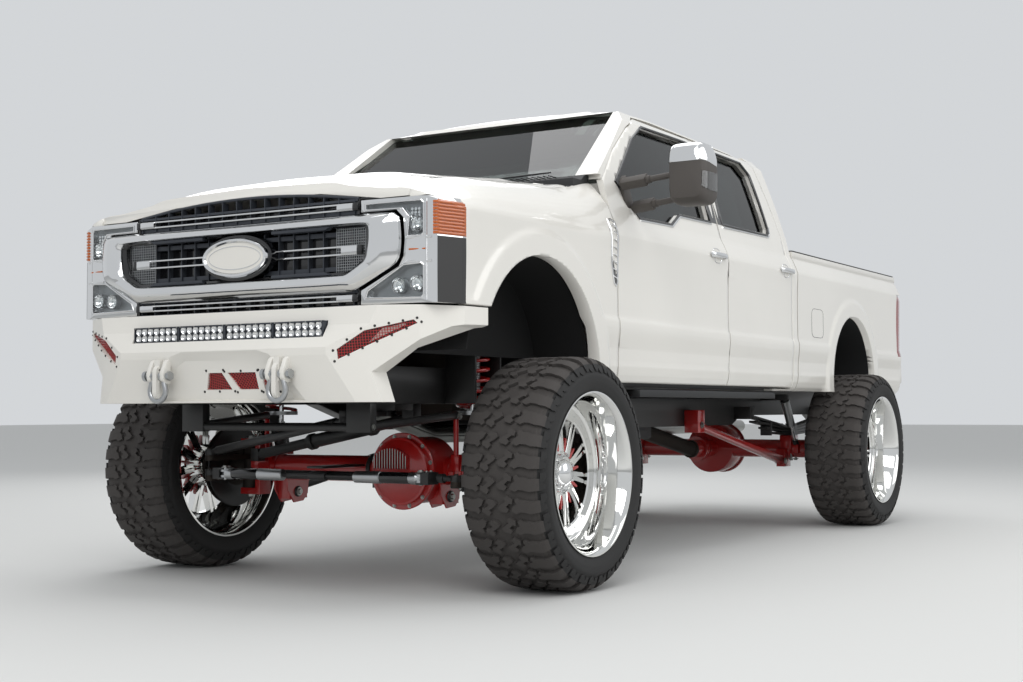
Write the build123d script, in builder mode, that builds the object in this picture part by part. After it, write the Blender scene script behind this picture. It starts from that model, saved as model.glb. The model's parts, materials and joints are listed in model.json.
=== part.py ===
"""A lifted crew-cab pickup truck with a short load bed, in millimetres.

The truck faces -Y, +X is its left side and +Z is up. The floor is at Z = 0, under the tyres, and the origin
is on it, in the middle of the truck's length and width. Stations along the truck are given as distances
behind the front axle.
"""
from build123d import *
import os
from math import radians, tan

os.makedirs("parts", exist_ok=True)

# Overall sizes
WHEELBASE = 4059
FRONT_OVERHANG = 1035
REAR_OVERHANG = 1321
BODY_HALF_WIDTH = 1016
TYRE_RADIUS = 500
WHEEL_X = 1026

FRONT_AXLE_Y = -(WHEELBASE + REAR_OVERHANG - FRONT_OVERHANG) / 2
AXLE_Z = TYRE_RADIUS
SIDES = (1, -1)

# Clearances
DOOR_GAP = 9
PANEL_GAP = 6
RUNNING_CLEARANCE = 0.05
SEAT_CLEARANCE = 0.3

# Body heights
SILL_Z = 880
BELT_Z = 1705
COWL_Z = 1862
ROOF_SPLIT_Z = 2309
ROOF_Z = 2362

# Cab stations, behind the front axle
CAB_FRONT = 560
CAB_REAR = 3045
CAB_WALL = 80
FLOOR_THICKNESS = 50
SILL_INNER = 860
SILL_OUTER = 915
SILL_TOP_Z = 1000

# Half of the cab's section: tuck in from the body's half width, height
CAB_SECTION = [
    (44, SILL_Z), (14, 985), (2, 1150), (16, 1200), (10, 1600), (54, BELT_Z), (216, 2245), (294, 2322),
    (616, 2352), (BODY_HALF_WIDTH, ROOF_Z),
]
# The cab's side outline: station, height
CAB_PROFILE = [
    (CAB_FRONT, SILL_Z), (CAB_FRONT, COWL_Z), (1235, 2350), (1500, ROOF_Z), (2700, 2352), (2980, 2300),
    (CAB_REAR, 1800), (CAB_REAR, SILL_Z),
]

# Doors
DOOR_BOTTOM_Z = 900
DOOR_TOP_Z = ROOF_SPLIT_Z - DOOR_GAP
FRONT_DOOR_FRONT = 645
FRONT_DOOR_REAR = 1966
REAR_DOOR_FRONT = FRONT_DOOR_REAR + DOOR_GAP
REAR_DOOR_REAR = 2960
DOOR_INNER_X = 700
DOOR_EDGE_DEPTH = 25
DOOR_EDGE_SET_IN = 24
DOOR_RIM_TOP_X = 762
GLASS_DEPTH = 30
GLASS_THICKNESS = 5
FRONT_DOOR = [
    (FRONT_DOOR_FRONT, DOOR_BOTTOM_Z), (FRONT_DOOR_FRONT, 1868), (856, 2045), (1109, 2201),
    (1319, DOOR_TOP_Z),
    (FRONT_DOOR_REAR, DOOR_TOP_Z), (FRONT_DOOR_REAR, DOOR_BOTTOM_Z),
]
REAR_DOOR = [
    (REAR_DOOR_FRONT, DOOR_BOTTOM_Z), (REAR_DOOR_FRONT, DOOR_TOP_Z), (2830, DOOR_TOP_Z),
    (REAR_DOOR_REAR, 1790), (REAR_DOOR_REAR, DOOR_BOTTOM_Z),
]
FRONT_WINDOW = [
    (775, 1875), (1113, 2139), (1300, 2240), (1880, 2248), (1880, 1795), (1470, 1788), (1340, 1722),
    (960, 1712),
]
REAR_WINDOW = [
    (2040, 1800), (2040, 2248), (2640, 2244), (2735, 2180), (2765, 1850), (2735, 1808),
]

# Hinges
HINGE_SET_IN = 26
HINGE_BACK = 60
HINGE_HEIGHTS = (1110, 1540)
HINGE_HEIGHT = 70
HINGE_ARM = 16
HINGE_POCKET = 5
KNUCKLE_RADIUS = 11
PIN_RADIUS = 6
PIN_GRIP = 15
POST_CLEARANCE = 32
DOOR_HEEL = 35
POST_DEPTH = 50
B_POST_FRONT = 1935
B_POST_REAR = 2000
HINGE_PILLAR_INNER = 850
HINGE_PILLAR_OUTER = 930
HINGE_PILLAR_TOP_Z = 1630
CANT_RAIL_Z = 2255

# Front of the body
NOSE = -850
FENDER_WALL = 50
HOOD_THICKNESS = 35
HOOD_EDGE_X = 850
HOOD_FRONT = -835
HOOD_REAR = 420
HOOD_HINGE_BACK = 20
HOOD_HINGE_X = 700
FENDER_REAR = FRONT_DOOR_FRONT - DOOR_GAP
# The nose's sections: station, then the heights of the fender's side, its shoulder, the hood's edge, the
# hood's dome and the centre
NOSE_SECTIONS = [
    (NOSE, 1540, 1590, 1632, 1684, 1696),
    (-520, 1590, 1660, 1731, 1790, 1800),
    (0, 1600, 1690, 1770, 1840, 1850),
    (HOOD_REAR, 1600, 1715, 1812, 1885, 1895),
    (CAB_FRONT + CAB_WALL, 1600, 1735, 1880, 1915, 1925),
]
NOSE_TUCKS = (10, 54, BODY_HALF_WIDTH - HOOD_EDGE_X, 566, BODY_HALF_WIDTH)
NOSE_PLAN = [(0, NOSE), (620, NOSE), (900, -840), (965, -820), (1000, -700), (BODY_HALF_WIDTH, -560)]
LAMP_INNER_X = 618
LAMP_BOTTOM_Z = 1190
LAMP_TOP_Z = 1608
LAMP_REAR = -675
FRONT_ARCH_Y = -70
FRONT_ARCH_Z = 929
FRONT_ARCH_RADIUS = 506

FENDER_CORNER = [(430, 965), (430, SILL_Z - 20), (590, SILL_Z - 20)]
FLANGE_X = 830
FLANGE_Z = (1540, 1552)
FLANGE_SPAN = (-640, 540)
LAMP_BACK_X = 900
LAMP_DEPTH = 70
APRON_X = 645
APRON_WALL = 12
APRON_BOTTOM_Z = 1010
RADIATOR_FRONT = -780
RADIATOR_BOTTOM_Z = 990
LINER_X = 945
LINER_CLEARANCE = 12
LINER_WALL = 6
LINER_BOTTOM_Z = 1015
HOOD_AXIS_STATION = HOOD_REAR - HOOD_HINGE_BACK
HOOD_AXIS_Z = 1825
HOOD_PIN_RADIUS = 5
COWL_PANEL_Z = (1790, 1818)
COWL_STEP = 62

# Grille
GRILLE_HALF = 612
GRILLE_SPAN = (-850, -815)
GRILLE_BOTTOM_Z = 1180
GRILLE_TOP_Z = 1618
GRILLE_RIBS = (1205, 1230, 1570, 1596)
RING_SPAN = (-905, -850)
RING_OUTER = [(580, 1241), (620, 1256), (792, 1342), (812, 1376), (818, 1443), (812, 1524), (784, 1552)]
RING_INNER = [(560, 1313), (590, 1322), (658, 1362), (668, 1380), (678, 1443), (678, 1490), (660, 1507)]
RING_BEVEL = 0.6
RING_BEVEL_DEPTH = 30
LAMP_RING_GAP = 8
GRILLE_WING = (690, 1296, 1520)
RING_BARS = (1375, 1450)
RING_BAR_X = 560
BAR_HALF = 14
BADGE_Z = 1409
BADGE_HALF = (178, 84)

# Front bumper
BUMPER_BOTTOM_Z = 804
BUMPER_TIP_Z = 1182
BUMPER_PLAN = [(0, -1000), (560, -1000), (720, -945), (900, -845), (1000, -680), (1014, -530), (0, -530)]
BUMPER_FRONT = [(770, BUMPER_BOTTOM_Z), (735, 921), (970, 1100), (1014, 1112), (1014, BUMPER_TIP_Z)]
BUMPER_SIDE = [(-960, BUMPER_BOTTOM_Z), (-1000, 990), (-1000, 1020), (-940, 1110), (-925, BUMPER_TIP_Z),
               (-530, BUMPER_TIP_Z), (-530, BUMPER_BOTTOM_Z)]
BUMPER_HOLLOW = [(0, -900), (600, -880), (860, -800), (990, -520), (0, -520)]
BUMPER_BRACKET_REAR = -860
BUMPER_BRACKET_Z = 1000
LIGHT_BAR_X = 517
LIGHT_BAR_Z = (1062, 1128)
LIGHT_BAR_FRONT = -966
LIGHT_BAR_REAR = -905
SHACKLE_X = 325
SHACKLE_STATION = -1000
SHACKLE_LUG = 30
SHACKLE_LUG_Z = (890, 985)
SHACKLE_Z = 892
SHACKLE_LENGTH = 150
SHACKLE_WIDTH = 70
SHACKLE_BAR = 11

# Load bed
BED_GAP = 16
BED_FRONT = CAB_REAR + BED_GAP
BED_REAR = WHEELBASE + 1141
BED_INNER_X = 850
BED_RAIL_Z = 1740
BED_FLOOR_Z = 1212
BED_FLOOR_THICKNESS = 42
BED_SKIRT = 45
BED_FRONT_WALL = 60
WHEELHOUSE_X = 641
WHEELHOUSE_WALL = 20
REAR_ARCH_Y = WHEELBASE + 55
REAR_ARCH_Z = 959
REAR_ARCH_RADIUS = 431
BED_SECTION = [
    (44, SILL_Z), (14, 985), (2, 1150), (16, 1200), (10, 1560), (46, 1700), (52, BED_RAIL_Z),
]
TAILGATE_THICKNESS = 80
TAILGATE_BOTTOM_Z = 1165
TAILGATE_HALF_WIDTH = 770
TAILGATE_AXIS_Z = 1195
TAILGATE_PIN_RADIUS = 15
TAILGATE_PIN_GRIP = 25

BED_FLOOR_REAR = BED_REAR - 100
TAIL_LAMP_X = 880
TAIL_LAMP_FRONT = BED_REAR - 75
TAIL_LAMP_Z = (1150, 1607)
REAR_BUMPER_FRONT = BED_REAR + 15
REAR_BUMPER_Z = (955, 1100)
BUMPER_END = WHEELBASE + REAR_OVERHANG
REAR_BUMPER_PLAN = [
    (0, REAR_BUMPER_FRONT), (985, REAR_BUMPER_FRONT), (985, BUMPER_END - 80), (900, BUMPER_END - 20),
    (0, BUMPER_END),
]

# Chassis
RAIL_OUTER_X = 480
RAIL_INNER_X = 400
RAIL_BOTTOM_Z = 670
RAIL_TOP_Z = 860
RAIL_WEB = 8
RAIL_RISE = 60
RAIL_FRONT_BOTTOM_Z = 800
RAIL_FRONT_TOP_Z = 960
RAIL_KICK = (150, 600)
# Station, bottom and top of each crossmember
CROSSMEMBERS = [
    (-780, 830, 900), (1350, 690, 720), (2300, 812, 850), (3000, 780, 850), (WHEELBASE - 419, 840, 910),
    (WHEELBASE + 421, 840, 910), (WHEELBASE + 1001, 780, 850),
]
RAIL_FRONT = -860
RAIL_REAR = WHEELBASE + 1071
RAIL_RISE_SPAN = (WHEELBASE - 809, WHEELBASE + 841)
BODY_MOUNTS = (650, 1500, 2300, 2980)
# Station and bottom of each sill under the bed
BED_SILLS = [
    (BED_FRONT + 89, RAIL_TOP_Z), (WHEELBASE - 499, RAIL_TOP_Z + RAIL_RISE),
    (WHEELBASE + 501, RAIL_TOP_Z + RAIL_RISE), (WHEELBASE + 941, RAIL_TOP_Z),
]
BODY_MOUNT_RADIUS = 32
RECEIVER_HALF = 35
RECEIVER_WALL = 9.5
RECEIVER_Z = (780, 850)
RECEIVER_REAR = WHEELBASE + 1290
RECEIVER_PIN = WHEELBASE + 1220
RECEIVER_PIN_RADIUS = 8

# Wheels
RIM_BEAD_RADIUS = 330
RIM_FLANGE = 20
RIM_WIDTH = 375
RIM_WALL = 12
RIM_LIP = 10
RIM_SEAT = 60
HUB_FACE_X = 930
HUB_RADIUS = 100
TYRE_WIDTH = 400
TREAD_WIDTH = 340
DISC_RADIUS = 190
DISC_X = (800, 836)
HUB_INNER_X = 791
SPINDLE_RADIUS = 30
SPINDLE_END_X = 900
SPOKE_PAIRS = 11

# Steering
KINGPIN_X = 700
KNUCKLE_REACH_Z = 105
YOKE_THICKNESS = 30
KINGPIN_PIN_RADIUS = 15
STEER_ARM = 290
TIE_ROD_Z = 480
TIE_ROD_RADIUS = 20
ROD_EYE_RADIUS = 24
ROD_EYE_PIN = 10
ROD_EYE_HEIGHT = 28
DRAG_KNUCKLE_Z = 575
PITMAN_X = 305
PITMAN_Z = 730
DAMPER_SET_OUT = 55
DAMPER_RADIUS = 27
DAMPER_ROD_RADIUS = 9
DAMPER_INNER_X = 203
DAMPER_OUTER_X = 570
DAMPER_EYE_X = 45
DAMPER_ROD_END_X = 372

SPOKE_DEPTH = 44
# Radius, distance from the pair's middle line and half width, at a spoke's root and tip
SPOKE_ENDS = [(92, 8, 11), (244, 17, 8)]
FACE_RING_RADIUS = 238
FACE_RING_DEPTH = 32
DISC_HAT_RADIUS = 95
HUB_CAP_DEPTH = 46
HUB_CAP_RADIUS = 60
HUB_HOLLOW_RADIUS = 50
HUB_WALL = 12
TYRE_BULGE_RADIUS = 410
TYRE_SHOULDER_RADIUS = 462
LUG_COUNT = 34
LUG_DEPTH = 15
LUG_SHARE = 0.55
LUG_GROOVE = 16
LUG_FOOT_RADIUS = 428
KNUCKLE_BODY_RADIUS = 42
ARM_THICKNESS = 26
CALIPER_SPAN = (110, 215)
PITMAN_STATION = -260
SECTOR_RADIUS = 18
SECTOR_GRIP = 40
# The part of the drag link's length that its sleeve covers
DRAG_SLEEVE = (0.06, 0.94)
DAMPER_STATION = -STEER_ARM - DAMPER_SET_OUT
DAMPER_BORE_X = 540
DAMPER_EYE_RADIUS = 20
DAMPER_BRACKET_Z = (513, 523)
DAMPER_BRACKET_HALF = 45

# Suspension
YOKE_INNER_X = 640
COILOVER_X = 560
COILOVER_STATION = 60
COILOVER_BOTTOM_Z = 570
COILOVER_TOP_Z = 1140
SPRING_BOTTOM_Z = 760
SPRING_TOP_Z = 1120
SPRING_RADIUS = 80
SPRING_WIRE = 16
SHOCK_RADIUS = 32
TOWER_HALF = 110
RADIUS_ARM_X = 440
RADIUS_ARM_RADIUS = 30
RADIUS_ARM_FRONT = 70
RADIUS_ARM_FRONT_Z = 420
RADIUS_ARM_REAR = 1150
RADIUS_ARM_REAR_Z = 600
TRAC_AXLE = (-552, -120, 560)
TRAC_FRAME = (370, -150, 737)
TRAC_RADIUS = 24
SWAY_X = 505
SWAY_STATION = -640
SWAY_Z = 702
SWAY_RADIUS = 18
SWAY_ARM_X = 548
SWAY_ARM_END = -60
SWAY_ARM_Z = 750
SWAY_LINK_RADIUS = 12
SWAY_FOOT = 20
SWAY_FOOT_HEIGHT = 12
SWAY_LINK_GAP = 1.5
LEAF_X = 560
LEAF_WIDTH = 64
LEAF_SEAT_Z = 590
LEAF_THICKNESS = 14
LEAF_RISE = 90
LEAF_HALF_LENGTHS = (300, 480, 640, 760)
TRACTION_X = 540
TRACTION_RADIUS = 24
TRACTION_REAR = WHEELBASE - 110
TRACTION_REAR_Z = 420
TRACTION_FRONT = WHEELBASE - 1491
TRACTION_FRONT_Z = 676
REAR_SHOCK_X = 640
REAR_SHOCK_AHEAD = 80
REAR_SHOCK_RADIUS = 30
REAR_SHOCK_STUD = 20
# The part of the rear shock's length that its stud takes
SHOCK_START = 0.09
REAR_SHOCK_TOP = WHEELBASE - 299
REAR_SHOCK_TOP_Z = 850
REAR_TUBE_X = 790

# Powertrain
ENGINE_HALF = 270
ENGINE_SPAN = (-420, 480)
ENGINE_Z = (830, 1480)
GEARBOX_HALF = 170
GEARBOX_END = 1150
GEARBOX_Z = (720, 865)
TRANSFER_X = 200
TRANSFER_END = 1420
PINION_END = 260
PINION_RADIUS = 60
REAR_PINION = 380
SHAFT_RADIUS = 50
SHAFT_Z = 745
SHAFT_FLANGE = 16
FRONT_SHAFT_RADIUS = 38
FRONT_SHAFT_Z = 765
CENTRE_BEARING = 2300
BEARING_TOP_Z = 812
ENGINE_MOUNT_SPAN = (60, 140)
ENGINE_MOUNT_Z = (835, 895)
FRONT_COVER = -190
TANK_INNER_X = 90
TANK_SPAN = (1600, 2240)
TANK_Z = (600, 830)
EXHAUST_X = -270
EXHAUST_Z = 640
EXHAUST_TURN = 900
EXHAUST_DROP = 60
EXHAUST_RADIUS = 45
EXHAUST_END = WHEELBASE + 1141
MUFFLER_SPAN = (1700, 2200)
STEP_X = (940, 990)
STEP_SPAN = (890, 2690)
STEP_Z = (832, 866)
STEP_BRACKETS = (1000, 1790, 2580)

# Axles
AXLE_TUBE_RADIUS = 61
FRONT_DIFF_X = 330
FRONT_DIFF_RADIUS = 150
REAR_DIFF_RADIUS = 170


def aft(distance):
    """Y of a station this far behind the front axle."""
    return FRONT_AXLE_Y + distance


def side_prism(outline, x_start, x_end, mode=Mode.ADD, grow=0):
    """A prism of a side outline of stations and heights, between two planes of X."""
    with BuildSketch(Plane.YZ.offset(x_start)) as profile:
        with BuildLine():
            Polyline([(aft(station), z) for station, z in outline], close=True)
        make_face()
        if grow:
            offset(amount=grow, kind=Kind.INTERSECTION)
    extrude(profile.sketch, amount=x_end - x_start, mode=mode)


def front_plane(station):
    """The plane across the truck at a station, seen from the front, with X to its right."""
    return Plane(origin=(0, aft(station), 0), x_dir=(1, 0, 0), z_dir=(0, -1, 0))


def front_prism(outline, start, end, mode=Mode.ADD, grow=0):
    """A prism of a front outline of X and heights, between two stations."""
    with BuildSketch(front_plane(start)) as profile:
        with BuildLine():
            Polyline(outline, close=True)
        make_face()
        if grow:
            offset(amount=grow, kind=Kind.INTERSECTION)
    extrude(profile.sketch, amount=start - end, mode=mode)


def plan_prism(outline, z_start, z_end, mode=Mode.ADD):
    """A prism of a plan outline of X and stations, between two heights."""
    with BuildSketch(Plane.XY.offset(z_start)) as profile:
        with BuildLine():
            Polyline([(x, aft(station)) for x, station in outline], close=True)
        make_face()
    extrude(profile.sketch, amount=z_end - z_start, mode=mode)


def block(x, stations, z, mode=Mode.ADD):
    """A box between two values of X, two stations and two heights."""
    low = (x[0], aft(stations[0]), z[0])
    high = (x[1], aft(stations[1]), z[1])
    centre = tuple((a + b) / 2 for a, b in zip(low, high))
    with Locations(centre):
        Box(x[1] - x[0], stations[1] - stations[0], z[1] - z[0], mode=mode)


def rod(start, end, radius, mode=Mode.ADD):
    """A round bar between two points, each given as X, station and height."""
    first = Vector(start[0], aft(start[1]), start[2])
    last = Vector(end[0], aft(end[1]), end[2])
    with BuildSketch(Plane(origin=first, z_dir=last - first)) as section:
        Circle(radius)
    extrude(section.sketch, amount=(last - first).length, mode=mode)


def mirrored(points):
    """A left half outline, bottom to top, closed by its mirror image."""
    return points + [(-x, z) for x, z in reversed(points) if abs(x) > 1e-6]


def save(builder, label):
    """Name a finished piece and write its file."""
    builder.part.label = label
    export_step(builder.part, f"parts/{label}.step")


# Cab volumes, one inside another, from which its panels are cut

def cab_volume(inset):
    """The cab's outer shape, drawn in by a depth."""
    section = mirrored([(BODY_HALF_WIDTH - tuck, z) for tuck, z in CAB_SECTION])
    with BuildPart() as volume:
        front_prism(section, CAB_FRONT, CAB_REAR, grow=-inset)
        side_prism(CAB_PROFILE, -BODY_HALF_WIDTH, BODY_HALF_WIDTH, mode=Mode.INTERSECT, grow=-inset)
    return volume.part


cab_outer = cab_volume(0)
cab_skin = cab_volume(DOOR_EDGE_DEPTH)
cab_inner = cab_volume(CAB_WALL)
post_outer = cab_volume(CAB_WALL + POST_CLEARANCE)
post_inner = cab_volume(CAB_WALL + POST_CLEARANCE + POST_DEPTH)
glass_outer = cab_volume(GLASS_DEPTH)
glass_inner = cab_volume(GLASS_DEPTH + GLASS_THICKNESS)

WIDE = BODY_HALF_WIDTH + 100
BEFORE = NOSE - 300
BEHIND = WHEELBASE + REAR_OVERHANG
FLOOR_TOP_Z = SILL_Z + FLOOR_THICKNESS
FIREWALL_TOP_Z = COWL_Z + 30
WINDSCREEN = mirrored([(795, FIREWALL_TOP_Z), (705, ROOF_SPLIT_Z)])
WINDSCREEN_REAR = 1250
BACK_WINDOW = mirrored([(700, 1840), (610, 2240)])
FIREWALL_REAR = 900
PILLAR_INNER_X = 705
A_PILLAR_REAR = 1500
C_PILLAR_FRONT = 2700
POST_INNER_X = 600


def cut_door_openings():
    """Cut both doors' openings, with their gap, out of both sides of the cab."""
    for outline in (FRONT_DOOR, REAR_DOOR):
        side_prism(outline, DOOR_INNER_X, WIDE, mode=Mode.SUBTRACT, grow=DOOR_GAP)
        side_prism(outline, -WIDE, -DOOR_INNER_X, mode=Mode.SUBTRACT, grow=DOOR_GAP)


def cut_front_corners():
    """Leave the space that the front fenders take, ahead of the doors."""
    for side in SIDES:
        x = sorted((side * HINGE_PILLAR_INNER, side * WIDE))
        block(x, (BEFORE, FRONT_DOOR_FRONT - DOOR_GAP), (0, FIREWALL_TOP_Z), mode=Mode.SUBTRACT)


with BuildPart() as cab_shell:
    add(cab_outer)
    add(cab_inner, mode=Mode.SUBTRACT)
    front_prism(WINDSCREEN, BEFORE, C_PILLAR_FRONT, mode=Mode.SUBTRACT)
    front_prism(BACK_WINDOW, C_PILLAR_FRONT, BEHIND, mode=Mode.SUBTRACT)
    cut_door_openings()
    cut_front_corners()
    block((-SILL_OUTER, SILL_OUTER), (CAB_FRONT + CAB_WALL, CAB_REAR - CAB_WALL),
          (SILL_Z, SILL_Z + CAB_WALL),
          mode=Mode.SUBTRACT)

with BuildPart() as cab_floor:
    block((-SILL_OUTER, SILL_OUTER), (CAB_FRONT, CAB_REAR), (SILL_Z, FLOOR_TOP_Z))
    for side in SIDES:
        x = sorted((side * SILL_INNER, side * SILL_OUTER))
        block(x, (CAB_FRONT + CAB_WALL, CAB_REAR - CAB_WALL), (SILL_Z, SILL_TOP_Z))
    add(cab_outer, mode=Mode.INTERSECT)
save(cab_floor, "cab_floor")

with BuildPart() as firewall:
    add(cab_shell.part)
    block((-HINGE_PILLAR_INNER, HINGE_PILLAR_INNER), (CAB_FRONT, FIREWALL_REAR),
          (FLOOR_TOP_Z, FIREWALL_TOP_Z),
          mode=Mode.INTERSECT)
    cowl_x = (-HINGE_PILLAR_INNER, HINGE_PILLAR_INNER)
    block(cowl_x, (HOOD_REAR + DOOR_GAP, CAB_FRONT), COWL_PANEL_Z)
    block(cowl_x, (HOOD_REAR + COWL_STEP, CAB_FRONT), (COWL_PANEL_Z[0], COWL_Z))
save(firewall, "firewall")

with BuildPart() as posts:
    add(post_outer)
    add(post_inner, mode=Mode.SUBTRACT)
    block((-WIDE, WIDE), (B_POST_FRONT, B_POST_REAR), (SILL_TOP_Z, CANT_RAIL_Z), mode=Mode.INTERSECT)
    block((-POST_INNER_X, POST_INNER_X), (B_POST_FRONT, B_POST_REAR), (0, ROOF_Z), mode=Mode.SUBTRACT)

with BuildPart() as pillars:
    add(cab_shell.part)
    block((-WIDE, WIDE), (CAB_FRONT, A_PILLAR_REAR), (FLOOR_TOP_Z, ROOF_SPLIT_Z), mode=Mode.INTERSECT)
    block((-HINGE_PILLAR_INNER, HINGE_PILLAR_INNER), (CAB_FRONT, C_PILLAR_FRONT),
          (FLOOR_TOP_Z, FIREWALL_TOP_Z),
          mode=Mode.SUBTRACT)
    block((-PILLAR_INNER_X, PILLAR_INNER_X), (CAB_FRONT, C_PILLAR_FRONT), (FLOOR_TOP_Z, ROOF_SPLIT_Z),
          mode=Mode.SUBTRACT)
    for side in SIDES:
        x = sorted((side * HINGE_PILLAR_INNER, side * HINGE_PILLAR_OUTER))
        block(x, (CAB_FRONT, FRONT_DOOR_FRONT - DOOR_GAP), (FLOOR_TOP_Z, HINGE_PILLAR_TOP_Z))
    add(posts.part)
save(pillars, "pillars")

with BuildPart() as cab_back:
    add(cab_shell.part)
    block((-WIDE, WIDE), (C_PILLAR_FRONT, CAB_REAR), (SILL_Z, ROOF_SPLIT_Z), mode=Mode.INTERSECT)
    block((-SILL_OUTER, SILL_OUTER), (C_PILLAR_FRONT, CAB_REAR), (SILL_Z, FLOOR_TOP_Z), mode=Mode.SUBTRACT)
    block((-PILLAR_INNER_X, PILLAR_INNER_X), (C_PILLAR_FRONT, CAB_REAR - CAB_WALL - 60),
          (CANT_RAIL_Z, ROOF_Z),
          mode=Mode.SUBTRACT)
save(cab_back, "cab_back")

CANT_RAIL_X = (628, 680)
CANT_RAIL_SPAN = (1330, 2850)

with BuildPart() as roof:
    add(cab_shell.part)
    block((-WIDE, WIDE), (CAB_FRONT, CAB_REAR), (ROOF_SPLIT_Z, ROOF_Z), mode=Mode.INTERSECT)
    for side in SIDES:
        block(sorted(side * x for x in CANT_RAIL_X), CANT_RAIL_SPAN, (CANT_RAIL_Z, ROOF_SPLIT_Z))
save(roof, "roof")

with BuildPart() as panes:
    front_prism(WINDSCREEN, BEFORE, WINDSCREEN_REAR)
    front_prism(BACK_WINDOW, C_PILLAR_FRONT, BEHIND)

with BuildPart() as cab_glass:
    add(glass_outer)
    add(glass_inner, mode=Mode.SUBTRACT)
    add(panes.part, mode=Mode.INTERSECT)
save(cab_glass, "cab_glass")

# Doors, hung on hinges near their front edges

HANDLE_Z = 1602
HANDLE_LENGTH = 180
HANDLE_HEIGHT = 32
HANDLE_THICKNESS = 14
HANDLE_STAND = 22
HANDLE_FOOT = 28
DOORS = [
    # name, outline, window, front edge, handle's station
    ("front", FRONT_DOOR, FRONT_WINDOW, FRONT_DOOR_FRONT, 1822),
    ("rear", REAR_DOOR, REAR_WINDOW, REAR_DOOR_FRONT, 2860),
]
HINGE_X = BODY_HALF_WIDTH - HINGE_SET_IN
HANDLE_SKIN_X = BODY_HALF_WIDTH - 12


def hinge_point(front_edge, z):
    """A point on a door's hinge axis."""
    return (HINGE_X, front_edge + HINGE_BACK, z)


def cut_hinge_pockets(front_edge):
    """Cut the pockets for a door's hinges, with holes for their pins above and below."""
    reach = KNUCKLE_RADIUS + 3
    half = HINGE_HEIGHT / 2 + HINGE_POCKET
    for z in HINGE_HEIGHTS:
        x, station, _ = hinge_point(front_edge, z)
        block((DOOR_INNER_X, x + reach), (front_edge - 5, station + reach), (z - half, z + half),
              mode=Mode.SUBTRACT)
        rod((x, station, z - half - PIN_GRIP - 2), (x, station, z + half + PIN_GRIP + 2),
            PIN_RADIUS + RUNNING_CLEARANCE, mode=Mode.SUBTRACT)


def handle(station):
    """A door's pull handle, a bar on two feet."""
    low = HANDLE_Z - HANDLE_HEIGHT / 2
    high = HANDLE_Z + HANDLE_HEIGHT / 2
    start = station - HANDLE_LENGTH / 2
    end = station + HANDLE_LENGTH / 2
    outer = HANDLE_SKIN_X + HANDLE_STAND
    block((outer, outer + HANDLE_THICKNESS), (start, end), (low, high))
    for foot in (start, end - HANDLE_FOOT):
        block((HANDLE_SKIN_X - 6, outer), (foot, foot + HANDLE_FOOT), (low, high))


for name, outline, window, front_edge, handle_station in DOORS:
    with BuildPart() as door_box:
        add(cab_skin)
        add(cab_inner, mode=Mode.SUBTRACT)
        side_prism(outline, DOOR_INNER_X, WIDE, mode=Mode.INTERSECT, grow=-DOOR_EDGE_SET_IN)
    with BuildPart() as door:
        add(cab_outer)
        add(cab_skin, mode=Mode.SUBTRACT)
        side_prism(outline, DOOR_INNER_X, WIDE, mode=Mode.INTERSECT)
        block((0, DOOR_RIM_TOP_X), (CAB_FRONT, CAB_REAR), (CANT_RAIL_Z, ROOF_Z), mode=Mode.SUBTRACT)
        add(door_box.part)
        block((0, SILL_OUTER + DOOR_GAP), (CAB_FRONT, CAB_REAR), (SILL_Z, SILL_TOP_Z + DOOR_GAP),
              mode=Mode.SUBTRACT)
        block((0, HINGE_X - DOOR_HEEL), (front_edge - 5, front_edge + HINGE_BACK + DOOR_HEEL),
              (SILL_Z, SILL_TOP_Z + DOOR_GAP), mode=Mode.SUBTRACT)
        side_prism(window, 0, WIDE, mode=Mode.SUBTRACT)
        handle(handle_station)
        cut_hinge_pockets(front_edge)
    save(door, f"door_{name}_left")
    with BuildPart() as door_right:
        mirror(door.part, about=Plane.YZ)
    save(door_right, f"door_{name}_right")
    with BuildPart() as glass:
        add(glass_outer)
        add(glass_inner, mode=Mode.SUBTRACT)
        side_prism(window, DOOR_INNER_X, WIDE, mode=Mode.INTERSECT)
    save(glass, f"glass_{name}_left")
    with BuildPart() as glass_right:
        mirror(glass.part, about=Plane.YZ)
    save(glass_right, f"glass_{name}_right")

# Each hinge is a gooseneck from the pillar round to the knuckle and its pin

PILLAR_EDGES = (FRONT_DOOR_FRONT - DOOR_GAP, B_POST_REAR)
HINGE_ROOT_X = HINGE_X - 91
with BuildPart() as hinges:
    for (_, _, _, front_edge, _), pillar_edge in zip(DOORS, PILLAR_EDGES):
        for z in HINGE_HEIGHTS:
            x, station, _ = hinge_point(front_edge, z)
            levels = (z - HINGE_HEIGHT / 2, z + HINGE_HEIGHT / 2)
            block((HINGE_ROOT_X - 30, x), (station - HINGE_ARM / 2, station + HINGE_ARM / 2), levels)
            block((HINGE_ROOT_X - 30, HINGE_ROOT_X), (pillar_edge, station), levels)
            rod((x, station, levels[0]), (x, station, levels[1]), KNUCKLE_RADIUS)
            grip = HINGE_POCKET + PIN_GRIP
            rod((x, station, levels[0] - grip), (x, station, levels[1] + grip), PIN_RADIUS)
    mirror(about=Plane.YZ)
    for side in SIDES:
        leaf = sorted((side * (HOOD_HINGE_X - 4), side * (HOOD_HINGE_X + 4)))
        stations = (HOOD_AXIS_STATION - 8, HOOD_AXIS_STATION + 8)
        block(leaf, stations, (COWL_PANEL_Z[0] - 60, HOOD_AXIS_Z))
        block(leaf, (stations[0], CAB_FRONT), (COWL_PANEL_Z[0] - 90, COWL_PANEL_Z[0] - 50))
        pin = [(side * (HOOD_HINGE_X + reach), HOOD_AXIS_STATION, HOOD_AXIS_Z) for reach in (-30, 30)]
        rod(pin[0], pin[1], HOOD_PIN_RADIUS)
save(hinges, "hinges")

# Mirrors on the front doors: a tall head on two arms

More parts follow.
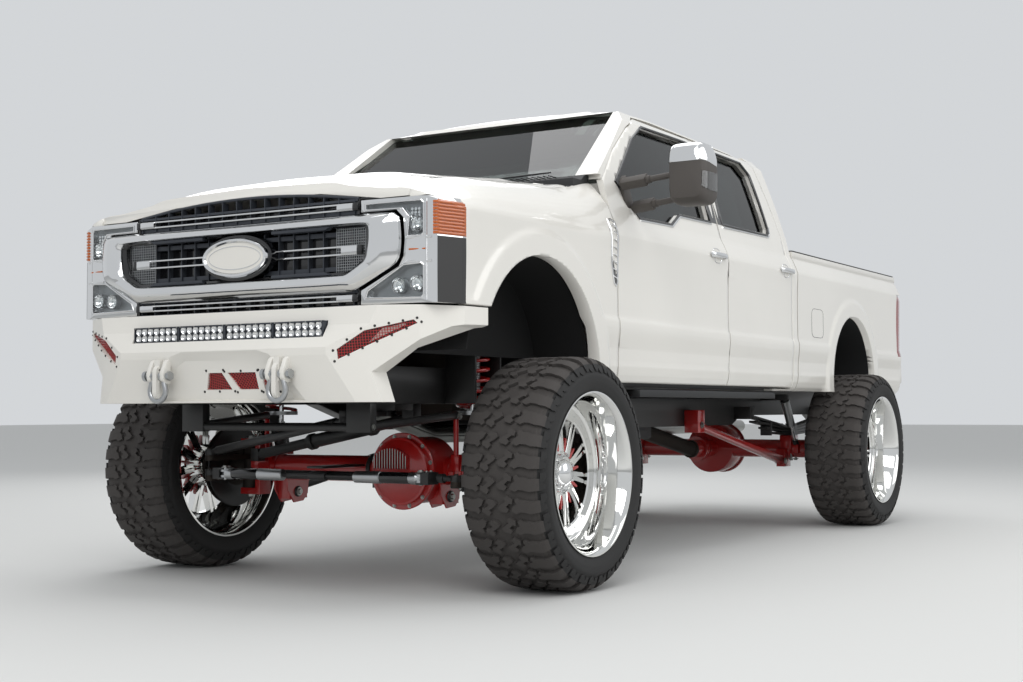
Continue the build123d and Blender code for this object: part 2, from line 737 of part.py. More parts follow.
MIRROR_HEAD_X = (1230, 1430)
MIRROR_HEAD_SPAN = (690, 850)
MIRROR_HEAD_Z = (1729, 2023)
MIRROR_ARM_RADIUS = 22
MIRROR_ARMS = [
    # door end and head end of each arm
    ((925, 800, 1862), (1245, 760, 1880)),
    ((940, 905, 1760), (1245, 780, 1765)),
]
with BuildPart() as mirror_left:
    block(MIRROR_HEAD_X, MIRROR_HEAD_SPAN, MIRROR_HEAD_Z)
    fillet(mirror_left.edges().filter_by(Axis.Y), radius=45)
    for door_end, head_end in MIRROR_ARMS:
        rod(door_end, head_end, MIRROR_ARM_RADIUS)
    add(cab_outer, mode=Mode.SUBTRACT)
save(mirror_left, "mirror_left")
with BuildPart() as mirror_right:
    mirror(mirror_left.part, about=Plane.YZ)
save(mirror_right, "mirror_right")

# Nose: hood, fenders and headlamps are cut from one lofted shape


def nose_section(row, inset, drop):
    """One section of the nose, drawn in at the sides and lowered on top."""
    tucks = [tuck for tuck, _ in CAB_SECTION[:4]] + list(NOSE_TUCKS)
    heights = [z for _, z in CAB_SECTION[:4]] + [z - drop for z in row[1:]]
    if inset:
        heights[0] -= 100
    points = [(max(BODY_HALF_WIDTH - tuck - inset, 0), z) for tuck, z in zip(tucks, heights)]
    points[-1] = (0, heights[-1])
    return mirrored(points)


def nose_volume(inset, drop):
    """The lofted nose, drawn in from its skin."""
    with BuildPart() as volume:
        for row in NOSE_SECTIONS:
            with BuildSketch(front_plane(row[0])):
                with BuildLine():
                    Polyline(nose_section(row, inset, drop), close=True)
                make_face()
        loft(ruled=True)
    return volume.part


NOSE_BACK = CAB_FRONT + CAB_WALL
nose_inner = nose_volume(FENDER_WALL, HOOD_THICKNESS)
with BuildPart() as nose:
    add(nose_volume(0, 0))
    plan_half = NOSE_PLAN + [(BODY_HALF_WIDTH, NOSE_BACK)]
    plan_prism(mirrored(plan_half), 0, ROOF_Z, mode=Mode.INTERSECT)


def lamp_block(mode=Mode.ADD, grow=0):
    """The space of both headlamps, in the nose's corners."""
    for side in SIDES:
        x = sorted((side * (LAMP_INNER_X - grow), side * WIDE))
        block(x, (BEFORE, LAMP_REAR + grow), (LAMP_BOTTOM_Z - grow, LAMP_TOP_Z + grow), mode=mode)


with BuildPart() as hood:
    add(nose.part)
    add(nose_inner, mode=Mode.SUBTRACT)
    edge = HOOD_EDGE_X - PANEL_GAP
    block((-edge, edge), (HOOD_FRONT, HOOD_REAR), (LAMP_BOTTOM_Z, ROOF_Z), mode=Mode.INTERSECT)
    for side in SIDES:
        slot = sorted((side * (HOOD_HINGE_X - 9), side * (HOOD_HINGE_X + 9)))
        block(slot, (HOOD_REAR - 40, HOOD_REAR), (LAMP_TOP_Z, HOOD_AXIS_Z + 10), mode=Mode.SUBTRACT)
        pin = [(side * (HOOD_HINGE_X + reach), HOOD_AXIS_STATION, HOOD_AXIS_Z) for reach in (-32, 32)]
        rod(pin[0], pin[1], HOOD_PIN_RADIUS + RUNNING_CLEARANCE, mode=Mode.SUBTRACT)
    lamp_block(mode=Mode.SUBTRACT, grow=PANEL_GAP)
save(hood, "hood")

with BuildPart() as corners:
    lamp_block()

with BuildPart() as headlamps:
    add(nose.part)
    add(corners.part, mode=Mode.INTERSECT)
    block((-LAMP_BACK_X, LAMP_BACK_X), (NOSE + LAMP_DEPTH, LAMP_REAR), (0, ROOF_Z), mode=Mode.SUBTRACT)
    front_prism(mirrored(RING_OUTER), BEFORE, LAMP_REAR, mode=Mode.SUBTRACT, grow=LAMP_RING_GAP)
save(headlamps, "headlamps")

with BuildPart() as flanges:
    block((-WIDE, WIDE), FLANGE_SPAN, FLANGE_Z)
    block((-FLANGE_X, FLANGE_X), FLANGE_SPAN, FLANGE_Z, mode=Mode.SUBTRACT)
    add(nose.part, mode=Mode.INTERSECT)

with BuildPart() as fenders:
    add(nose.part)
    add(nose_inner, mode=Mode.SUBTRACT)
    block((-HOOD_EDGE_X, HOOD_EDGE_X), (BEFORE, BEHIND), (0, ROOF_Z), mode=Mode.SUBTRACT)
    block((-WIDE, WIDE), (FENDER_REAR, BEHIND), (0, ROOF_Z), mode=Mode.SUBTRACT)
    block((-WIDE, WIDE), (BEFORE, FRONT_ARCH_Y), (0, LAMP_BOTTOM_Z), mode=Mode.SUBTRACT)
    lamp_block(mode=Mode.SUBTRACT)
    for side in SIDES:
        rod((0, FRONT_ARCH_Y, FRONT_ARCH_Z), (side * WIDE, FRONT_ARCH_Y, FRONT_ARCH_Z), FRONT_ARCH_RADIUS,
            mode=Mode.SUBTRACT)
    side_prism(FENDER_CORNER, -WIDE, WIDE, mode=Mode.SUBTRACT)
    add(flanges.part)
save(fenders, "fenders")

# Inner structure of the nose: aprons, radiator support and wheel liners

with BuildPart() as liners:
    centre = (FRONT_ARCH_Y, FRONT_ARCH_Z)
    liner_radius = FRONT_ARCH_RADIUS + LINER_CLEARANCE
    rod((-LINER_X, *centre), (LINER_X, *centre), liner_radius + LINER_WALL)
    rod((-LINER_X, *centre), (LINER_X, *centre), liner_radius, mode=Mode.SUBTRACT)
    block((-APRON_X, APRON_X), (BEFORE, BEHIND), (0, ROOF_Z), mode=Mode.SUBTRACT)
    block((-WIDE, WIDE), (BEFORE, BEHIND), (0, LINER_BOTTOM_Z), mode=Mode.SUBTRACT)

with BuildPart() as front_structure:
    add(liners.part)
    for side in SIDES:
        x = sorted((side * APRON_X, side * (APRON_X + APRON_WALL)))
        block(x, (RADIATOR_FRONT, CAB_FRONT), (APRON_BOTTOM_Z, FLANGE_Z[0]))
        shelf = sorted((side * APRON_X, side * (FLANGE_X + 20)))
        block(shelf, (RADIATOR_FRONT, FLANGE_SPAN[1]), (FLANGE_Z[0] - 20, FLANGE_Z[0]))
    block((-APRON_X - APRON_WALL, APRON_X + APRON_WALL), (RADIATOR_FRONT, RADIATOR_FRONT + 70),
          (RADIATOR_BOTTOM_Z, FLANGE_Z[0]))
    for side in SIDES:
        x = sorted((side * RAIL_INNER_X, side * RAIL_OUTER_X))
        block(x, (RADIATOR_FRONT, RADIATOR_FRONT + 70), (RAIL_FRONT_TOP_Z, RADIATOR_BOTTOM_Z))
save(front_structure, "front_structure")

# Grille: a dark panel with a bright ring, bars and trims

with BuildPart() as grille:
    block((-GRILLE_HALF, GRILLE_HALF), GRILLE_SPAN, (GRILLE_BOTTOM_Z, GRILLE_TOP_Z))
    block((-GRILLE_WING[0], GRILLE_WING[0]), GRILLE_SPAN, GRILLE_WING[1:])
    for z in GRILLE_RIBS:
        block((-GRILLE_HALF + 20, GRILLE_HALF - 20), (GRILLE_SPAN[0] - 12, GRILLE_SPAN[0]), (z - 6, z + 6))
    block((-GRILLE_HALF, GRILLE_HALF), (GRILLE_SPAN[1], RADIATOR_FRONT), (GRILLE_TOP_Z - 80, GRILLE_TOP_Z))
save(grille, "grille")

def ring_outline(share):
    """The surround's outline part of the way from its inner to its outer one."""
    pairs = zip(RING_INNER, RING_OUTER)
    return [(x0 + (x1 - x0) * share, z0 + (z1 - z0) * share) for (x0, z0), (x1, z1) in pairs]


with BuildPart() as grille_surround:
    front_prism(mirrored(ring_outline(RING_BEVEL)), RING_SPAN[0], RING_SPAN[1])
    front_prism(mirrored(RING_OUTER), RING_SPAN[0] + RING_BEVEL_DEPTH, RING_SPAN[1])
    front_prism(mirrored(RING_INNER), RING_SPAN[0], RING_SPAN[1], mode=Mode.SUBTRACT)
    for z in RING_BARS:
        block((-RING_BAR_X, RING_BAR_X), (RING_SPAN[0] + 15, RING_SPAN[1]), (z - BAR_HALF, z + BAR_HALF))
    with BuildSketch(front_plane(RING_SPAN[0] - 20)) as badge:
        with Locations((0, BADGE_Z)):
            Ellipse(BADGE_HALF[0], BADGE_HALF[1])
    extrude(badge.sketch, amount=RING_SPAN[0] - 20 - RING_SPAN[1])
save(grille_surround, "grille_surround")

# Front bumper: a faceted steel bumper, its shackle mounts and shackles

with BuildPart() as front_bumper:
    plan_prism(mirrored(BUMPER_PLAN), BUMPER_BOTTOM_Z, BUMPER_TIP_Z)
    front_prism(mirrored(BUMPER_FRONT), BEFORE, 0, mode=Mode.INTERSECT)
    side_prism(BUMPER_SIDE, -WIDE, WIDE, mode=Mode.INTERSECT)
    plan_prism(mirrored(BUMPER_HOLLOW), BUMPER_BOTTOM_Z - 1, BUMPER_TIP_Z + 1, mode=Mode.SUBTRACT)
    block((-LIGHT_BAR_X - 5, LIGHT_BAR_X + 5), (BEFORE, LIGHT_BAR_REAR), LIGHT_BAR_Z, mode=Mode.SUBTRACT)
    for side in SIDES:
        x = sorted((side * RAIL_INNER_X, side * RAIL_OUTER_X))
        block(x, (LIGHT_BAR_REAR, BUMPER_BRACKET_REAR), (RAIL_BOTTOM_Z + 160, BUMPER_BRACKET_Z))
        mount_x = sorted((side * (SHACKLE_X - SHACKLE_LUG / 2), side * (SHACKLE_X + SHACKLE_LUG / 2)))
        block(mount_x, (SHACKLE_STATION - 20, LIGHT_BAR_REAR + 20), SHACKLE_LUG_Z)
        with BuildSketch(Plane.YZ.offset(side * SHACKLE_X - SHACKLE_BAR)) as bow:
            with Locations((aft(SHACKLE_STATION), SHACKLE_Z)):
                SlotOverall(SHACKLE_LENGTH, SHACKLE_WIDTH, rotation=90)
                SlotOverall(SHACKLE_LENGTH - 4 * SHACKLE_BAR, SHACKLE_WIDTH - 4 * SHACKLE_BAR, rotation=90,
                            mode=Mode.SUBTRACT)
        extrude(bow.sketch, amount=2 * SHACKLE_BAR)
save(front_bumper, "front_bumper")

with BuildPart() as light_bar:
    block((-LIGHT_BAR_X, LIGHT_BAR_X), (LIGHT_BAR_FRONT, LIGHT_BAR_REAR), LIGHT_BAR_Z)
save(light_bar, "light_bar")

# Load bed, tailgate and rear bumper

TAILGATE_FRONT = BED_REAR - TAILGATE_THICKNESS
TAILGATE_STATION = BED_REAR - TAILGATE_THICKNESS / 2
ARCH_CENTRE = (REAR_ARCH_Y, REAR_ARCH_Z)
BED_UNDER_Z = BED_FLOOR_Z - BED_FLOOR_THICKNESS
with BuildPart() as wheelhouses:
    rod((-BED_INNER_X, *ARCH_CENTRE), (BED_INNER_X, *ARCH_CENTRE), REAR_ARCH_RADIUS + WHEELHOUSE_WALL)
    block((-WHEELHOUSE_X, WHEELHOUSE_X), (BED_FRONT, BED_REAR), (0, ROOF_Z), mode=Mode.SUBTRACT)
    for side in SIDES:
        rod((side * (WHEELHOUSE_X + WHEELHOUSE_WALL), *ARCH_CENTRE), (side * WIDE, *ARCH_CENTRE),
            REAR_ARCH_RADIUS,
            mode=Mode.SUBTRACT)
    block((-WIDE, WIDE), (BED_FRONT, BED_REAR), (0, BED_UNDER_Z), mode=Mode.SUBTRACT)

with BuildPart() as bed:
    front_prism(mirrored([(BODY_HALF_WIDTH - tuck, z) for tuck, z in BED_SECTION]), BED_FRONT, BED_REAR)
    block((-BED_INNER_X, BED_INNER_X), (BED_FRONT + BED_FRONT_WALL, BED_REAR), (BED_FLOOR_Z, BED_RAIL_Z),
          mode=Mode.SUBTRACT)
    skirt_x = BODY_HALF_WIDTH - BED_SECTION[1][0] - BED_SKIRT
    block((-skirt_x, skirt_x), (BED_FRONT, BED_REAR), (SILL_Z, BED_UNDER_Z), mode=Mode.SUBTRACT)
    block((-TAILGATE_HALF_WIDTH - PANEL_GAP, TAILGATE_HALF_WIDTH + PANEL_GAP), (BED_FLOOR_REAR, BED_REAR),
          (SILL_Z, BED_RAIL_Z), mode=Mode.SUBTRACT)
    for side in SIDES:
        post = sorted((side * (TAILGATE_HALF_WIDTH + PANEL_GAP), side * BED_INNER_X))
        block(post, (TAILGATE_FRONT - 20, BED_REAR), (BED_UNDER_Z, BED_RAIL_Z))
        rod((side * (WHEELHOUSE_X + WHEELHOUSE_WALL), *ARCH_CENTRE), (side * WIDE, *ARCH_CENTRE),
            REAR_ARCH_RADIUS,
            mode=Mode.SUBTRACT)
        pin_start = (side * TAILGATE_HALF_WIDTH, TAILGATE_STATION, TAILGATE_AXIS_Z)
        pin_end = (side * (TAILGATE_HALF_WIDTH + PANEL_GAP + TAILGATE_PIN_GRIP), *pin_start[1:])
        rod(pin_start, pin_end, TAILGATE_PIN_RADIUS + RUNNING_CLEARANCE, mode=Mode.SUBTRACT)
        lamp_x = sorted((side * TAIL_LAMP_X, side * WIDE))
        block(lamp_x, (TAIL_LAMP_FRONT, BED_REAR), TAIL_LAMP_Z, mode=Mode.SUBTRACT)
    add(wheelhouses.part)
    for station, bottom in BED_SILLS:
        block((-RAIL_OUTER_X, RAIL_OUTER_X), (station - 40, station + 40), (bottom, BED_UNDER_Z))
save(bed, "bed")

with BuildPart() as tail_lamps:
    front_prism(mirrored([(BODY_HALF_WIDTH - tuck, z) for tuck, z in BED_SECTION]), TAIL_LAMP_FRONT,
                BED_REAR)
    block((-TAIL_LAMP_X, TAIL_LAMP_X), (TAIL_LAMP_FRONT, BED_REAR), (0, ROOF_Z), mode=Mode.SUBTRACT)
    block((-WIDE, WIDE), (TAIL_LAMP_FRONT, BED_REAR), TAIL_LAMP_Z, mode=Mode.INTERSECT)
save(tail_lamps, "tail_lamps")

with BuildPart() as tailgate:
    block((-TAILGATE_HALF_WIDTH, TAILGATE_HALF_WIDTH), (TAILGATE_FRONT, BED_REAR),
          (TAILGATE_BOTTOM_Z, BED_RAIL_Z))
    pin_reach = TAILGATE_HALF_WIDTH + PANEL_GAP + TAILGATE_PIN_GRIP - 2
    rod((-pin_reach, TAILGATE_STATION, TAILGATE_AXIS_Z), (pin_reach, TAILGATE_STATION, TAILGATE_AXIS_Z),
        TAILGATE_PIN_RADIUS)
save(tailgate, "tailgate")

with BuildPart() as rear_bumper:
    plan_prism(mirrored(REAR_BUMPER_PLAN), REAR_BUMPER_Z[0], REAR_BUMPER_Z[1])
    for side in SIDES:
        x = sorted((side * RAIL_INNER_X, side * RAIL_OUTER_X))
        block(x, (BED_REAR - 90, REAR_BUMPER_FRONT), (RAIL_TOP_Z, REAR_BUMPER_Z[0] + 40))
save(rear_bumper, "rear_bumper")

# Frame: two channel rails with a rise over the rear axle, and crossmembers


def rail_outline(grow):
    """A rail's side outline, drawn in by a wall."""
    front_up = (RAIL_FRONT_BOTTOM_Z - RAIL_BOTTOM_Z, RAIL_FRONT_TOP_Z - RAIL_TOP_Z)
    # station, then the rise of the bottom and of the top
    rises = [
        (RAIL_FRONT, *front_up), (RAIL_KICK[0], *front_up), (RAIL_KICK[1], 0, 0), (RAIL_RISE_SPAN[0], 0, 0),
        (RAIL_RISE_SPAN[0] + 150, RAIL_RISE, RAIL_RISE), (RAIL_RISE_SPAN[1] - 150, RAIL_RISE, RAIL_RISE),
        (RAIL_RISE_SPAN[1], 0, 0), (RAIL_REAR, 0, 0),
    ]
    bottom = [(station, RAIL_BOTTOM_Z + grow + up) for station, up, _ in rises]
    top = [(station, RAIL_TOP_Z - grow + up) for station, _, up in rises]
    return bottom + list(reversed(top))


with BuildPart() as frame_rails:
    side_prism(rail_outline(0), RAIL_INNER_X, RAIL_OUTER_X)
    side_prism(rail_outline(RAIL_WEB), RAIL_INNER_X, RAIL_OUTER_X - RAIL_WEB, mode=Mode.SUBTRACT)
    for station in BODY_MOUNTS:
        rod((RAIL_OUTER_X - 40, station, RAIL_TOP_Z), (RAIL_OUTER_X - 40, station, SILL_Z),
            BODY_MOUNT_RADIUS)
    mirror(about=Plane.YZ)
save(frame_rails, "frame_rails")

with BuildPart() as crossmembers:
    for station, low, high in CROSSMEMBERS:
        x = RAIL_OUTER_X - RAIL_WEB
        block((-x, x), (station - 40, station + 40), (low, high))
    block((-RECEIVER_HALF, RECEIVER_HALF), (CROSSMEMBERS[-1][0], RECEIVER_REAR), RECEIVER_Z)
    inner = RECEIVER_HALF - RECEIVER_WALL
    block((-inner, inner), (CROSSMEMBERS[-1][0] + 60, RECEIVER_REAR),
          (RECEIVER_Z[0] + RECEIVER_WALL, RECEIVER_Z[1] - RECEIVER_WALL), mode=Mode.SUBTRACT)
    receiver_z = (RECEIVER_Z[0] + RECEIVER_Z[1]) / 2
    rod((-WIDE, RECEIVER_PIN, receiver_z), (WIDE, RECEIVER_PIN, receiver_z), RECEIVER_PIN_RADIUS,
        mode=Mode.SUBTRACT)
save(crossmembers, "crossmembers")

# Wheels: a rim with curved spokes, its hub and brake disc, and its tyre

WHEELS = [
    # name, side, station
    ("front_left", 1, 0), ("front_right", -1, 0), ("rear_left", 1, WHEELBASE), ("rear_right", -1,
                                                                                WHEELBASE),
]
RIM_X = (WHEEL_X - RIM_WIDTH / 2, WHEEL_X + RIM_WIDTH / 2)
RIM_TOP = RIM_BEAD_RADIUS + RIM_FLANGE


def ring_profile(points):
    """Revolve a profile of X and radius round the left front wheel's axis."""
    with BuildSketch(Plane(origin=(0, FRONT_AXLE_Y, AXLE_Z), x_dir=(1, 0, 0), z_dir=(0, -1, 0))) as profile:
        with BuildLine():
            Polyline(points, close=True)
        make_face()
    revolve(profile.sketch, axis=Axis((0, FRONT_AXLE_Y, AXLE_Z), (1, 0, 0)))


def spoke_outline(side):
    """One spoke of a pair seen along the axle."""
    outline = []
    for edge, ends in ((-1, SPOKE_ENDS), (1, reversed(SPOKE_ENDS))):
        for radius, spread, half in ends:
            outline.append((radius, side * spread + edge * half))
    return outline


def lug_outline():
    """One tread lug seen along the axle."""
    half = tan(radians(180 / LUG_COUNT * LUG_SHARE))
    low, high = LUG_FOOT_RADIUS, TYRE_RADIUS + LUG_DEPTH
    return [(low, -low * half), (high, -high * half), (high, high * half), (low, low * half)]


def wheel_plane(x):
    """A plane across the left front axle, whose normal points outwards."""
    return Plane(origin=(x, FRONT_AXLE_Y, AXLE_Z), x_dir=(0, 1, 0), z_dir=(1, 0, 0))


RIM_INNER = RIM_BEAD_RADIUS - RIM_WALL
SPOKE_X = (WHEEL_X - SPOKE_DEPTH / 2, WHEEL_X + SPOKE_DEPTH / 2)

with BuildPart() as wheel:
    ring_profile([
        (RIM_X[0], RIM_TOP), (RIM_X[0], RIM_INNER), (RIM_X[1], RIM_BEAD_RADIUS), (RIM_X[1], RIM_TOP),
        (RIM_X[1] - RIM_LIP, RIM_TOP), (RIM_X[1] - RIM_LIP, RIM_BEAD_RADIUS),
        (RIM_X[1] - RIM_SEAT, RIM_BEAD_RADIUS), (RIM_X[0] + RIM_SEAT, RIM_BEAD_RADIUS),
        (RIM_X[0] + RIM_LIP, RIM_BEAD_RADIUS), (RIM_X[0] + RIM_LIP, RIM_TOP),
    ])
    ring_profile([
        (WHEEL_X, FACE_RING_RADIUS), (WHEEL_X, RIM_BEAD_RADIUS - 1), (WHEEL_X + FACE_RING_DEPTH,
                                                                      RIM_BEAD_RADIUS - 1),
        (WHEEL_X + FACE_RING_DEPTH, FACE_RING_RADIUS),
    ])
    with BuildSketch(wheel_plane(SPOKE_X[0])) as spokes:
        with PolarLocations(0, SPOKE_PAIRS):
            for side in SIDES:
                Polygon(*spoke_outline(side), align=None)
    extrude(spokes.sketch, amount=SPOKE_DEPTH)
    bore = SPINDLE_RADIUS + RUNNING_CLEARANCE
    cap_x = SPOKE_X[1] + HUB_CAP_DEPTH
    ring_profile([
        (HUB_INNER_X, bore), (HUB_INNER_X, DISC_HAT_RADIUS), (DISC_X[0], DISC_HAT_RADIUS), (DISC_X[0],
                                                                                            DISC_RADIUS),
        (DISC_X[1], DISC_RADIUS), (DISC_X[1], DISC_HAT_RADIUS), (HUB_FACE_X, DISC_HAT_RADIUS),
        (HUB_FACE_X, HUB_RADIUS), (SPOKE_X[1], HUB_RADIUS), (SPOKE_X[1], HUB_CAP_RADIUS),
        (cap_x, HUB_CAP_RADIUS - HUB_WALL), (cap_x, 0), (cap_x - HUB_WALL, 0),
        (cap_x - HUB_WALL, HUB_HOLLOW_RADIUS - HUB_WALL), (SPOKE_X[1] - HUB_WALL, HUB_HOLLOW_RADIUS),
        (SPINDLE_END_X + 5, HUB_HOLLOW_RADIUS), (SPINDLE_END_X + 5, bore),
    ])

TYRE_X = (WHEEL_X - TYRE_WIDTH / 2, WHEEL_X + TYRE_WIDTH / 2)
TREAD_X = (WHEEL_X - TREAD_WIDTH / 2, WHEEL_X + TREAD_WIDTH / 2)

with BuildPart() as lugs:
    for x, start_angle in ((TYRE_X[0], 0), (WHEEL_X + LUG_GROOVE / 2, 180 / LUG_COUNT)):
        with BuildSketch(wheel_plane(x)) as lug_row:
            with PolarLocations(0, LUG_COUNT, start_angle=start_angle):
                Polygon(*lug_outline(), align=None)
        extrude(lug_row.sketch, amount=(TYRE_WIDTH - LUG_GROOVE) / 2)

with BuildPart() as lug_bounds:
    ring_profile([
        (TYRE_X[0], LUG_FOOT_RADIUS), (TYRE_X[0], TYRE_SHOULDER_RADIUS), (TREAD_X[0], TYRE_RADIUS),
        (TREAD_X[1], TYRE_RADIUS), (TYRE_X[1], TYRE_SHOULDER_RADIUS), (TYRE_X[1], LUG_FOOT_RADIUS),
    ])

with BuildPart() as tyre:
    ring_profile([
        (RIM_X[0] + RIM_LIP, RIM_BEAD_RADIUS), (RIM_X[1] - RIM_LIP, RIM_BEAD_RADIUS), (RIM_X[1] - RIM_LIP,
                                                                                       RIM_TOP),
        (TYRE_X[1], TYRE_BULGE_RADIUS), (TYRE_X[1] - LUG_DEPTH, TYRE_SHOULDER_RADIUS - LUG_DEPTH),
        (TREAD_X[1] - LUG_DEPTH / 2, TYRE_RADIUS - LUG_DEPTH), (TREAD_X[0] + LUG_DEPTH / 2,
                                                                TYRE_RADIUS - LUG_DEPTH),
        (TYRE_X[0] + LUG_DEPTH, TYRE_SHOULDER_RADIUS - LUG_DEPTH), (TYRE_X[0], TYRE_BULGE_RADIUS),
        (RIM_X[0] + RIM_LIP, RIM_TOP),
    ])
    add(lugs.part & lug_bounds.part)

for name, side, station in WHEELS:
    for label, piece in (("wheel", wheel), ("tyre", tyre)):
        with BuildPart() as placed:
            with Locations((0, station, 0)):
                add(piece.part)
            if side < 0:
                mirror(placed.part, about=Plane.YZ, mode=Mode.REPLACE)
        save(placed, f"{label}_{name}")

# Axles

with BuildPart() as front_axle:
    rod((-YOKE_INNER_X, 0, AXLE_Z), (YOKE_INNER_X, 0, AXLE_Z), AXLE_TUBE_RADIUS)
    rod((FRONT_DIFF_X, FRONT_COVER, AXLE_Z), (FRONT_DIFF_X, 60, AXLE_Z), FRONT_DIFF_RADIUS)
    rod((FRONT_DIFF_X, 60, AXLE_Z), (FRONT_DIFF_X, PINION_END, AXLE_Z), PINION_RADIUS)
    reach = KNUCKLE_REACH_Z + RUNNING_CLEARANCE
    for side in SIDES:
        for up in (1, -1):
            levels = sorted((AXLE_Z + up * reach, AXLE_Z + up * (reach + YOKE_THICKNESS)))
            x = sorted((side * (YOKE_INNER_X - YOKE_THICKNESS), side * (KINGPIN_X + 32)))
            block(x, (-40, 40), levels)
            rod((side * KINGPIN_X, 0, levels[0] - 1), (side * KINGPIN_X, 0, levels[1] + 1),
                KINGPIN_PIN_RADIUS + RUNNING_CLEARANCE, mode=Mode.SUBTRACT)
        web = sorted((side * (YOKE_INNER_X - YOKE_THICKNESS), side * YOKE_INNER_X))
        block(web, (-40, 40), (AXLE_Z - reach, AXLE_Z + reach))
        perch = sorted((side * (COILOVER_X - 40), side * (COILOVER_X + 40)))
        block(perch, (20, COILOVER_STATION + 45), (AXLE_Z + 30, COILOVER_BOTTOM_Z))
        arm = sorted((side * (RADIUS_ARM_X - 35), side * (RADIUS_ARM_X + 35)))
        block(arm, (-60, 70), (AXLE_Z - 150, AXLE_Z - 20))
        link_x = side * SWAY_ARM_X
        link_top = SWAY_ARM_Z - SWAY_RADIUS - SWAY_LINK_GAP
        rod((link_x, SWAY_ARM_END, AXLE_Z), (link_x, SWAY_ARM_END, link_top), SWAY_LINK_RADIUS)
        foot = sorted((link_x - SWAY_FOOT, link_x + SWAY_FOOT))
        block(foot, (SWAY_ARM_END - SWAY_LINK_RADIUS, 0),
              (AXLE_Z, AXLE_Z + AXLE_TUBE_RADIUS + SWAY_FOOT_HEIGHT))
    block((TRAC_AXLE[0] - 22, TRAC_AXLE[0] + 22), (TRAC_AXLE[1] - 25, 0), (AXLE_Z, TRAC_AXLE[2] - 30))
save(front_axle, "front_axle")

with BuildPart() as rear_axle:
    rod((-REAR_TUBE_X, WHEELBASE, AXLE_Z), (REAR_TUBE_X, WHEELBASE, AXLE_Z), AXLE_TUBE_RADIUS)
    rod((0, WHEELBASE - 60, AXLE_Z), (0, WHEELBASE + 175, AXLE_Z), REAR_DIFF_RADIUS)
    rod((0, WHEELBASE - REAR_PINION, AXLE_Z), (0, WHEELBASE - 60, AXLE_Z), PINION_RADIUS)
    for side in SIDES:
        rod((side * REAR_TUBE_X, WHEELBASE, AXLE_Z), (side * SPINDLE_END_X, WHEELBASE, AXLE_Z),
            SPINDLE_RADIUS)
        perch = sorted((side * (LEAF_X - 40), side * (LEAF_X + 40)))
        block(perch, (WHEELBASE - 70, WHEELBASE + 70), (AXLE_Z, LEAF_SEAT_Z))
        bar = sorted((side * (TRACTION_X - 30), side * (TRACTION_X + 30)))
        block(bar, (WHEELBASE - 110, WHEELBASE), (AXLE_Z - 120, AXLE_Z))
        shock = sorted((side * (REAR_SHOCK_X - 20), side * (REAR_SHOCK_X + 20)))
        block(shock, (WHEELBASE - 100, WHEELBASE - 30), (AXLE_Z - 30, AXLE_Z + 30))
save(rear_axle, "rear_axle")

# Steering knuckles, with an arm for the tie rod and, on the right, one for the drag link

for name, side in (("left", 1), ("right", -1)):
    with BuildPart() as knuckle:
        top = AXLE_Z + KNUCKLE_REACH_Z
        rod((side * KINGPIN_X, 0, AXLE_Z - KNUCKLE_REACH_Z), (side * KINGPIN_X, 0, top),
            KNUCKLE_BODY_RADIUS)
        grip = YOKE_THICKNESS
        rod((side * KINGPIN_X, 0, AXLE_Z - KNUCKLE_REACH_Z - grip), (side * KINGPIN_X, 0, top + grip),
            KINGPIN_PIN_RADIUS)
        rod((side * KINGPIN_X, 0, AXLE_Z), (side * (HUB_INNER_X - SEAT_CLEARANCE), 0, AXLE_Z),
            KNUCKLE_BODY_RADIUS + 12)
        rod((side * KINGPIN_X, 0, AXLE_Z), (side * SPINDLE_END_X, 0, AXLE_Z), SPINDLE_RADIUS)
        arms = [TIE_ROD_Z] if side > 0 else [TIE_ROD_Z, DRAG_KNUCKLE_Z]
        for z in arms:
            low = z - ROD_EYE_HEIGHT / 2 - ARM_THICKNESS - SEAT_CLEARANCE
            x = (side * KINGPIN_X - 24, side * KINGPIN_X + 24)
            block(x, (-STEER_ARM, 0), (low, low + ARM_THICKNESS))
            rod((side * KINGPIN_X, -STEER_ARM, low), (side * KINGPIN_X, -STEER_ARM, low + ARM_THICKNESS),
                24)
            rod((side * KINGPIN_X, -STEER_ARM, low),
                (side * KINGPIN_X, -STEER_ARM, z + ROD_EYE_HEIGHT / 2 + 6),
                ROD_EYE_PIN)
        caliper_x = sorted((side * (DISC_X[0] - 30), side * (DISC_X[1] + 30)))
        slot_x = sorted((side * (DISC_X[0] - 6), side * (DISC_X[1] + 6)))
        block(caliper_x, CALIPER_SPAN, (AXLE_Z - 75, AXLE_Z + 75))
        rod((slot_x[0], 0, AXLE_Z), (slot_x[1], 0, AXLE_Z), DISC_RADIUS + 6, mode=Mode.SUBTRACT)
        neck = sorted((side * (KINGPIN_X + 20), side * (HUB_INNER_X - 6)))
        block(neck, (0, CALIPER_SPAN[0] + 20), (AXLE_Z - 40, AXLE_Z + 40))
        rod((side * KINGPIN_X, 0, AXLE_Z), (side * SPINDLE_END_X, 0, AXLE_Z), SPINDLE_RADIUS)
    save(knuckle, f"knuckle_{name}")

# Steering rods


def rod_eye(x, station, z):
    """An eye on a vertical pin."""
    rod((x, station, z - ROD_EYE_HEIGHT / 2), (x, station, z + ROD_EYE_HEIGHT / 2), ROD_EYE_RADIUS)


def eye_hole(x, station, z):
    """The pin's hole in a rod's eye."""
    rod((x, station, z - ROD_EYE_HEIGHT), (x, station, z + ROD_EYE_HEIGHT), ROD_EYE_PIN + RUNNING_CLEARANCE,
        mode=Mode.SUBTRACT)


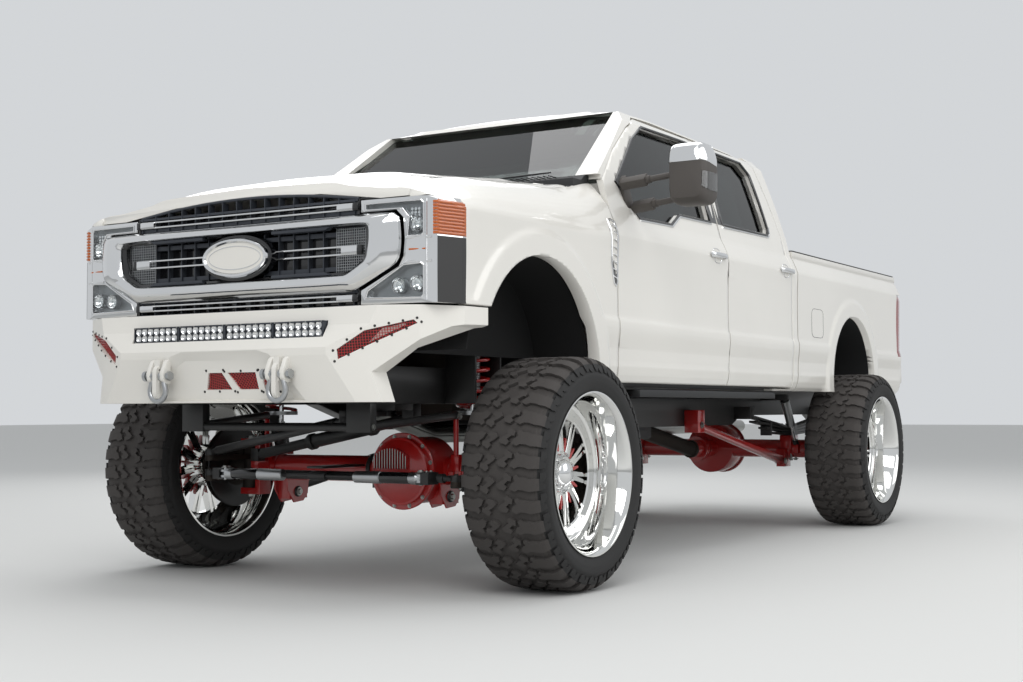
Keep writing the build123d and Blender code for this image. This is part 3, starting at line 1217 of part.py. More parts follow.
with BuildPart() as tie_rod:
    ends = [(side * KINGPIN_X, -STEER_ARM, TIE_ROD_Z) for side in SIDES]
    rod(ends[0], ends[1], TIE_ROD_RADIUS - 7)
    rod((KINGPIN_X - 60, -STEER_ARM, TIE_ROD_Z), (60 - KINGPIN_X, -STEER_ARM, TIE_ROD_Z), TIE_ROD_RADIUS)
    for end in ends:
        rod_eye(*end)
        eye_hole(*end)
    for side in SIDES:
        clamp = sorted((side * DAMPER_OUTER_X, side * (DAMPER_OUTER_X + 40)))
        block(clamp, (DAMPER_STATION - DAMPER_RADIUS, -STEER_ARM), (TIE_ROD_Z - 26, TIE_ROD_Z + 26))
save(tie_rod, "tie_rod")

with BuildPart() as steering_dampers:
    for side in SIDES:
        rod((side * DAMPER_INNER_X, DAMPER_STATION, TIE_ROD_Z),
            (side * (DAMPER_OUTER_X - 20), DAMPER_STATION, TIE_ROD_Z),
            DAMPER_RADIUS)
        rod((side * (DAMPER_OUTER_X - 20), DAMPER_STATION, TIE_ROD_Z),
            (side * DAMPER_OUTER_X, DAMPER_STATION, TIE_ROD_Z),
            DAMPER_RADIUS - 10)
        rod((side * DAMPER_INNER_X, DAMPER_STATION, TIE_ROD_Z),
            (side * DAMPER_BORE_X, DAMPER_STATION, TIE_ROD_Z),
            DAMPER_ROD_RADIUS + RUNNING_CLEARANCE, mode=Mode.SUBTRACT)
save(steering_dampers, "steering_dampers")

with BuildPart() as damper_rods:
    for side in SIDES:
        rod((side * DAMPER_EYE_X, DAMPER_STATION, TIE_ROD_Z),
            (side * DAMPER_ROD_END_X, DAMPER_STATION, TIE_ROD_Z),
            DAMPER_ROD_RADIUS)
    rod((-DAMPER_EYE_X, DAMPER_STATION, TIE_ROD_Z), (DAMPER_EYE_X, DAMPER_STATION, TIE_ROD_Z),
        DAMPER_EYE_RADIUS)
save(damper_rods, "damper_rods")

with BuildPart() as drag_link:
    knuckle_end = (-KINGPIN_X, -STEER_ARM, DRAG_KNUCKLE_Z)
    pitman_end = (PITMAN_X, PITMAN_STATION - STEER_ARM, PITMAN_Z)
    rod(knuckle_end, pitman_end, TIE_ROD_RADIUS - 7)
    sleeve = [[a + share * (b - a) for a, b in zip(knuckle_end, pitman_end)] for share in DRAG_SLEEVE]
    rod(sleeve[0], sleeve[1], TIE_ROD_RADIUS)
    for end in (knuckle_end, pitman_end):
        rod_eye(*end)
        eye_hole(*end)
save(drag_link, "drag_link")

with BuildPart() as pitman_arm:
    low = PITMAN_Z + ROD_EYE_HEIGHT / 2 + SEAT_CLEARANCE
    high = low + ARM_THICKNESS
    block((PITMAN_X - 22, PITMAN_X + 22), (PITMAN_STATION - STEER_ARM, PITMAN_STATION), (low, high))
    rod((PITMAN_X, PITMAN_STATION - STEER_ARM, PITMAN_Z - ROD_EYE_HEIGHT / 2 - 6),
        (PITMAN_X, PITMAN_STATION - STEER_ARM, high), ROD_EYE_PIN)
    rod((PITMAN_X, PITMAN_STATION - STEER_ARM, low), (PITMAN_X, PITMAN_STATION - STEER_ARM, high), 24)
    rod((PITMAN_X, PITMAN_STATION, low), (PITMAN_X, PITMAN_STATION, high + SEAT_CLEARANCE), 30)
    rod((PITMAN_X, PITMAN_STATION, low), (PITMAN_X, PITMAN_STATION, high + SECTOR_GRIP), SECTOR_RADIUS)
save(pitman_arm, "pitman_arm")

# Brackets: the coilovers' towers, the steering box and the dampers' bracket on the axle

with BuildPart() as frame_brackets:
    low = PITMAN_Z + ROD_EYE_HEIGHT / 2 + 2 * SEAT_CLEARANCE + ARM_THICKNESS
    block((PITMAN_X - 30, RAIL_INNER_X), (PITMAN_STATION - 60, PITMAN_STATION + 80), (low, low + 120))
    rod((PITMAN_X, PITMAN_STATION, low - 1), (PITMAN_X, PITMAN_STATION, low + SECTOR_GRIP + 2),
        SECTOR_RADIUS + RUNNING_CLEARANCE, mode=Mode.SUBTRACT)
    block((-DAMPER_BRACKET_HALF, DAMPER_BRACKET_HALF),
          (DAMPER_STATION - 30, -AXLE_TUBE_RADIUS - SEAT_CLEARANCE), DAMPER_BRACKET_Z)
    for side in SIDES:
        plate = sorted((side * RAIL_OUTER_X, side * APRON_X))
        block(plate, (COILOVER_STATION - TOWER_HALF, COILOVER_STATION + TOWER_HALF),
              (COILOVER_TOP_Z, COILOVER_TOP_Z + 14))
        for end in (-1, 1):
            station = COILOVER_STATION + end * TOWER_HALF
            wall = sorted((station, station - end * 12))
            block(plate, wall, (RAIL_FRONT_BOTTOM_Z, COILOVER_TOP_Z))
save(frame_brackets, "frame_brackets")

# Suspension

with BuildPart() as front_links:
    for side in SIDES:
        arm_front = (side * RADIUS_ARM_X, RADIUS_ARM_FRONT + 10, RADIUS_ARM_FRONT_Z)
        rod((side * RADIUS_ARM_X, RADIUS_ARM_FRONT, RADIUS_ARM_FRONT_Z), arm_front, RADIUS_ARM_RADIUS)
        rod(arm_front, (side * RADIUS_ARM_X, RADIUS_ARM_REAR, RADIUS_ARM_REAR_Z), RADIUS_ARM_RADIUS)
        hanger = sorted((side * (RADIUS_ARM_X - 25), side * (RADIUS_ARM_X + 25)))
        block(hanger, (RADIUS_ARM_REAR - 50, RADIUS_ARM_REAR + 50), (RADIUS_ARM_REAR_Z - 40, RAIL_BOTTOM_Z))
        bar_end = (side * SWAY_X, SWAY_STATION, SWAY_Z)
        arm_end = (side * SWAY_ARM_X, SWAY_ARM_END, SWAY_ARM_Z)
        rod((0, SWAY_STATION, SWAY_Z), bar_end, SWAY_RADIUS)
        rod(bar_end, arm_end, SWAY_RADIUS)
        hanger = sorted((side * RAIL_INNER_X, side * (SWAY_X + SWAY_RADIUS)))
        block(hanger, (SWAY_STATION - 22, SWAY_STATION + 22), (SWAY_Z - 22, RAIL_FRONT_BOTTOM_Z))
    rod(TRAC_AXLE, TRAC_FRAME, TRAC_RADIUS)
    block((TRAC_AXLE[0] - 22, TRAC_AXLE[0] + 22), (TRAC_AXLE[1] - 25, TRAC_AXLE[1] + 25),
          (TRAC_AXLE[2] - 30, TRAC_AXLE[2] + 30))
    block((TRAC_FRAME[0] - 30, RAIL_INNER_X), (TRAC_FRAME[1] - 30, TRAC_FRAME[1] + 30),
          (TRAC_FRAME[2] - 35, RAIL_FRONT_BOTTOM_Z + RAIL_WEB))
save(front_links, "front_links")

with BuildPart() as coil_springs:
    for side in SIDES:
        foot = (side * COILOVER_X, COILOVER_STATION, SPRING_BOTTOM_Z)
        head = (side * COILOVER_X, COILOVER_STATION, SPRING_TOP_Z)
        rod(foot, head, SPRING_RADIUS)
        rod(foot, head, SPRING_RADIUS - SPRING_WIRE, mode=Mode.SUBTRACT)
save(coil_springs, "coil_springs")

with BuildPart() as shocks:
    for side in SIDES:
        centre = (side * COILOVER_X, COILOVER_STATION)
        rod((*centre, COILOVER_BOTTOM_Z), (*centre, COILOVER_TOP_Z), SHOCK_RADIUS)
        rod((*centre, SPRING_BOTTOM_Z - 10), (*centre, SPRING_BOTTOM_Z), SPRING_RADIUS)
        rod((*centre, SPRING_TOP_Z), (*centre, SPRING_TOP_Z + 10), SPRING_RADIUS)
    foot = (REAR_SHOCK_X, WHEELBASE - REAR_SHOCK_AHEAD, AXLE_Z + 30)
    head = (REAR_SHOCK_X, REAR_SHOCK_TOP, REAR_SHOCK_TOP_Z)
    start = [a + SHOCK_START * (b - a) for a, b in zip(foot, head)]
    for side in SIDES:
        rod((side * foot[0], *foot[1:]), (side * foot[0], foot[1], start[2]), REAR_SHOCK_STUD)
        rod((side * start[0], *start[1:]), (side * head[0], *head[1:]), REAR_SHOCK_RADIUS)
        mount = sorted((side * RAIL_OUTER_X, side * (REAR_SHOCK_X + 30)))
        block(mount, (REAR_SHOCK_TOP - 35, REAR_SHOCK_TOP + 35),
              (REAR_SHOCK_TOP_Z - 25, REAR_SHOCK_TOP_Z + 20))
save(shocks, "shocks")

with BuildPart() as leaf_springs:
    for side in SIDES:
        x = sorted((side * (LEAF_X - LEAF_WIDTH / 2), side * (LEAF_X + LEAF_WIDTH / 2)))
        for row, half in enumerate(LEAF_HALF_LENGTHS):
            low = LEAF_SEAT_Z + row * LEAF_THICKNESS
            ends = low + LEAF_RISE * (half / LEAF_HALF_LENGTHS[-1]) ** 2
            side_prism([(WHEELBASE - half, ends), (WHEELBASE, low), (WHEELBASE + half, ends),
                        (WHEELBASE + half, ends + LEAF_THICKNESS), (WHEELBASE, low + LEAF_THICKNESS),
                        (WHEELBASE - half, ends + LEAF_THICKNESS)], x[0], x[1])
        stack = LEAF_SEAT_Z + len(LEAF_HALF_LENGTHS) * LEAF_THICKNESS
        block(sorted((side * (LEAF_X - 40), side * (LEAF_X + 40))), (WHEELBASE - 60, WHEELBASE + 60),
              (LEAF_SEAT_Z, stack + LEAF_THICKNESS))
        top = stack + LEAF_RISE
        hanger = sorted((side * RAIL_OUTER_X, side * (LEAF_X + LEAF_WIDTH / 2)))
        for end in (-1, 1):
            station = WHEELBASE + end * (LEAF_HALF_LENGTHS[-1] - 15)
            block(hanger, (station - 30, station + 30), (top - 30, top + 50))
save(leaf_springs, "leaf_springs")

with BuildPart() as traction_bars:
    for side in SIDES:
        rear_end = (side * TRACTION_X, TRACTION_REAR, TRACTION_REAR_Z)
        turn = (side * TRACTION_X, TRACTION_REAR - 10, TRACTION_REAR_Z)
        rod(rear_end, turn, TRACTION_RADIUS)
        rod(turn, (side * TRACTION_X, TRACTION_FRONT, TRACTION_FRONT_Z), TRACTION_RADIUS)
        bracket = sorted((side * RAIL_OUTER_X, side * (TRACTION_X + 30)))
        block(bracket, (TRACTION_FRONT - 50, TRACTION_FRONT + 50),
              (TRACTION_FRONT_Z - 45, TRACTION_FRONT_Z + 90))
save(traction_bars, "traction_bars")

# Engine, gearbox, shafts, tank and exhaust

with BuildPart() as powertrain:
    block((-ENGINE_HALF, ENGINE_HALF), ENGINE_SPAN, ENGINE_Z)
    block((-GEARBOX_HALF, GEARBOX_HALF), (ENGINE_SPAN[1], GEARBOX_END), GEARBOX_Z)
    block((-GEARBOX_HALF, TRANSFER_X + 80), (GEARBOX_END, TRANSFER_END), (GEARBOX_Z[0], GEARBOX_Z[1] - 20))
    for side in SIDES:
        x = sorted((side * ENGINE_HALF, side * (RAIL_OUTER_X - RAIL_WEB)))
        block(x, ENGINE_MOUNT_SPAN, ENGINE_MOUNT_Z)
    rod((0, TRANSFER_END, SHAFT_Z), (0, CENTRE_BEARING, SHAFT_Z), SHAFT_RADIUS)
    bearing_low = SHAFT_Z - SHAFT_RADIUS - 15
    block((-SHAFT_RADIUS - 15, SHAFT_RADIUS + 15), (CENTRE_BEARING - 20, CENTRE_BEARING + 20),
          (bearing_low, BEARING_TOP_Z))
    pinion_face = WHEELBASE - REAR_PINION
    rod((0, CENTRE_BEARING, SHAFT_Z), (0, pinion_face - SHAFT_FLANGE, AXLE_Z), SHAFT_RADIUS)
    rod((0, pinion_face - SHAFT_FLANGE - 8, AXLE_Z), (0, pinion_face, AXLE_Z), PINION_RADIUS)
    rod((TRANSFER_X, GEARBOX_END, FRONT_SHAFT_Z), (FRONT_DIFF_X, PINION_END + SHAFT_FLANGE, AXLE_Z),
        FRONT_SHAFT_RADIUS)
    rod((FRONT_DIFF_X, PINION_END, AXLE_Z), (FRONT_DIFF_X, PINION_END + SHAFT_FLANGE + 8, AXLE_Z),
        PINION_RADIUS)
save(powertrain, "powertrain")

with BuildPart() as fuel_tank:
    block((TANK_INNER_X, RAIL_INNER_X), TANK_SPAN, TANK_Z)
save(fuel_tank, "fuel_tank")

with BuildPart() as exhaust:
    bend = (EXHAUST_X, EXHAUST_TURN, EXHAUST_Z)
    outlet = (EXHAUST_X + EXHAUST_RADIUS, ENGINE_SPAN[1] - 100)
    rod((*outlet, ENGINE_Z[0]), (*outlet, ENGINE_Z[0] - EXHAUST_DROP), EXHAUST_RADIUS)
    rod((*outlet, ENGINE_Z[0] - EXHAUST_DROP), bend, EXHAUST_RADIUS)
    rod(bend, (EXHAUST_X, EXHAUST_END, EXHAUST_Z), EXHAUST_RADIUS)
    block((EXHAUST_X - 120, EXHAUST_X + 90), MUFFLER_SPAN, (EXHAUST_Z - 75, EXHAUST_Z + 75))
save(exhaust, "exhaust")

# Side steps, stowed under the sills

with BuildPart() as side_steps:
    for side in SIDES:
        x = sorted((side * STEP_X[0], side * STEP_X[1]))
        block(x, STEP_SPAN, STEP_Z)
        for station in STEP_BRACKETS:
            arm = sorted((side * RAIL_OUTER_X, side * STEP_X[0]))
            block(arm, (station - 25, station + 25), STEP_Z)
save(side_steps, "side_steps")

# Cabin: seats, and the dashboard with its steering wheel

SEAT_X = (130, 660)
BENCH_X = 720
# Stations and heights of each seat's cushion and backrest
FRONT_SEAT = [((1400, 1900), (FLOOR_TOP_Z, 1330)), ((1840, 1980), (1330, 1960))]
REAR_SEAT = [((2430, 2900), (FLOOR_TOP_Z, 1350)), ((2780, 2900), (1350, 1950))]
with BuildPart() as seats:
    for side in SIDES:
        for stations, heights in FRONT_SEAT:
            block(sorted(side * x for x in SEAT_X), stations, heights)
    for stations, heights in REAR_SEAT:
        block((-BENCH_X, BENCH_X), stations, heights)
save(seats, "seats")

DASH_HALF = 830
DASH_REAR = 1000
DASH_Z = (1400, 1700)
COLUMN_FOOT = (400, DASH_REAR - 20, 1540)
COLUMN_HEAD = (400, 1180, 1600)
COLUMN_RADIUS = 35
STEERING_WHEEL_RADIUS = 195
STEERING_WHEEL_RIM = 25
with BuildPart() as dashboard:
    block((-DASH_HALF, DASH_HALF), (CAB_FRONT + CAB_WALL, DASH_REAR), DASH_Z)
    rod(COLUMN_FOOT, COLUMN_HEAD, COLUMN_RADIUS)
    hub = Vector(COLUMN_HEAD[0], aft(COLUMN_HEAD[1]), COLUMN_HEAD[2])
    lean = hub - Vector(COLUMN_FOOT[0], aft(COLUMN_FOOT[1]), COLUMN_FOOT[2])
    with BuildSketch(Plane(origin=hub, x_dir=(1, 0, 0), z_dir=lean)) as rim:
        Circle(STEERING_WHEEL_RADIUS)
        Circle(STEERING_WHEEL_RADIUS - STEERING_WHEEL_RIM, mode=Mode.SUBTRACT)
        Rectangle(2 * STEERING_WHEEL_RADIUS - STEERING_WHEEL_RIM, 2 * STEERING_WHEEL_RIM)
    extrude(rim.sketch, amount=STEERING_WHEEL_RIM / 2, both=True)
save(dashboard, "dashboard")
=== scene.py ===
"""Finished look of a lifted crew-cab pickup truck, built over its CAD solids.

Sizes are in millimetres: X to the truck's left, stations behind the front axle, heights above the floor.
"""

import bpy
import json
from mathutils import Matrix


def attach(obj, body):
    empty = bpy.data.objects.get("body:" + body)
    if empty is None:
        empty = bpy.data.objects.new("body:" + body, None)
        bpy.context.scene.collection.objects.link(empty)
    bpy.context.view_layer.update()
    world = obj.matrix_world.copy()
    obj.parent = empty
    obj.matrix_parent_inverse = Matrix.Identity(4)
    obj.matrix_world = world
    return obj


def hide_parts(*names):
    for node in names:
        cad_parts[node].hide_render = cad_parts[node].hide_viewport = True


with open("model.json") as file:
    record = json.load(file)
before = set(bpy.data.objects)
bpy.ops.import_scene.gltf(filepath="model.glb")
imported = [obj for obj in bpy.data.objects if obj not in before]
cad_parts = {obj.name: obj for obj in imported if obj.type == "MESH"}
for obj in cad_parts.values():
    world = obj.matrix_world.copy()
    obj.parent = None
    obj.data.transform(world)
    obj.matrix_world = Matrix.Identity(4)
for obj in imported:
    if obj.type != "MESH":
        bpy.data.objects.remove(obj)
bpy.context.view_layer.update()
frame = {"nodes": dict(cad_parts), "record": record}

import functools
import json
import math

import bmesh
import bpy
from mathutils import Matrix, Vector
from mathutils.bvhtree import BVHTree

bl_info = {
    "name": "Lifted pickup truck",
    "version": (1, 0, 0),
    "blender": (4, 5, 0),
    "location": "3D View > Sidebar > Truck",
    "description": "Builds the truck's visible pieces over its CAD solids",
    "category": "Object",
}

MM = 0.001
MIDDLE = 2172.5
WHEELBASE = 4059
AXLE_Z = 500
WHEEL_X = 1026
SIDES = (("left", 1), ("right", -1))


def at(x, station, z):
    """A point given in millimetres, as X, station and height."""
    return Vector((x, station - MIDDLE, z)) * MM


def blend(low, high, value):
    """0 below low, 1 above high and a smooth rise between them."""
    share = min(max((value - low) / (high - low), 0), 1)
    return share * share * (3 - 2 * share)


def along(table, value):
    """Reads a table of (place, amount) rows, with straight lines between them."""
    for (a, low), (b, high) in zip(table, table[1:]):
        if value <= b:
            return low + (high - low) * max(value - a, 0) / (b - a)
    return table[-1][1]


# Shapes in a bmesh


def block(bm, x, stations, z):
    """A block between two X, two stations and two heights."""
    low, high = at(x[0], stations[0], z[0]), at(x[1], stations[1], z[1])
    made = bmesh.ops.create_cube(bm, size=1)["verts"]
    bmesh.ops.scale(bm, vec=high - low, verts=made)
    bmesh.ops.translate(bm, vec=(low + high) / 2, verts=made)


def sided(sign, *x):
    """Two X given for the left, in order, on the left or mirrored to the right."""
    return sorted(sign * value for value in x)


def rod(bm, start, end, radius, end_radius=None, sides=24):
    """A round bar between two points, in metres, with its radii in millimetres."""
    axis = end - start
    place = Matrix.Translation((start + end) / 2) @ axis.to_track_quat("Z", "Y").to_matrix().to_4x4()
    far = radius if end_radius is None else end_radius
    bmesh.ops.create_cone(bm, cap_ends=True, segments=sides, radius1=radius * MM, radius2=far * MM,
                          depth=axis.length, matrix=place)


def plate(bm, outline, push):
    """A flat outline of points pushed out by a vector. Returns its corners."""
    face = bm.faces.new([bm.verts.new(point) for point in outline])
    made = bmesh.ops.extrude_face_region(bm, geom=[face])["geom"]
    moved = [part for part in made if isinstance(part, bmesh.types.BMVert)]
    bmesh.ops.translate(bm, vec=push, verts=moved)
    return list(face.verts) + moved


def spin(bm, profile, centre, axis, steps=96, closed=False):
    """A profile of (distance along the axis, radius) rows, in millimetres, spun round an axis."""
    side = axis.orthogonal().normalized()
    verts = [bm.verts.new(centre + axis * far * MM + side * radius * MM) for far, radius in profile]
    edges = [bm.edges.new(pair) for pair in zip(verts, verts[1:])]
    if closed:
        edges.append(bm.edges.new((verts[-1], verts[0])))
    bmesh.ops.spin(bm, geom=verts + edges, cent=centre, axis=axis, angle=math.tau, steps=steps,
                   use_merge=True)


def wires(bm, paths, radius, fineness=2, cyclic=False):
    """Round bars along paths of points, in metres, from a bevelled curve."""
    curve = bpy.data.curves.new("wires", "CURVE")
    curve.dimensions = "3D"
    curve.bevel_depth = radius * MM
    curve.bevel_resolution = fineness
    curve.use_fill_caps = not cyclic
    for path in paths:
        spline = curve.splines.new("POLY")
        spline.points.add(len(path) - 1)
        for point, place in zip(spline.points, path):
            point.co = (*place, 1)
        spline.use_cyclic_u = cyclic
    holder = bpy.data.objects.new("wires", curve)
    mesh = bpy.data.meshes.new_from_object(holder)
    bm.from_mesh(mesh)
    bpy.data.objects.remove(holder)
    bpy.data.curves.remove(curve)
    bpy.data.meshes.remove(mesh)


def bolt(bm, place, way, radius, height=6):
    """A hexagon bolt head on a washer, standing out along a direction."""
    way = way.normalized()
    rod(bm, place - way * MM, place + way * height * 0.3 * MM, radius * 1.45, sides=20)
    rod(bm, place, place + way * height * MM, radius, radius * 0.92, sides=6)


def whole(bm):
    """Everything in a bmesh."""
    return bm.verts[:] + bm.edges[:] + bm.faces[:]


def mirrored(bm):
    """Copies everything to the truck's other side."""
    bmesh.ops.mirror(bm, geom=whole(bm), axis="X", merge_dist=-1)


def soft_edges(bm, width, segments=2, angle=35):
    """Rounds the edges sharper than an angle."""
    bm.normal_update()
    sharp = [edge for edge in bm.edges
             if len(edge.link_faces) == 2 and edge.calc_face_angle() > math.radians(angle)]
    bmesh.ops.bevel(bm, geom=sharp, offset=width * MM, segments=segments, profile=0.5, affect="EDGES",
                    clamp_overlap=True, material=-1)


def cad(name):
    """The merged mesh of a CAD node."""
    bm = bmesh.new()
    bm.from_mesh(frame["nodes"][name].data)
    bmesh.ops.remove_doubles(bm, verts=bm.verts, dist=1e-5)
    bmesh.ops.dissolve_limit(bm, angle_limit=math.radians(0.4), verts=bm.verts, edges=bm.edges)
    return bm


def cut_lines(bm, x=(), stations=(), z=()):
    """Divides the faces along planes, so that they can follow a curved surface."""
    planes = [(at(value, 0, 0), (1, 0, 0)) for value in x]
    planes += [(at(0, value, 0), (0, 1, 0)) for value in stations]
    planes += [(at(0, 0, value), (0, 0, 1)) for value in z]
    for place, normal in planes:
        bmesh.ops.bisect_plane(bm, geom=whole(bm), dist=1e-6, plane_co=place, plane_no=normal)


def steps(start, end, count):
    """Evenly spaced values, both ends included."""
    return [start + (end - start) * step / count for step in range(count + 1)]


def piece(bm, name, body, slot, finish, replaces=(), angle=32, recalculate=True):
    """Makes a finished object from a bmesh and puts it on its CAD body."""
    if recalculate:
        bmesh.ops.recalc_face_normals(bm, faces=bm.faces)
    mesh = bpy.data.meshes.new(name)
    bm.to_mesh(mesh)
    bm.free()
    mesh.polygons.foreach_set("use_smooth", [True] * len(mesh.polygons))
    mesh.set_sharp_from_angle(angle=math.radians(angle))
    mesh.materials.append(bpy.data.materials[finish])
    made = bpy.data.objects.new(name, mesh)
    bpy.context.scene.collection.objects.link(made)
    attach(made, body)
    if replaces:
        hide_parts(*replaces)
    return made


def softened(name, slot, finish, width):
    """Makes a finished piece of a CAD node by rounding its hard edges."""
    bm = cad(name)
    soft_edges(bm, width)
    piece(bm, name + "_finish", BODY_OF[name], slot, finish, [name], recalculate=False)


def carve(target, cutter):
    """Cuts a bmesh's shape out of an object's mesh."""
    bmesh.ops.recalc_face_normals(cutter, faces=cutter.faces)
    mesh = bpy.data.meshes.new("cutter")
    cutter.to_mesh(mesh)
    cutter.free()
    tool = bpy.data.objects.new("cutter", mesh)
    bpy.context.scene.collection.objects.link(tool)
    change = target.modifiers.new("carve", "BOOLEAN")
    change.operation = "DIFFERENCE"
    change.solver = "EXACT"
    change.object = tool
    graph = bpy.context.evaluated_depsgraph_get()
    result = bpy.data.meshes.new_from_object(target.evaluated_get(graph))
    target.modifiers.remove(change)
    old = target.data
    target.data = result
    result.name = old.name
    bpy.data.meshes.remove(old)
    bpy.data.objects.remove(tool)
    bpy.data.meshes.remove(mesh)
    result.set_sharp_from_angle(angle=math.radians(32))


BODY_OF = {node: body for body, nodes in frame["record"]["behaviour"]["bodies"].items() for node in nodes}
NODE_SLOTS = {row["node"]: row["material_slot"] for row in frame["record"]["subparts"]}


# Finishes


def linear(code):
    """An sRGB colour written in hex as linear values."""
    parts = [int(code[start:start + 2], 16) / 255 for start in (0, 2, 4)]
    return tuple(part / 12.92 if part <= 0.04045 else ((part + 0.055) / 1.055) ** 2.4
                 for part in parts) + (1.0,)


def node(tree, kind, settings=(), links=()):
    """Adds a shader node, sets its inputs or properties and links its inputs."""
    made = tree.nodes.new(kind)
    for name, value in dict(settings).items():
        if isinstance(name, int) or name in made.inputs:
            made.inputs[name].default_value = value
        else:
            setattr(made, name, value)
    for name, source in dict(links).items():
        tree.links.new(source, made.inputs[name])
    return made


def finish(name, dark, light, rough, size, bump, metallic, extra):
    """A finish whose colour, roughness and surface vary over a size in millimetres."""
    made = bpy.data.materials.new(name)
    made.use_nodes = True
    tree = made.node_tree
    shader = tree.nodes["Principled BSDF"]
    place = node(tree, "ShaderNodeTexCoord").outputs["Object"]
    pattern = node(tree, "ShaderNodeTexNoise", {"Scale": 1000 / size, "Detail": 4.0}, {"Vector": place})
    wear = node(tree, "ShaderNodeTexNoise", {"Scale": WEAR_SCALE, "Detail": 3.0}, {"Vector": place})
    colour = node(tree, "ShaderNodeMix", {"data_type": "RGBA"})
    colour.inputs[6].default_value = dark
    colour.inputs[7].default_value = light
    tree.links.new(wear.outputs["Fac"], colour.inputs[0])
    tree.links.new(colour.outputs[2], shader.inputs["Base Color"])
    spread = node(tree, "ShaderNodeMapRange", {"To Min": rough[0], "To Max": rough[1]},
                  {"Value": pattern.outputs["Fac"]})
    tree.links.new(spread.outputs["Result"], shader.inputs["Roughness"])
    shader.inputs["Metallic"].default_value = metallic
    for socket, value in extra.items():
        shader.inputs[socket].default_value = value
    if bump:
        relief = node(tree, "ShaderNodeBump", {"Strength": 1.0, "Distance": bump * MM},
                      {"Height": pattern.outputs["Fac"]})
        tree.links.new(relief.outputs["Normal"], shader.inputs["Normal"])


# Scale of the slow change between a finish's two colours, in patches of about 590 mm
WEAR_SCALE = 1.7
LACQUER = {"Coat Weight": 0.9, "Coat Roughness": 0.04}
GLASS = {"Transmission Weight": 1.0, "IOR": 1.45}
FINISHES = [
    # name, darker colour, lighter colour, roughness, size of the pattern, depth of the relief, metallic, more
    # Warm pearl-white car paint under lacquer
    ("pearl white paint", "DAD6CE", "E4E1DA", (0.34, 0.42), 3, 0.0, 0.0, LACQUER),
    # White powder coat on the steel bumper
    ("white powder coat", "D5D1C8", "E0DDD5", (0.42, 0.55), 1.2, 0.03, 0.0,
     {"Coat Weight": 0.25, "Coat Roughness": 0.3}),
    # Gloss red powder coat
    ("red powder coat", "7A0A0C", "98100F", (0.25, 0.4), 2, 0.03, 0.0,
     {"Coat Weight": 0.8, "Coat Roughness": 0.1}),
    # Satin black chassis paint with a little dust
    ("satin black paint", "101011", "1D1C1B", (0.4, 0.6), 4, 0.05, 0.0,
     {"Coat Weight": 0.2, "Coat Roughness": 0.3}),
    # Black carpet-like wheel liner
    ("black liner", "070708", "0F0F0F", (0.85, 0.95), 2, 0.3, 0.0, {}),
    # Bright chrome plate
    ("bright chrome", "D8D9DA", "ECECEC", (0.05, 0.1), 40, 0.0, 1.0, {}),
    # Moulded black plastic with a fine grain
    ("grained black plastic", "161718", "222324", (0.5, 0.65), 1.5, 0.08, 0.0, {}),
    # Gloss black plastic
    ("gloss black plastic", "08080A", "121214", (0.12, 0.2), 5, 0.0, 0.0, {"Coat Weight": 0.5}),
    # Dark metallic grille plastic
    ("graphite plastic", "33363C", "42464D", (0.3, 0.4), 2, 0.02, 0.35, {}),
    # Tinted car glass
    ("tinted glass", "2A302F", "343B3A", (0.0, 0.01), 50, 0.0, 0.0, GLASS),
    # Lightly tinted windscreen glass
    ("windscreen glass", "8C9894", "98A4A0", (0.0, 0.01), 50, 0.0, 0.0, GLASS),
    # Clear polycarbonate lens
    ("clear lens", "F2F5F6", "FAFCFC", (0.0, 0.02), 50, 0.0, 0.0, GLASS),
    # Red lens plastic
    ("red lens", "8A0607", "A00A0A", (0.05, 0.1), 30, 0.0, 0.0,
     {"Transmission Weight": 0.35, "Coat Weight": 1.0}),
    # Amber lens plastic
    ("amber lens", "C25A08", "D86F12", (0.08, 0.15), 30, 0.0, 0.0,
     {"Transmission Weight": 0.3, "Coat Weight": 1.0}),
    # Tyre rubber with a little dust
    ("tyre rubber", "141414", "201F1F", (0.6, 0.85), 2.5, 0.12, 0.0, {}),
    # Tread rubber with grey road dust
    ("dusty tread rubber", "34312F", "474341", (0.75, 0.95), 2.5, 0.15, 0.0, {}),
    # Weathered grey-brown grained plastic
    ("weathered plastic", "3B3734", "4C4743", (0.5, 0.65), 1.5, 0.08, 0.0, {}),
    # Smoked aluminium reflector behind a clear cover
    ("smoked aluminium", "8A8D90", "A5A8AA", (0.3, 0.4), 8, 0.02, 0.8, {}),
    # Polished aluminium
    ("polished aluminium", "DADAD8", "F0F0EE", (0.03, 0.08), 60, 0.0, 1.0, {}),
    # Clear anodised aluminium
    ("anodised aluminium", "A9ABAD", "BDBFC0", (0.28, 0.36), 3, 0.01, 1.0, {}),
    # Zinc-plated steel
    ("zinc plated steel", "8E8F8C", "A7A8A4", (0.25, 0.4), 3, 0.02, 1.0, {}),
    # Cast iron with a thin brown bloom
    ("cast iron", "2E2B29", "463F39", (0.5, 0.75), 2, 0.15, 0.8, {}),
    # Charcoal seat leather
    ("charcoal leather", "1F2022", "2C2D30", (0.5, 0.65), 4, 0.25, 0.0, {}),
    # Grained trim plastic
    ("grey trim plastic", "26272A", "323338", (0.55, 0.7), 2, 0.1, 0.0, {}),
]
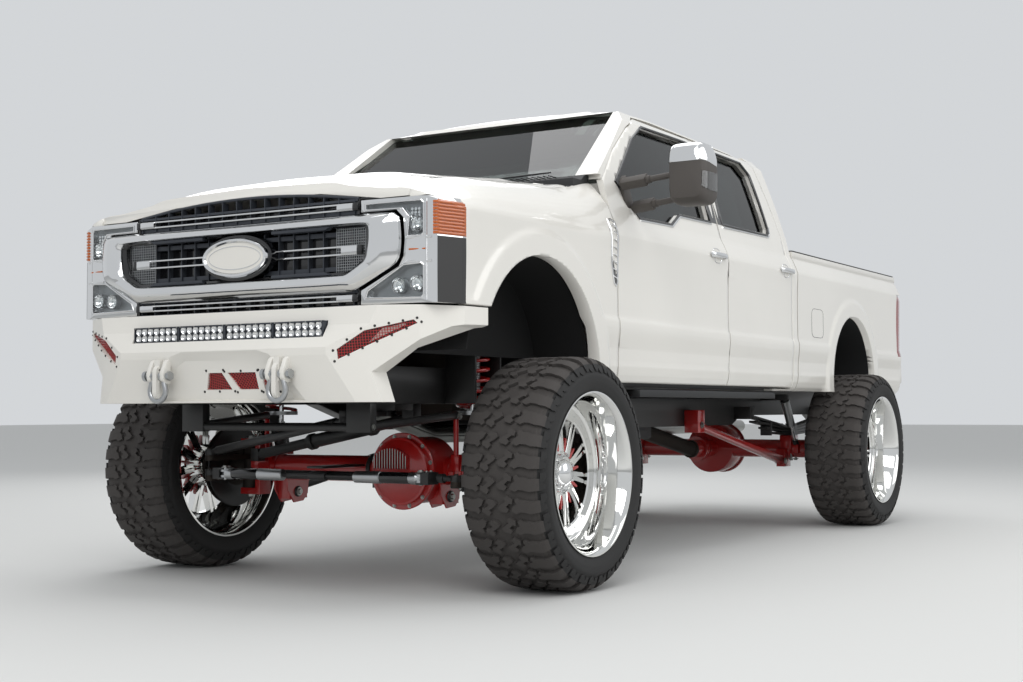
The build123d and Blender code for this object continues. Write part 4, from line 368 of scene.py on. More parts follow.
# Finishes whose colour is a setting
SET_COLOURS = {"pearl white paint": "paint_colour", "white powder coat": "paint_colour",
               "red powder coat": "accent_colour", "charcoal leather": "seat_colour"}
SLOT_FINISHES = {
    "body_paint": "pearl white paint", "red_paint": "red powder coat", "chassis_paint": "satin black paint",
    "chrome": "bright chrome", "dark_plastic": "grained black plastic", "tinted_glass": "tinted glass",
    "clear_lens": "clear lens", "red_lens": "red lens", "tyre": "tyre rubber",
    "polished_aluminium": "polished aluminium", "steel": "zinc plated steel", "cast_iron": "cast iron",
    "seat_leather": "charcoal leather", "trim_plastic": "grey trim plastic",
}


def add_finishes(sizes):
    """Makes every finish and puts one on each CAD node."""
    for name, dark, light, *rest in FINISHES:
        dark, light = linear(dark), linear(light)
        if name in SET_COLOURS:
            light = (*getattr(sizes, SET_COLOURS[name]), 1)
            dark = tuple(part * 0.9 for part in light[:3]) + (1,)
        finish(name, dark, light, *rest)
    for name, made in frame["nodes"].items():
        made.data.materials.clear()
        made.data.materials.append(bpy.data.materials[SLOT_FINISHES[NODE_SLOTS[name]]])


# Material slot and finish of the pieces that share them
WHITE = ("body_paint", "pearl white paint")
POWDER_WHITE = ("body_paint", "white powder coat")
RED = ("red_paint", "red powder coat")
BLACK_PAINT = ("chassis_paint", "satin black paint")
GRAINED = ("dark_plastic", "grained black plastic")
GLOSS_BLACK = ("dark_plastic", "gloss black plastic")
CHROME = ("chrome", "bright chrome")
ZINC = ("steel", "zinc plated steel")
CLEAR = ("clear_lens", "clear lens")
ORIGIN = Vector((0, 0, 0))
UP = Vector((0, 0, 1))
ALONG_X = Vector((1, 0, 0))


# Body panels: the CAD panels with their outer skins drawn to smooth, creased surfaces

BELT_Z = 1705
CAB_SECTION = [(880, 972), (985, 1002), (1150, 1014), (1200, 1000), (1600, 1006), (1705, 962), (2245, 800),
               (2322, 722)]
BED_SECTION = [(880, 972), (985, 1002), (1150, 1014), (1200, 1000), (1560, 1006), (1700, 970), (1740, 964)]
# Height and half width of the finished side: rocker, bulging shelf, crease, flank and shoulder
SIDE_SKIN = [
    (880, 962), (900, 984), (935, 997), (975, 1002), (1000, 1001), (1060, 1003), (1120, 1009), (1160, 1012),
    (1185, 1012), (1196, 1010), (1206, 1005), (1216, 1003), (1240, 1002), (1330, 1001), (1430, 1002),
    (1520, 1004), (1570, 1006), (1598, 1007), (1615, 1003), (1640, 993), (1672, 979), (1705, 962),
    (1740, 958),
]
CREASE_DROP = 0.0064
NOSE_ROWS = [
    (-850, 1540, 1590, 1632, 1684, 1696), (-520, 1590, 1660, 1731, 1790, 1800),
    (0, 1600, 1690, 1770, 1840, 1850),
    (420, 1600, 1715, 1812, 1885, 1895), (640, 1600, 1735, 1880, 1915, 1925),
]
NOSE_WIDTHS = [972, 1002, 1014, 1000, 1006, 962, 850, 450, 0]
NOSE_PLAN = [(-850, 620), (-840, 900), (-820, 965), (-700, 1000), (-560, 1016), (700, 1016)]
SMOOTHING = (-1, -0.5, 0, 0.5, 1)
ARCHES = [(-70, 929, 506), (4114, 959, 431)]
FLARE_BAND = 88
FLARE_EDGE = 34
ROOF_TOP = 2362
ROOF_DROP = [(0, 0), (400, 10), (722, 40), (800, 117)]
ROOF_PROFILE = [(1235, 12), (1500, 0), (2700, 10), (2980, 62), (3045, 562)]


def side_width(station, z):
    """Half width of the finished side at a station and height, flares included."""
    shift = CREASE_DROP * (station - 441) * (1 - blend(40, 160, abs(z - 1200)))
    width = along(SIDE_SKIN, z + shift)
    for centre, height, radius in ARCHES:
        reach = math.hypot(station - centre, z - height) - radius
        share = 1 - blend(FLARE_BAND, FLARE_BAND + FLARE_EDGE, reach)
        if share:
            width += (1013 - width) * share
    return width


def window_bulge(z):
    """How far the sides over the belt bulge out."""
    return 9 * math.sin(math.pi * min(max((z - BELT_Z) / 540, 0), 1))


def reshape(bm, on_skin, place, stations, heights=(), widths=()):
    """Divides the faces that lie on the CAD skin and moves their corners to the finished surface."""
    def local(vert):
        return vert.co.x / MM, vert.co.y / MM + MIDDLE, vert.co.z / MM

    skin = [face for face in bm.faces if all(on_skin(*local(vert)) for vert in face.verts)]
    parts = set()
    for face in skin:
        parts.add(face)
        parts.update(face.verts)
        parts.update(face.edges)
    parts = list(parts)
    planes = [(at(0, value, 0), (0, 1, 0)) for value in stations]
    planes += [(at(0, 0, value), (0, 0, 1)) for value in heights]
    planes += [(at(value, 0, 0), (1, 0, 0)) for value in widths]
    for spot, normal in planes:
        made = bmesh.ops.bisect_plane(bm, geom=parts, dist=1e-6, plane_co=spot, plane_no=normal)
        parts = list(set(made["geom"]) | set(made["geom_cut"]))
    corners = {part for part in parts if isinstance(part, bmesh.types.BMVert) and part.is_valid}
    for vert in corners:
        if on_skin(*local(vert)):
            vert.co = place(*local(vert))


def cab_on_skin(section):
    """A test for points on the cab's or bed's outer side."""
    def test(x, station, z):
        return z > 878 and abs(x) > along(section, z) - 1.5
    return test


def side_place(x, station, z):
    """A side point moved to the finished surface."""
    width = side_width(station, z) if z < BELT_Z else abs(x) + window_bulge(z)
    return at(math.copysign(min(width, 1014), x), station, z)


@functools.lru_cache(maxsize=None)
def nose_row(station):
    """The nose's section at a station, as (half width, height) points from the sill to the middle."""
    rows = [along([(row[0], row[column]) for row in NOSE_ROWS], station) for column in range(1, 6)]
    return list(zip(NOSE_WIDTHS, [880, 985, 1150, 1200] + rows))


def nearest(row, width, z):
    """Gap, segment and share along it of a section's nearest point."""
    best = None
    for index, ((w0, z0), (w1, z1)) in enumerate(zip(row, row[1:])):
        across, upward = w1 - w0, z1 - z0
        share = ((width - w0) * across + (z - z0) * upward) / (across * across + upward * upward)
        share = min(max(share, 0), 1)
        gap = math.hypot(w0 + across * share - width, z0 + upward * share - z)
        if best is None or gap < best[0]:
            best = (gap, index, share)
    return best


def walk(points, lengths, distance):
    """The point this far along a chain, which mirrors at its end on the middle plane."""
    total = sum(lengths)
    if distance > total:
        distance = 2 * total - distance
    for (w0, z0), (w1, z1), length in zip(points, points[1:], lengths):
        if distance <= length:
            share = max(distance, 0) / length
            return w0 + (w1 - w0) * share, z0 + (z1 - z0) * share
        distance -= length
    return points[-1]


def nose_smooth(width, station, z):
    """The nearest point of the nose's section, averaged along the section and the stations."""
    _, index, share = nearest(nose_row(station), width, z)
    total = [0, 0]
    for back in SMOOTHING:
        near = nose_row(min(max(station + back * 110, -850), 640))
        lengths = [math.dist(start, end) for start, end in zip(near, near[1:])]
        place = sum(lengths[:index]) + share * lengths[index]
        for sideways in SMOOTHING:
            point = walk(near, lengths, place + sideways * 55)
            total = [total[0] + point[0], total[1] + point[1]]
    return total[0] / len(SMOOTHING) ** 2, total[1] / len(SMOOTHING) ** 2


def nose_on_skin(x, station, z):
    """Whether a point lies on the nose's lofted skin."""
    if z < 878:
        return False
    if nearest(nose_row(round(station, 2)), abs(x), z)[0] < 2:
        return True
    return z < 1560 and abs(x) > along(NOSE_PLAN, station) - 1.5


def nose_place(x, station, z):
    """A nose point moved to the finished surface."""
    smooth = nose_smooth(abs(x), round(station, 2), z)
    share = blend(1560, 1620, z)
    side = min(side_width(station, z), along(NOSE_PLAN, station))
    width = side + (smooth[0] - side) * share
    height = z + (smooth[1] - z) * share
    if abs(x) < 840:
        height -= 9 * blend(470, 560, abs(x)) * blend(840, 700, abs(x))
    return at(math.copysign(width, x), station, height)


def roof_on_skin(x, station, z):
    """Whether a point lies on the roof's outside."""
    drop = max(along(ROOF_DROP, abs(x)), along(ROOF_PROFILE, station))
    return abs(ROOF_TOP - drop - z) < 2


def roof_place(x, station, z):
    """A roof point moved to a gently crowned surface, averaged over less near its edges."""
    reach = min(120, max(722 - abs(x), 0))
    across = sum(along(ROOF_DROP, abs(abs(x) + step * reach)) for step in SMOOTHING) / len(SMOOTHING)
    reach = min(80, max(2980 - station, 0))
    lengthways = sum(along(ROOF_PROFILE, station + step * reach) for step in SMOOTHING) / len(SMOOTHING)
    return at(x, station, min(z, ROOF_TOP - across - lengthways))


# Heights at which the cab's sides are divided
CAB_LINES = sorted(set(steps(885, BELT_Z, 34) + [row[0] for row in SIDE_SKIN] + steps(1720, 2300, 14)))
HANDLES = (("front", 1822), ("rear", 2860))
DOOR_EDGES = {"front": 645, "rear": 1975}
# Middle heights of the hinges, and half height and reach of the skin over their pockets
HINGE_HEIGHTS = (1110, 1540)
HINGE_COVER = 46
HINGE_REACH = 84


def strip_handle(bm, sign, station):
    """Takes the CAD handle off a door, down to the skin."""
    low, high = at(990, station - 100, 1580), at(1060, station + 100, 1624)
    near = [face for face in bm.faces if all(
        low.x < vert.co.x * sign < high.x and low.y < vert.co.y < high.y and low.z < vert.co.z < high.z
        for vert in face.verts) and any(vert.co.x * sign > 1.0075 for vert in face.verts)]
    bmesh.ops.delete(bm, geom=near, context="FACES")
    edges = [edge for edge in bm.edges if len(edge.link_faces) == 1]
    bmesh.ops.holes_fill(bm, edges=edges, sides=12)


def cover_hinges(bm, sign, front_edge):
    """Thin skins over the pockets of a door's hinges, flush with its panel."""
    for z in HINGE_HEIGHTS:
        for out, plain in ((0.7, sign < 0), (-1.0, sign > 0)):
            grid = [[bm.verts.new(at(sign * (side_width(station, height) + out), station, height))
                     for height in steps(z - HINGE_COVER, z + HINGE_COVER, 8)]
                    for station in steps(front_edge + 1, front_edge + HINGE_REACH, 4)]
            for first, second in zip(grid, grid[1:]):
                for index in range(len(first) - 1):
                    corners = (first[index], first[index + 1], second[index + 1], second[index])
                    bm.faces.new(corners if plain else corners[::-1])


def add_doors(sizes):
    """Four doors and their glass."""
    for side, sign in SIDES:
        for end, station in HANDLES:
            name = f"door_{end}_{side}"
            bm = cad(name)
            strip_handle(bm, sign, station)
            reshape(bm, cab_on_skin(CAB_SECTION), side_place, steps(650, 2970, 66), CAB_LINES)
            cover_hinges(bm, sign, DOOR_EDGES[end])
            piece(bm, f"{name}_panel", name, *WHITE, [name], recalculate=False)
            bm = cad(f"glass_{end}_{side}")
            cut_lines(bm, z=steps(1720, 2290, 14))
            for vert in bm.verts:
                vert.co.x += math.copysign(window_bulge(vert.co.z / MM) * MM, vert.co.x)
            glass = f"glass_{end}_{side}"
            piece(bm, f"{glass}_pane", name, "tinted_glass", "tinted glass", [glass], recalculate=False)


def add_cab(sizes):
    """Pillars, roof, cab back and the fixed glass."""
    for name in ("pillars", "cab_back"):
        bm = cad(name)
        reshape(bm, cab_on_skin(CAB_SECTION), side_place, steps(2950, 3045, 3), CAB_LINES)
        piece(bm, f"{name}_panel", "truck", *WHITE, [name], recalculate=False)
    bm = cad("roof")
    reshape(bm, roof_on_skin, roof_place, steps(1215, 3000, 40), (), steps(-760, 760, 40))
    piece(bm, "roof_panel", "truck", *WHITE, ["roof"], recalculate=False)
    piece(cad("cab_glass"), "cab_glass_panes", "truck", "tinted_glass", "windscreen glass", ["cab_glass"],
          recalculate=False)


def add_nose(sizes):
    """Hood and fenders."""
    bm = cad("fenders")
    lines = sorted(set(steps(885, 1600, 60) + [row[0] for row in SIDE_SKIN] + steps(1612, 1860, 20)))
    reshape(bm, nose_on_skin, nose_place, steps(-670, 636, 109), lines, steps(-1000, 1000, 80))
    piece(bm, "fender_panels", "truck", *WHITE, ["fenders"], angle=48, recalculate=False)
    bm = cad("hood")
    reshape(bm, nose_on_skin, nose_place, steps(-830, 415, 50), (), steps(-840, 840, 84))
    piece(bm, "hood_panel", "hood", *WHITE, ["hood"], angle=48, recalculate=False)


def add_bed(sizes):
    """Load bed, tailgate and tail lamps."""
    bm = cad("bed")
    lines = sorted(set(steps(885, BELT_Z, 60) + [row[0] for row in SIDE_SKIN]))
    reshape(bm, cab_on_skin(BED_SECTION), side_place, steps(3065, 5195, 160), lines)
    piece(bm, "bed_panel", "truck", *WHITE, ["bed"], angle=48, recalculate=False)
    softened("tailgate", *WHITE, 8)
    softened("tail_lamps", "red_lens", "red lens", 6)


# Tyres and wheels

WHEELS = [
    # body, side, station
    ("wheel_front_left", 1, 0), ("wheel_front_right", -1, 0),
    ("wheel_rear_left", 1, WHEELBASE), ("wheel_rear_right", -1, WHEELBASE),
]
LUG_COUNT = 34
# Share of the drawn width that a lug keeps, radius in metres over which the rubber is dusty, and rings
LUG_WIDTH = 0.9
DUST_RADIUS = 0.462
TYRE_STEPS = 44
# Outside of the tyre from the crown to the bead: distance from the middle plane, radius
TYRE_SECTION = [(0, 500), (100, 499), (140, 496), (162, 490), (178, 478), (188, 462), (196, 440), (199, 415),
                (197, 390), (190, 368), (182, 352), (174, 344), (172, 334)]
# Lug outlines: distance from the middle plane along the section, and along the tread in shares of the pitch
TREAD_LUGS = [
    # centre block with a hook
    ((4, 0.20), (14, 0.02), (40, -0.06), (52, 0.10), (40, 0.24), (58, 0.42), (72, 0.40), (74, 0.62),
     (46, 0.82), (34, 0.66), (40, 0.50), (20, 0.36)),
    # shoulder block with a stepped head
    ((64, 0.02), (88, -0.10), (104, 0.00), (128, -0.02), (150, -0.10), (176, -0.08), (214, -0.08),
     (216, 0.52), (178, 0.54), (152, 0.52), (130, 0.60), (108, 0.60), (96, 0.72), (84, 0.60),
     (90, 0.40), (74, 0.28)),
]
# Side biters under the shoulder: start and end along the section, start and end in shares of the pitch
SIDE_BITERS = [((190, -0.06), (228, -0.02), (228, 0.24), (214, 0.30), (190, 0.30)),
               ((200, 0.34), (222, 0.38), (236, 0.62), (228, 0.86), (200, 0.84))]


def section_walk(distance):
    """A place on the tyre's section, and the direction out of it, this far from the middle plane."""
    left = distance
    for (x0, r0), (x1, r1) in zip(TYRE_SECTION, TYRE_SECTION[1:]):
        length = math.hypot(x1 - x0, r1 - r0)
        if left <= length:
            share = left / length
            out = Vector((-(r1 - r0), x1 - x0)).normalized()
            return Vector((x0 + share * (x1 - x0), r0 + share * (r1 - r0))), out
        left -= length
    return Vector(TYRE_SECTION[-1]), Vector((1, 0))


def lug_height(distance, depth):
    """Height of the lugs over the carcass, less towards the sidewall."""
    return depth - 9 * blend(170, 225, distance) - (depth - 9) * blend(228, 245, distance)


def round_tyre(x, roll, sunk, side):
    """A point of the unrolled tread put on the tyre, turned round its axle."""
    place, out = section_walk(abs(x))
    place = place - out * sunk
    sign = math.copysign(1, x)
    return Vector((sign * place.x * side * MM, math.sin(roll) * place.y * MM, math.cos(roll) * place.y * MM))


def tread_mesh(side, depth):
    """One tyre's lugs round its axle, as a bmesh about the wheel's centre."""
    pitch = math.tau / LUG_COUNT
    bm = bmesh.new()
    outlines = [(outline, 1, 0) for outline in TREAD_LUGS + SIDE_BITERS]
    outlines += [(outline, -1, 0.5) for outline in TREAD_LUGS + SIDE_BITERS]
    for outline, sign, shift in outlines:
        plate(bm, [Vector((sign * x, sign * roll * LUG_WIDTH + shift, 0)) for x, roll in outline], UP)
    for x in range(-225, 226, 15):
        bmesh.ops.bisect_plane(bm, geom=whole(bm), dist=1e-6, plane_co=(x, 0, 0), plane_no=(1, 0, 0))
    for vert in bm.verts:
        sunk = 0 if vert.co.z > 0.5 else lug_height(abs(vert.co.x), depth) + 4
        vert.co = round_tyre(vert.co.x, vert.co.y * pitch, sunk, side)
    base = whole(bm)
    for step in range(1, LUG_COUNT):
        made = bmesh.ops.duplicate(bm, geom=base)["geom"]
        verts = [part for part in made if isinstance(part, bmesh.types.BMVert)]
        bmesh.ops.rotate(bm, cent=(0, 0, 0), matrix=Matrix.Rotation(step * pitch, 3, "X"), verts=verts)
    return bm


def add_tyres(sizes):
    """Four mud-terrain tyres."""
    for name, side, station in WHEELS:
        centre = at(side * WHEEL_X, station, AXLE_Z)
        depth = sizes.lug_depth / MM
        bm = tread_mesh(side, depth)
        bmesh.ops.recalc_face_normals(bm, faces=bm.faces)
        half = []
        total = sum(math.dist(a, b) for a, b in zip(TYRE_SECTION, TYRE_SECTION[1:]))
        for distance in steps(0, total, TYRE_STEPS):
            place, out = section_walk(distance)
            place = place - out * lug_height(distance, depth)
            half.append((place.x, place.y))
        inner = [(150, 334), (165, 344), (0, 470)]
        profile = [(-x, r) for x, r in reversed(half[1:])] + half + inner
        profile += [(-x, r) for x, r in reversed(inner[:2])]
        spin(bm, profile, ORIGIN, ALONG_X, LUG_COUNT * 4, closed=True)
        for face in bm.faces:
            middle = face.calc_center_median()
            face.material_index = int(math.hypot(middle.y, middle.z) > DUST_RADIUS)
        bmesh.ops.translate(bm, vec=centre, verts=bm.verts)
        tyre = name.replace("wheel", "tyre")
        made = piece(bm, f"{tyre}_tread", name, "tyre", "tyre rubber", [tyre], angle=38)
        made.data.materials.append(bpy.data.materials["dusty tread rubber"])


BARREL = [
    # distance outboard of the wheel's middle, radius: outer lip, deep barrel, drop centre and inner lip
    (189, 344), (189, 350), (176, 350), (172, 338), (150, 333), (60, 330), (20, 322), (-60, 316), (-130, 322),
    (-170, 332), (-176, 350), (-187, 350), (-187, 342), (-176, 332), (-130, 314), (-60, 304), (10, 298),
    (44, 300), (164, 326), (180, 334),
]
FACE_RING = [(6, 240), (24, 236), (30, 242), (30, 284), (34, 288), (38, 301), (20, 306), (4, 302), (0, 250)]
HUB_FACE = [(-96, 0), (-96, 98), (-60, 104), (10, 104), (22, 96), (26, 84), (14, 74), (14, 0)]
HUB_CAP = [(12, 0), (12, 62), (34, 60), (52, 52), (62, 38), (66, 20), (68, 0)]
HUB_SLEEVE = [(-232, 62), (-232, 96), (-96, 96), (-96, 88), (-220, 88), (-220, 62)]
SPOKE_PAIRS = 11
WHEEL_BOLTS = 8
BOLT_CIRCLE = 81


def wheel_piece(bm, centre, part, wheel, *look, replaces=()):
    """Moves a piece that was made about the wheel's centre to its place and finishes it."""
    bmesh.ops.translate(bm, vec=centre, verts=bm.verts)
    piece(bm, f"{wheel}_{part}", wheel, *look, replaces)


def wheel_spoke(bm, turn, lean, root, tip):
    """One straight spoke of a pair, dished and tapered, from the hub to the ring."""
    outline = [(root, -13), (root + 60, -10), (tip, -8), (tip, 8), (root + 60, 10), (root, 13)]
    verts = plate(bm, [Vector((-22 * MM, width * MM, radius * MM)) for radius, width in outline],
                  Vector((44 * MM, 0, 0)))
    for vert in verts:
        radius = vert.co.z / MM
        vert.co.x += (6 - 14 * blend(root, tip, radius)) * MM * (1 if vert.co.x > 0 else 0)
        vert.co.y += lean * MM * (0.45 + 0.55 * (radius - root) / (tip - root))
    edges = {edge for vert in verts for edge in vert.link_edges
             if all(v.co.x > 0 for v in edge.verts) and abs(edge.verts[0].co.y - edge.verts[1].co.y) < 0.006}
    made = bmesh.ops.bevel(bm, geom=list(edges), offset=4 * MM, segments=2, profile=0.5, affect="EDGES",
                           clamp_overlap=True, material=-1)
    every = set(made["verts"]) | {vert for vert in verts if vert.is_valid}
    bmesh.ops.rotate(bm, cent=(0, 0, 0), matrix=Matrix.Rotation(turn, 3, "X"), verts=list(every))


def add_wheels(sizes):
    """Four polished deep-lip wheels, with red accents at the hub, and their discs."""
    for name, side, station in WHEELS:
        out = Vector((side, 0, 0))
        centre = at(side * WHEEL_X, station, AXLE_Z)
        bm = bmesh.new()
        for pair in range(SPOKE_PAIRS):
            for lean in (-17, 17):
                wheel_spoke(bm, math.tau * pair / SPOKE_PAIRS, lean, 92, 244)
        if side < 0:
            bmesh.ops.scale(bm, vec=(-1, 1, 1), verts=bm.verts)
        for profile in (BARREL, FACE_RING):
            spin(bm, profile, ORIGIN, out, 120, closed=True)
        spin(bm, HUB_FACE, ORIGIN, out, 64)
        wheel_piece(bm, centre, "rim", name, "polished_aluminium", "polished aluminium", replaces=[name])
        bm = bmesh.new()
        spin(bm, HUB_CAP, ORIGIN, out, 48)
        for number in range(WHEEL_BOLTS):
            turn = Matrix.Rotation(math.tau * (number + 0.5) / WHEEL_BOLTS, 3, "X")
            place = turn @ Vector((16 * side, 0, BOLT_CIRCLE)) * MM
            rod(bm, place, place + out * 26 * MM, 10, 7, sides=16)
        for number in range(SPOKE_PAIRS * 2):
            turn = Matrix.Rotation(math.tau * (number + 0.5) / SPOKE_PAIRS / 2, 3, "X")
            bolt(bm, turn @ Vector((28 * side, 0, 263)) * MM, out, 3.4, 5)
        valve = Matrix.Rotation(math.radians(26), 3, "X") @ Vector((26 * side, 0, 322)) * MM
        rod(bm, valve, valve + Vector((38 * side, 0, -16)) * MM, 5, 4, sides=12)
        wheel_piece(bm, centre, "hub_cap", name, *CHROME)
        bm = bmesh.new()
        for number in range(SPOKE_PAIRS):
            turn = Matrix.Rotation(math.tau * (number + 0.5) / SPOKE_PAIRS, 3, "X")
            wedge = [turn @ Vector((24 * side, width, radius)) * MM
                     for radius, width in ((96, -9), (96, 9), (150, 5), (156, 0), (150, -5))]
            plate(bm, wedge, Vector((-30 * side * MM, 0, 0)))
        wheel_piece(bm, centre, "accents", name, *RED)
        bm = bmesh.new()
        for far in (-226, -200):
            ring = [(far, 96), (far, 188), (far + 12, 188), (far + 12, 96)]
            spin(bm, ring, ORIGIN, out, 64, closed=True)
        for number in range(36):
            turn = Matrix.Rotation(math.tau * number / 36, 3, "X")
            vane = [turn @ Vector((-215 * side, width, radius)) * MM
                    for radius, width in ((100, -2), (184, -2), (184, 2), (100, 2))]
            plate(bm, vane, Vector((16 * side * MM, 0, 0)))
        spin(bm, HUB_SLEEVE, ORIGIN, out, 48, closed=True)
        wheel_piece(bm, centre, "disc", name, "cast_iron", "cast iron")


# Front bumper, light bar, grille and headlamps

MESH_WINDOW = [(892, 1110), (878, 1124), (708, 1082), (602, 1010), (607, 971)]
CENTRE_WINDOWS = [
    [(-10, 924), (36, 854), (-105, 854), (-83, 924)], [(171, 924), (179, 854), (74, 854), (19, 924)],
    [(280, 924), (280, 854), (211, 854), (200, 924)],
]
# The recess round the shackles: half width and height of its mouth and of its floor
RECESS_MOUTH = [(205, 1030), (268, 1004), (430, 812)]
RECESS_FLOOR = [(205, 975), (250, 955), (366, 812)]
SHACKLE_X = 325
SHACKLE_Z = 918
SHACKLE_STATION = -1012
# Start, end, radius and sides of the pin, its head, its nut and the bow's two eyes
SHACKLE_PIN = [(-62, 62, 13, 24), (-74, -58, 22, 24), (58, 72, 20, 6), (-37, -17, 20, 24), (17, 37, 20, 24)]


def front_tree(node_name):
    """A CAD node's surface, for rays."""
    bm = cad(node_name)
    tree = BVHTree.FromBMesh(bm)
    bm.free()
    return tree


def on_front(tree, x, z):
    """The point of a surface met from the front, and its normal."""
    place, normal, _, _ = tree.ray_cast(at(x, -1400, z), Vector((0, 1, 0)))
    return place, normal


def grown(points, amount):
    """An outline of points moved out from its middle."""
    middle = sum(points, Vector()) / len(points)
    return [point + (point - middle).normalized() * amount * MM for point in points]


def flipped(points, sign):
    """Points on the left side, or their mirror on the right."""
    return [Vector((point.x * sign, point.y, point.z)) for point in points]


def woven(bm, outline, facing, spacing, thickness):
    """A flat mesh of crossed bars inside an outline."""
    across = (outline[1] - outline[0]).cross(facing).normalized()
    first = facing.cross(across).normalized()
    middle = sum(outline, Vector()) / len(outline)
    slants = ((first + across).normalized(), (first - across).normalized())
    for way, other in (slants, slants[::-1]):
        reach = [(point - middle).dot(other) for point in outline]
        for row in range(math.ceil(min(reach) / spacing / MM), math.floor(max(reach) / spacing / MM) + 1):
            line = row * spacing * MM
            hits = []
            for a, b in zip(outline, outline[1:] + outline[:1]):
                da, db = (a - middle).dot(other) - line, (b - middle).dot(other) - line
                if (da > 0) != (db > 0):
                    hits.append(a.lerp(b, da / (da - db)))
            hits.sort(key=lambda hit: hit.dot(way))
            half = other * thickness / 2 * MM
            for start, end in zip(hits[::2], hits[1::2]):
                if (end - start).length > 2 * MM:
                    plate(bm, [start - half, end - half, end + half, start + half], facing * 2 * MM)


def bolt_row(bm, tree, outline, facing, pitch, radius, level):
    """Small bolts along an outline, seated on the surface behind it or in a recess."""
    for start, end in zip(outline, outline[1:] + outline[:1]):
        count = max(round((end - start).length / MM / pitch), 1)
        for step in range(count):
            spot = start.lerp(end, step / count)
            place, normal, _, _ = tree.ray_cast(spot + facing * 0.08, -facing)
            if place and (place - spot).length > 12 * MM:
                place, normal = spot + facing * (level - spot).dot(facing), facing
            if place:
                bolt(bm, place, normal, radius, radius)


def add_bumper(sizes):
    """Faceted steel bumper with red mesh inserts, bolts, lugs and shackles."""
    tree = front_tree("front_bumper")
    bm = cad("front_bumper")
    soft_edges(bm, 3, 2, 12)
    shell = piece(bm, "front_bumper_shell", "truck", *POWDER_WHITE, ["front_bumper"], recalculate=False)
    meshes, bolts, backs, cutter = (bmesh.new() for _ in range(4))
    windows = []
    corner = [on_front(tree, x, z) for x, z in MESH_WINDOW]
    facing = sum((way for _, way in corner), Vector()).normalized()
    for _, sign in SIDES:
        turned = flipped([facing], sign)[0]
        windows.append((flipped([place for place, _ in corner], sign), turned, 62))
    middle, facing = on_front(tree, 0, 890)
    down = facing.cross(ALONG_X)
    down = down if down.z < 0 else -down

    def on_plate(x, z, out):
        """A point over the bumper's middle face, moved out along it."""
        return middle + Vector((x * MM, 0, 0)) + down * ((890 - z) * MM / abs(down.z)) + facing * out * MM

    recess = bmesh.new()
    strips(recess, [[on_plate(x, z, out) for x, z in around(half)[::-1]] for half, out in
                    ((RECESS_MOUTH, 30), (RECESS_MOUTH, 0), (RECESS_FLOOR, -20))], False)
    bmesh.ops.holes_fill(recess, edges=[edge for edge in recess.edges if len(edge.link_faces) == 1])
    carve(shell, recess)
    for window in CENTRE_WINDOWS:
        windows.append(([on_plate(x, z, -20) for x, z in window], facing, 90))
    for outline, facing, pitch in windows:
        plate(cutter, [spot + facing * 20 * MM for spot in outline], facing * -36 * MM)
        woven(meshes, [spot - facing * 9 * MM for spot in grown(outline, 3)], facing, 11, 2.6)
        plate(backs, [spot - facing * 14 * MM for spot in grown(outline, 4)], facing * -1 * MM)
        bolt_row(bolts, tree, grown(outline, 15), facing, pitch, 3.6, outline[0])
    carve(shell, cutter)
    shell.data.set_sharp_from_angle(angle=math.radians(9))
    piece(backs, "bumper_insert_backs", "truck", *BLACK_PAINT)
    piece(meshes, "bumper_mesh_inserts", "truck", *RED)
    piece(bolts, "bumper_bolts", "truck", "dark_plastic", "satin black paint")
    add_shackles()
    add_light_bar()


def add_shackles():
    """Pointed lugs with pins and D-ring shackles whose rings face the front."""
    lugs, rings = bmesh.new(), bmesh.new()
    for _, sign in SIDES:
        x = SHACKLE_X * sign
        for reach in (-38, 38):
            outline = [at(x + reach - 11, station, z) for station, z in
                       ((-985, 996), (-1012, 978), (-1034, 930), (-1030, 900), (-1012, 884), (-985, 884))]
            plate(lugs, outline, Vector((22 * MM, 0, 0)))
        for start, end, radius, sides in SHACKLE_PIN:
            rod(rings, at(x + start, SHACKLE_STATION, SHACKLE_Z), at(x + end, SHACKLE_STATION, SHACKLE_Z),
                radius, sides=sides)
        bow = [(x - 27, SHACKLE_Z), (x - 34, SHACKLE_Z - 26)]
        bow += [(x - 44 * math.cos(turn), SHACKLE_Z - 62 - 44 * math.sin(turn))
                for turn in steps(-0.1, math.pi + 0.1, 14)]
        bow += [(x + 34, SHACKLE_Z - 26), (x + 27, SHACKLE_Z)]
        wires(rings, [[at(across, SHACKLE_STATION, z) for across, z in bow]], 12, 4)
    soft_edges(lugs, 4)
    piece(lugs, "shackle_lugs", "truck", *POWDER_WHITE)
    piece(rings, "shackles", "truck", "steel", "anodised aluminium")


LIGHT_HALF = 517
LIGHT_Z = (1062, 1128)
LIGHT_SECTION = 259
LENS_PITCH = 34.5


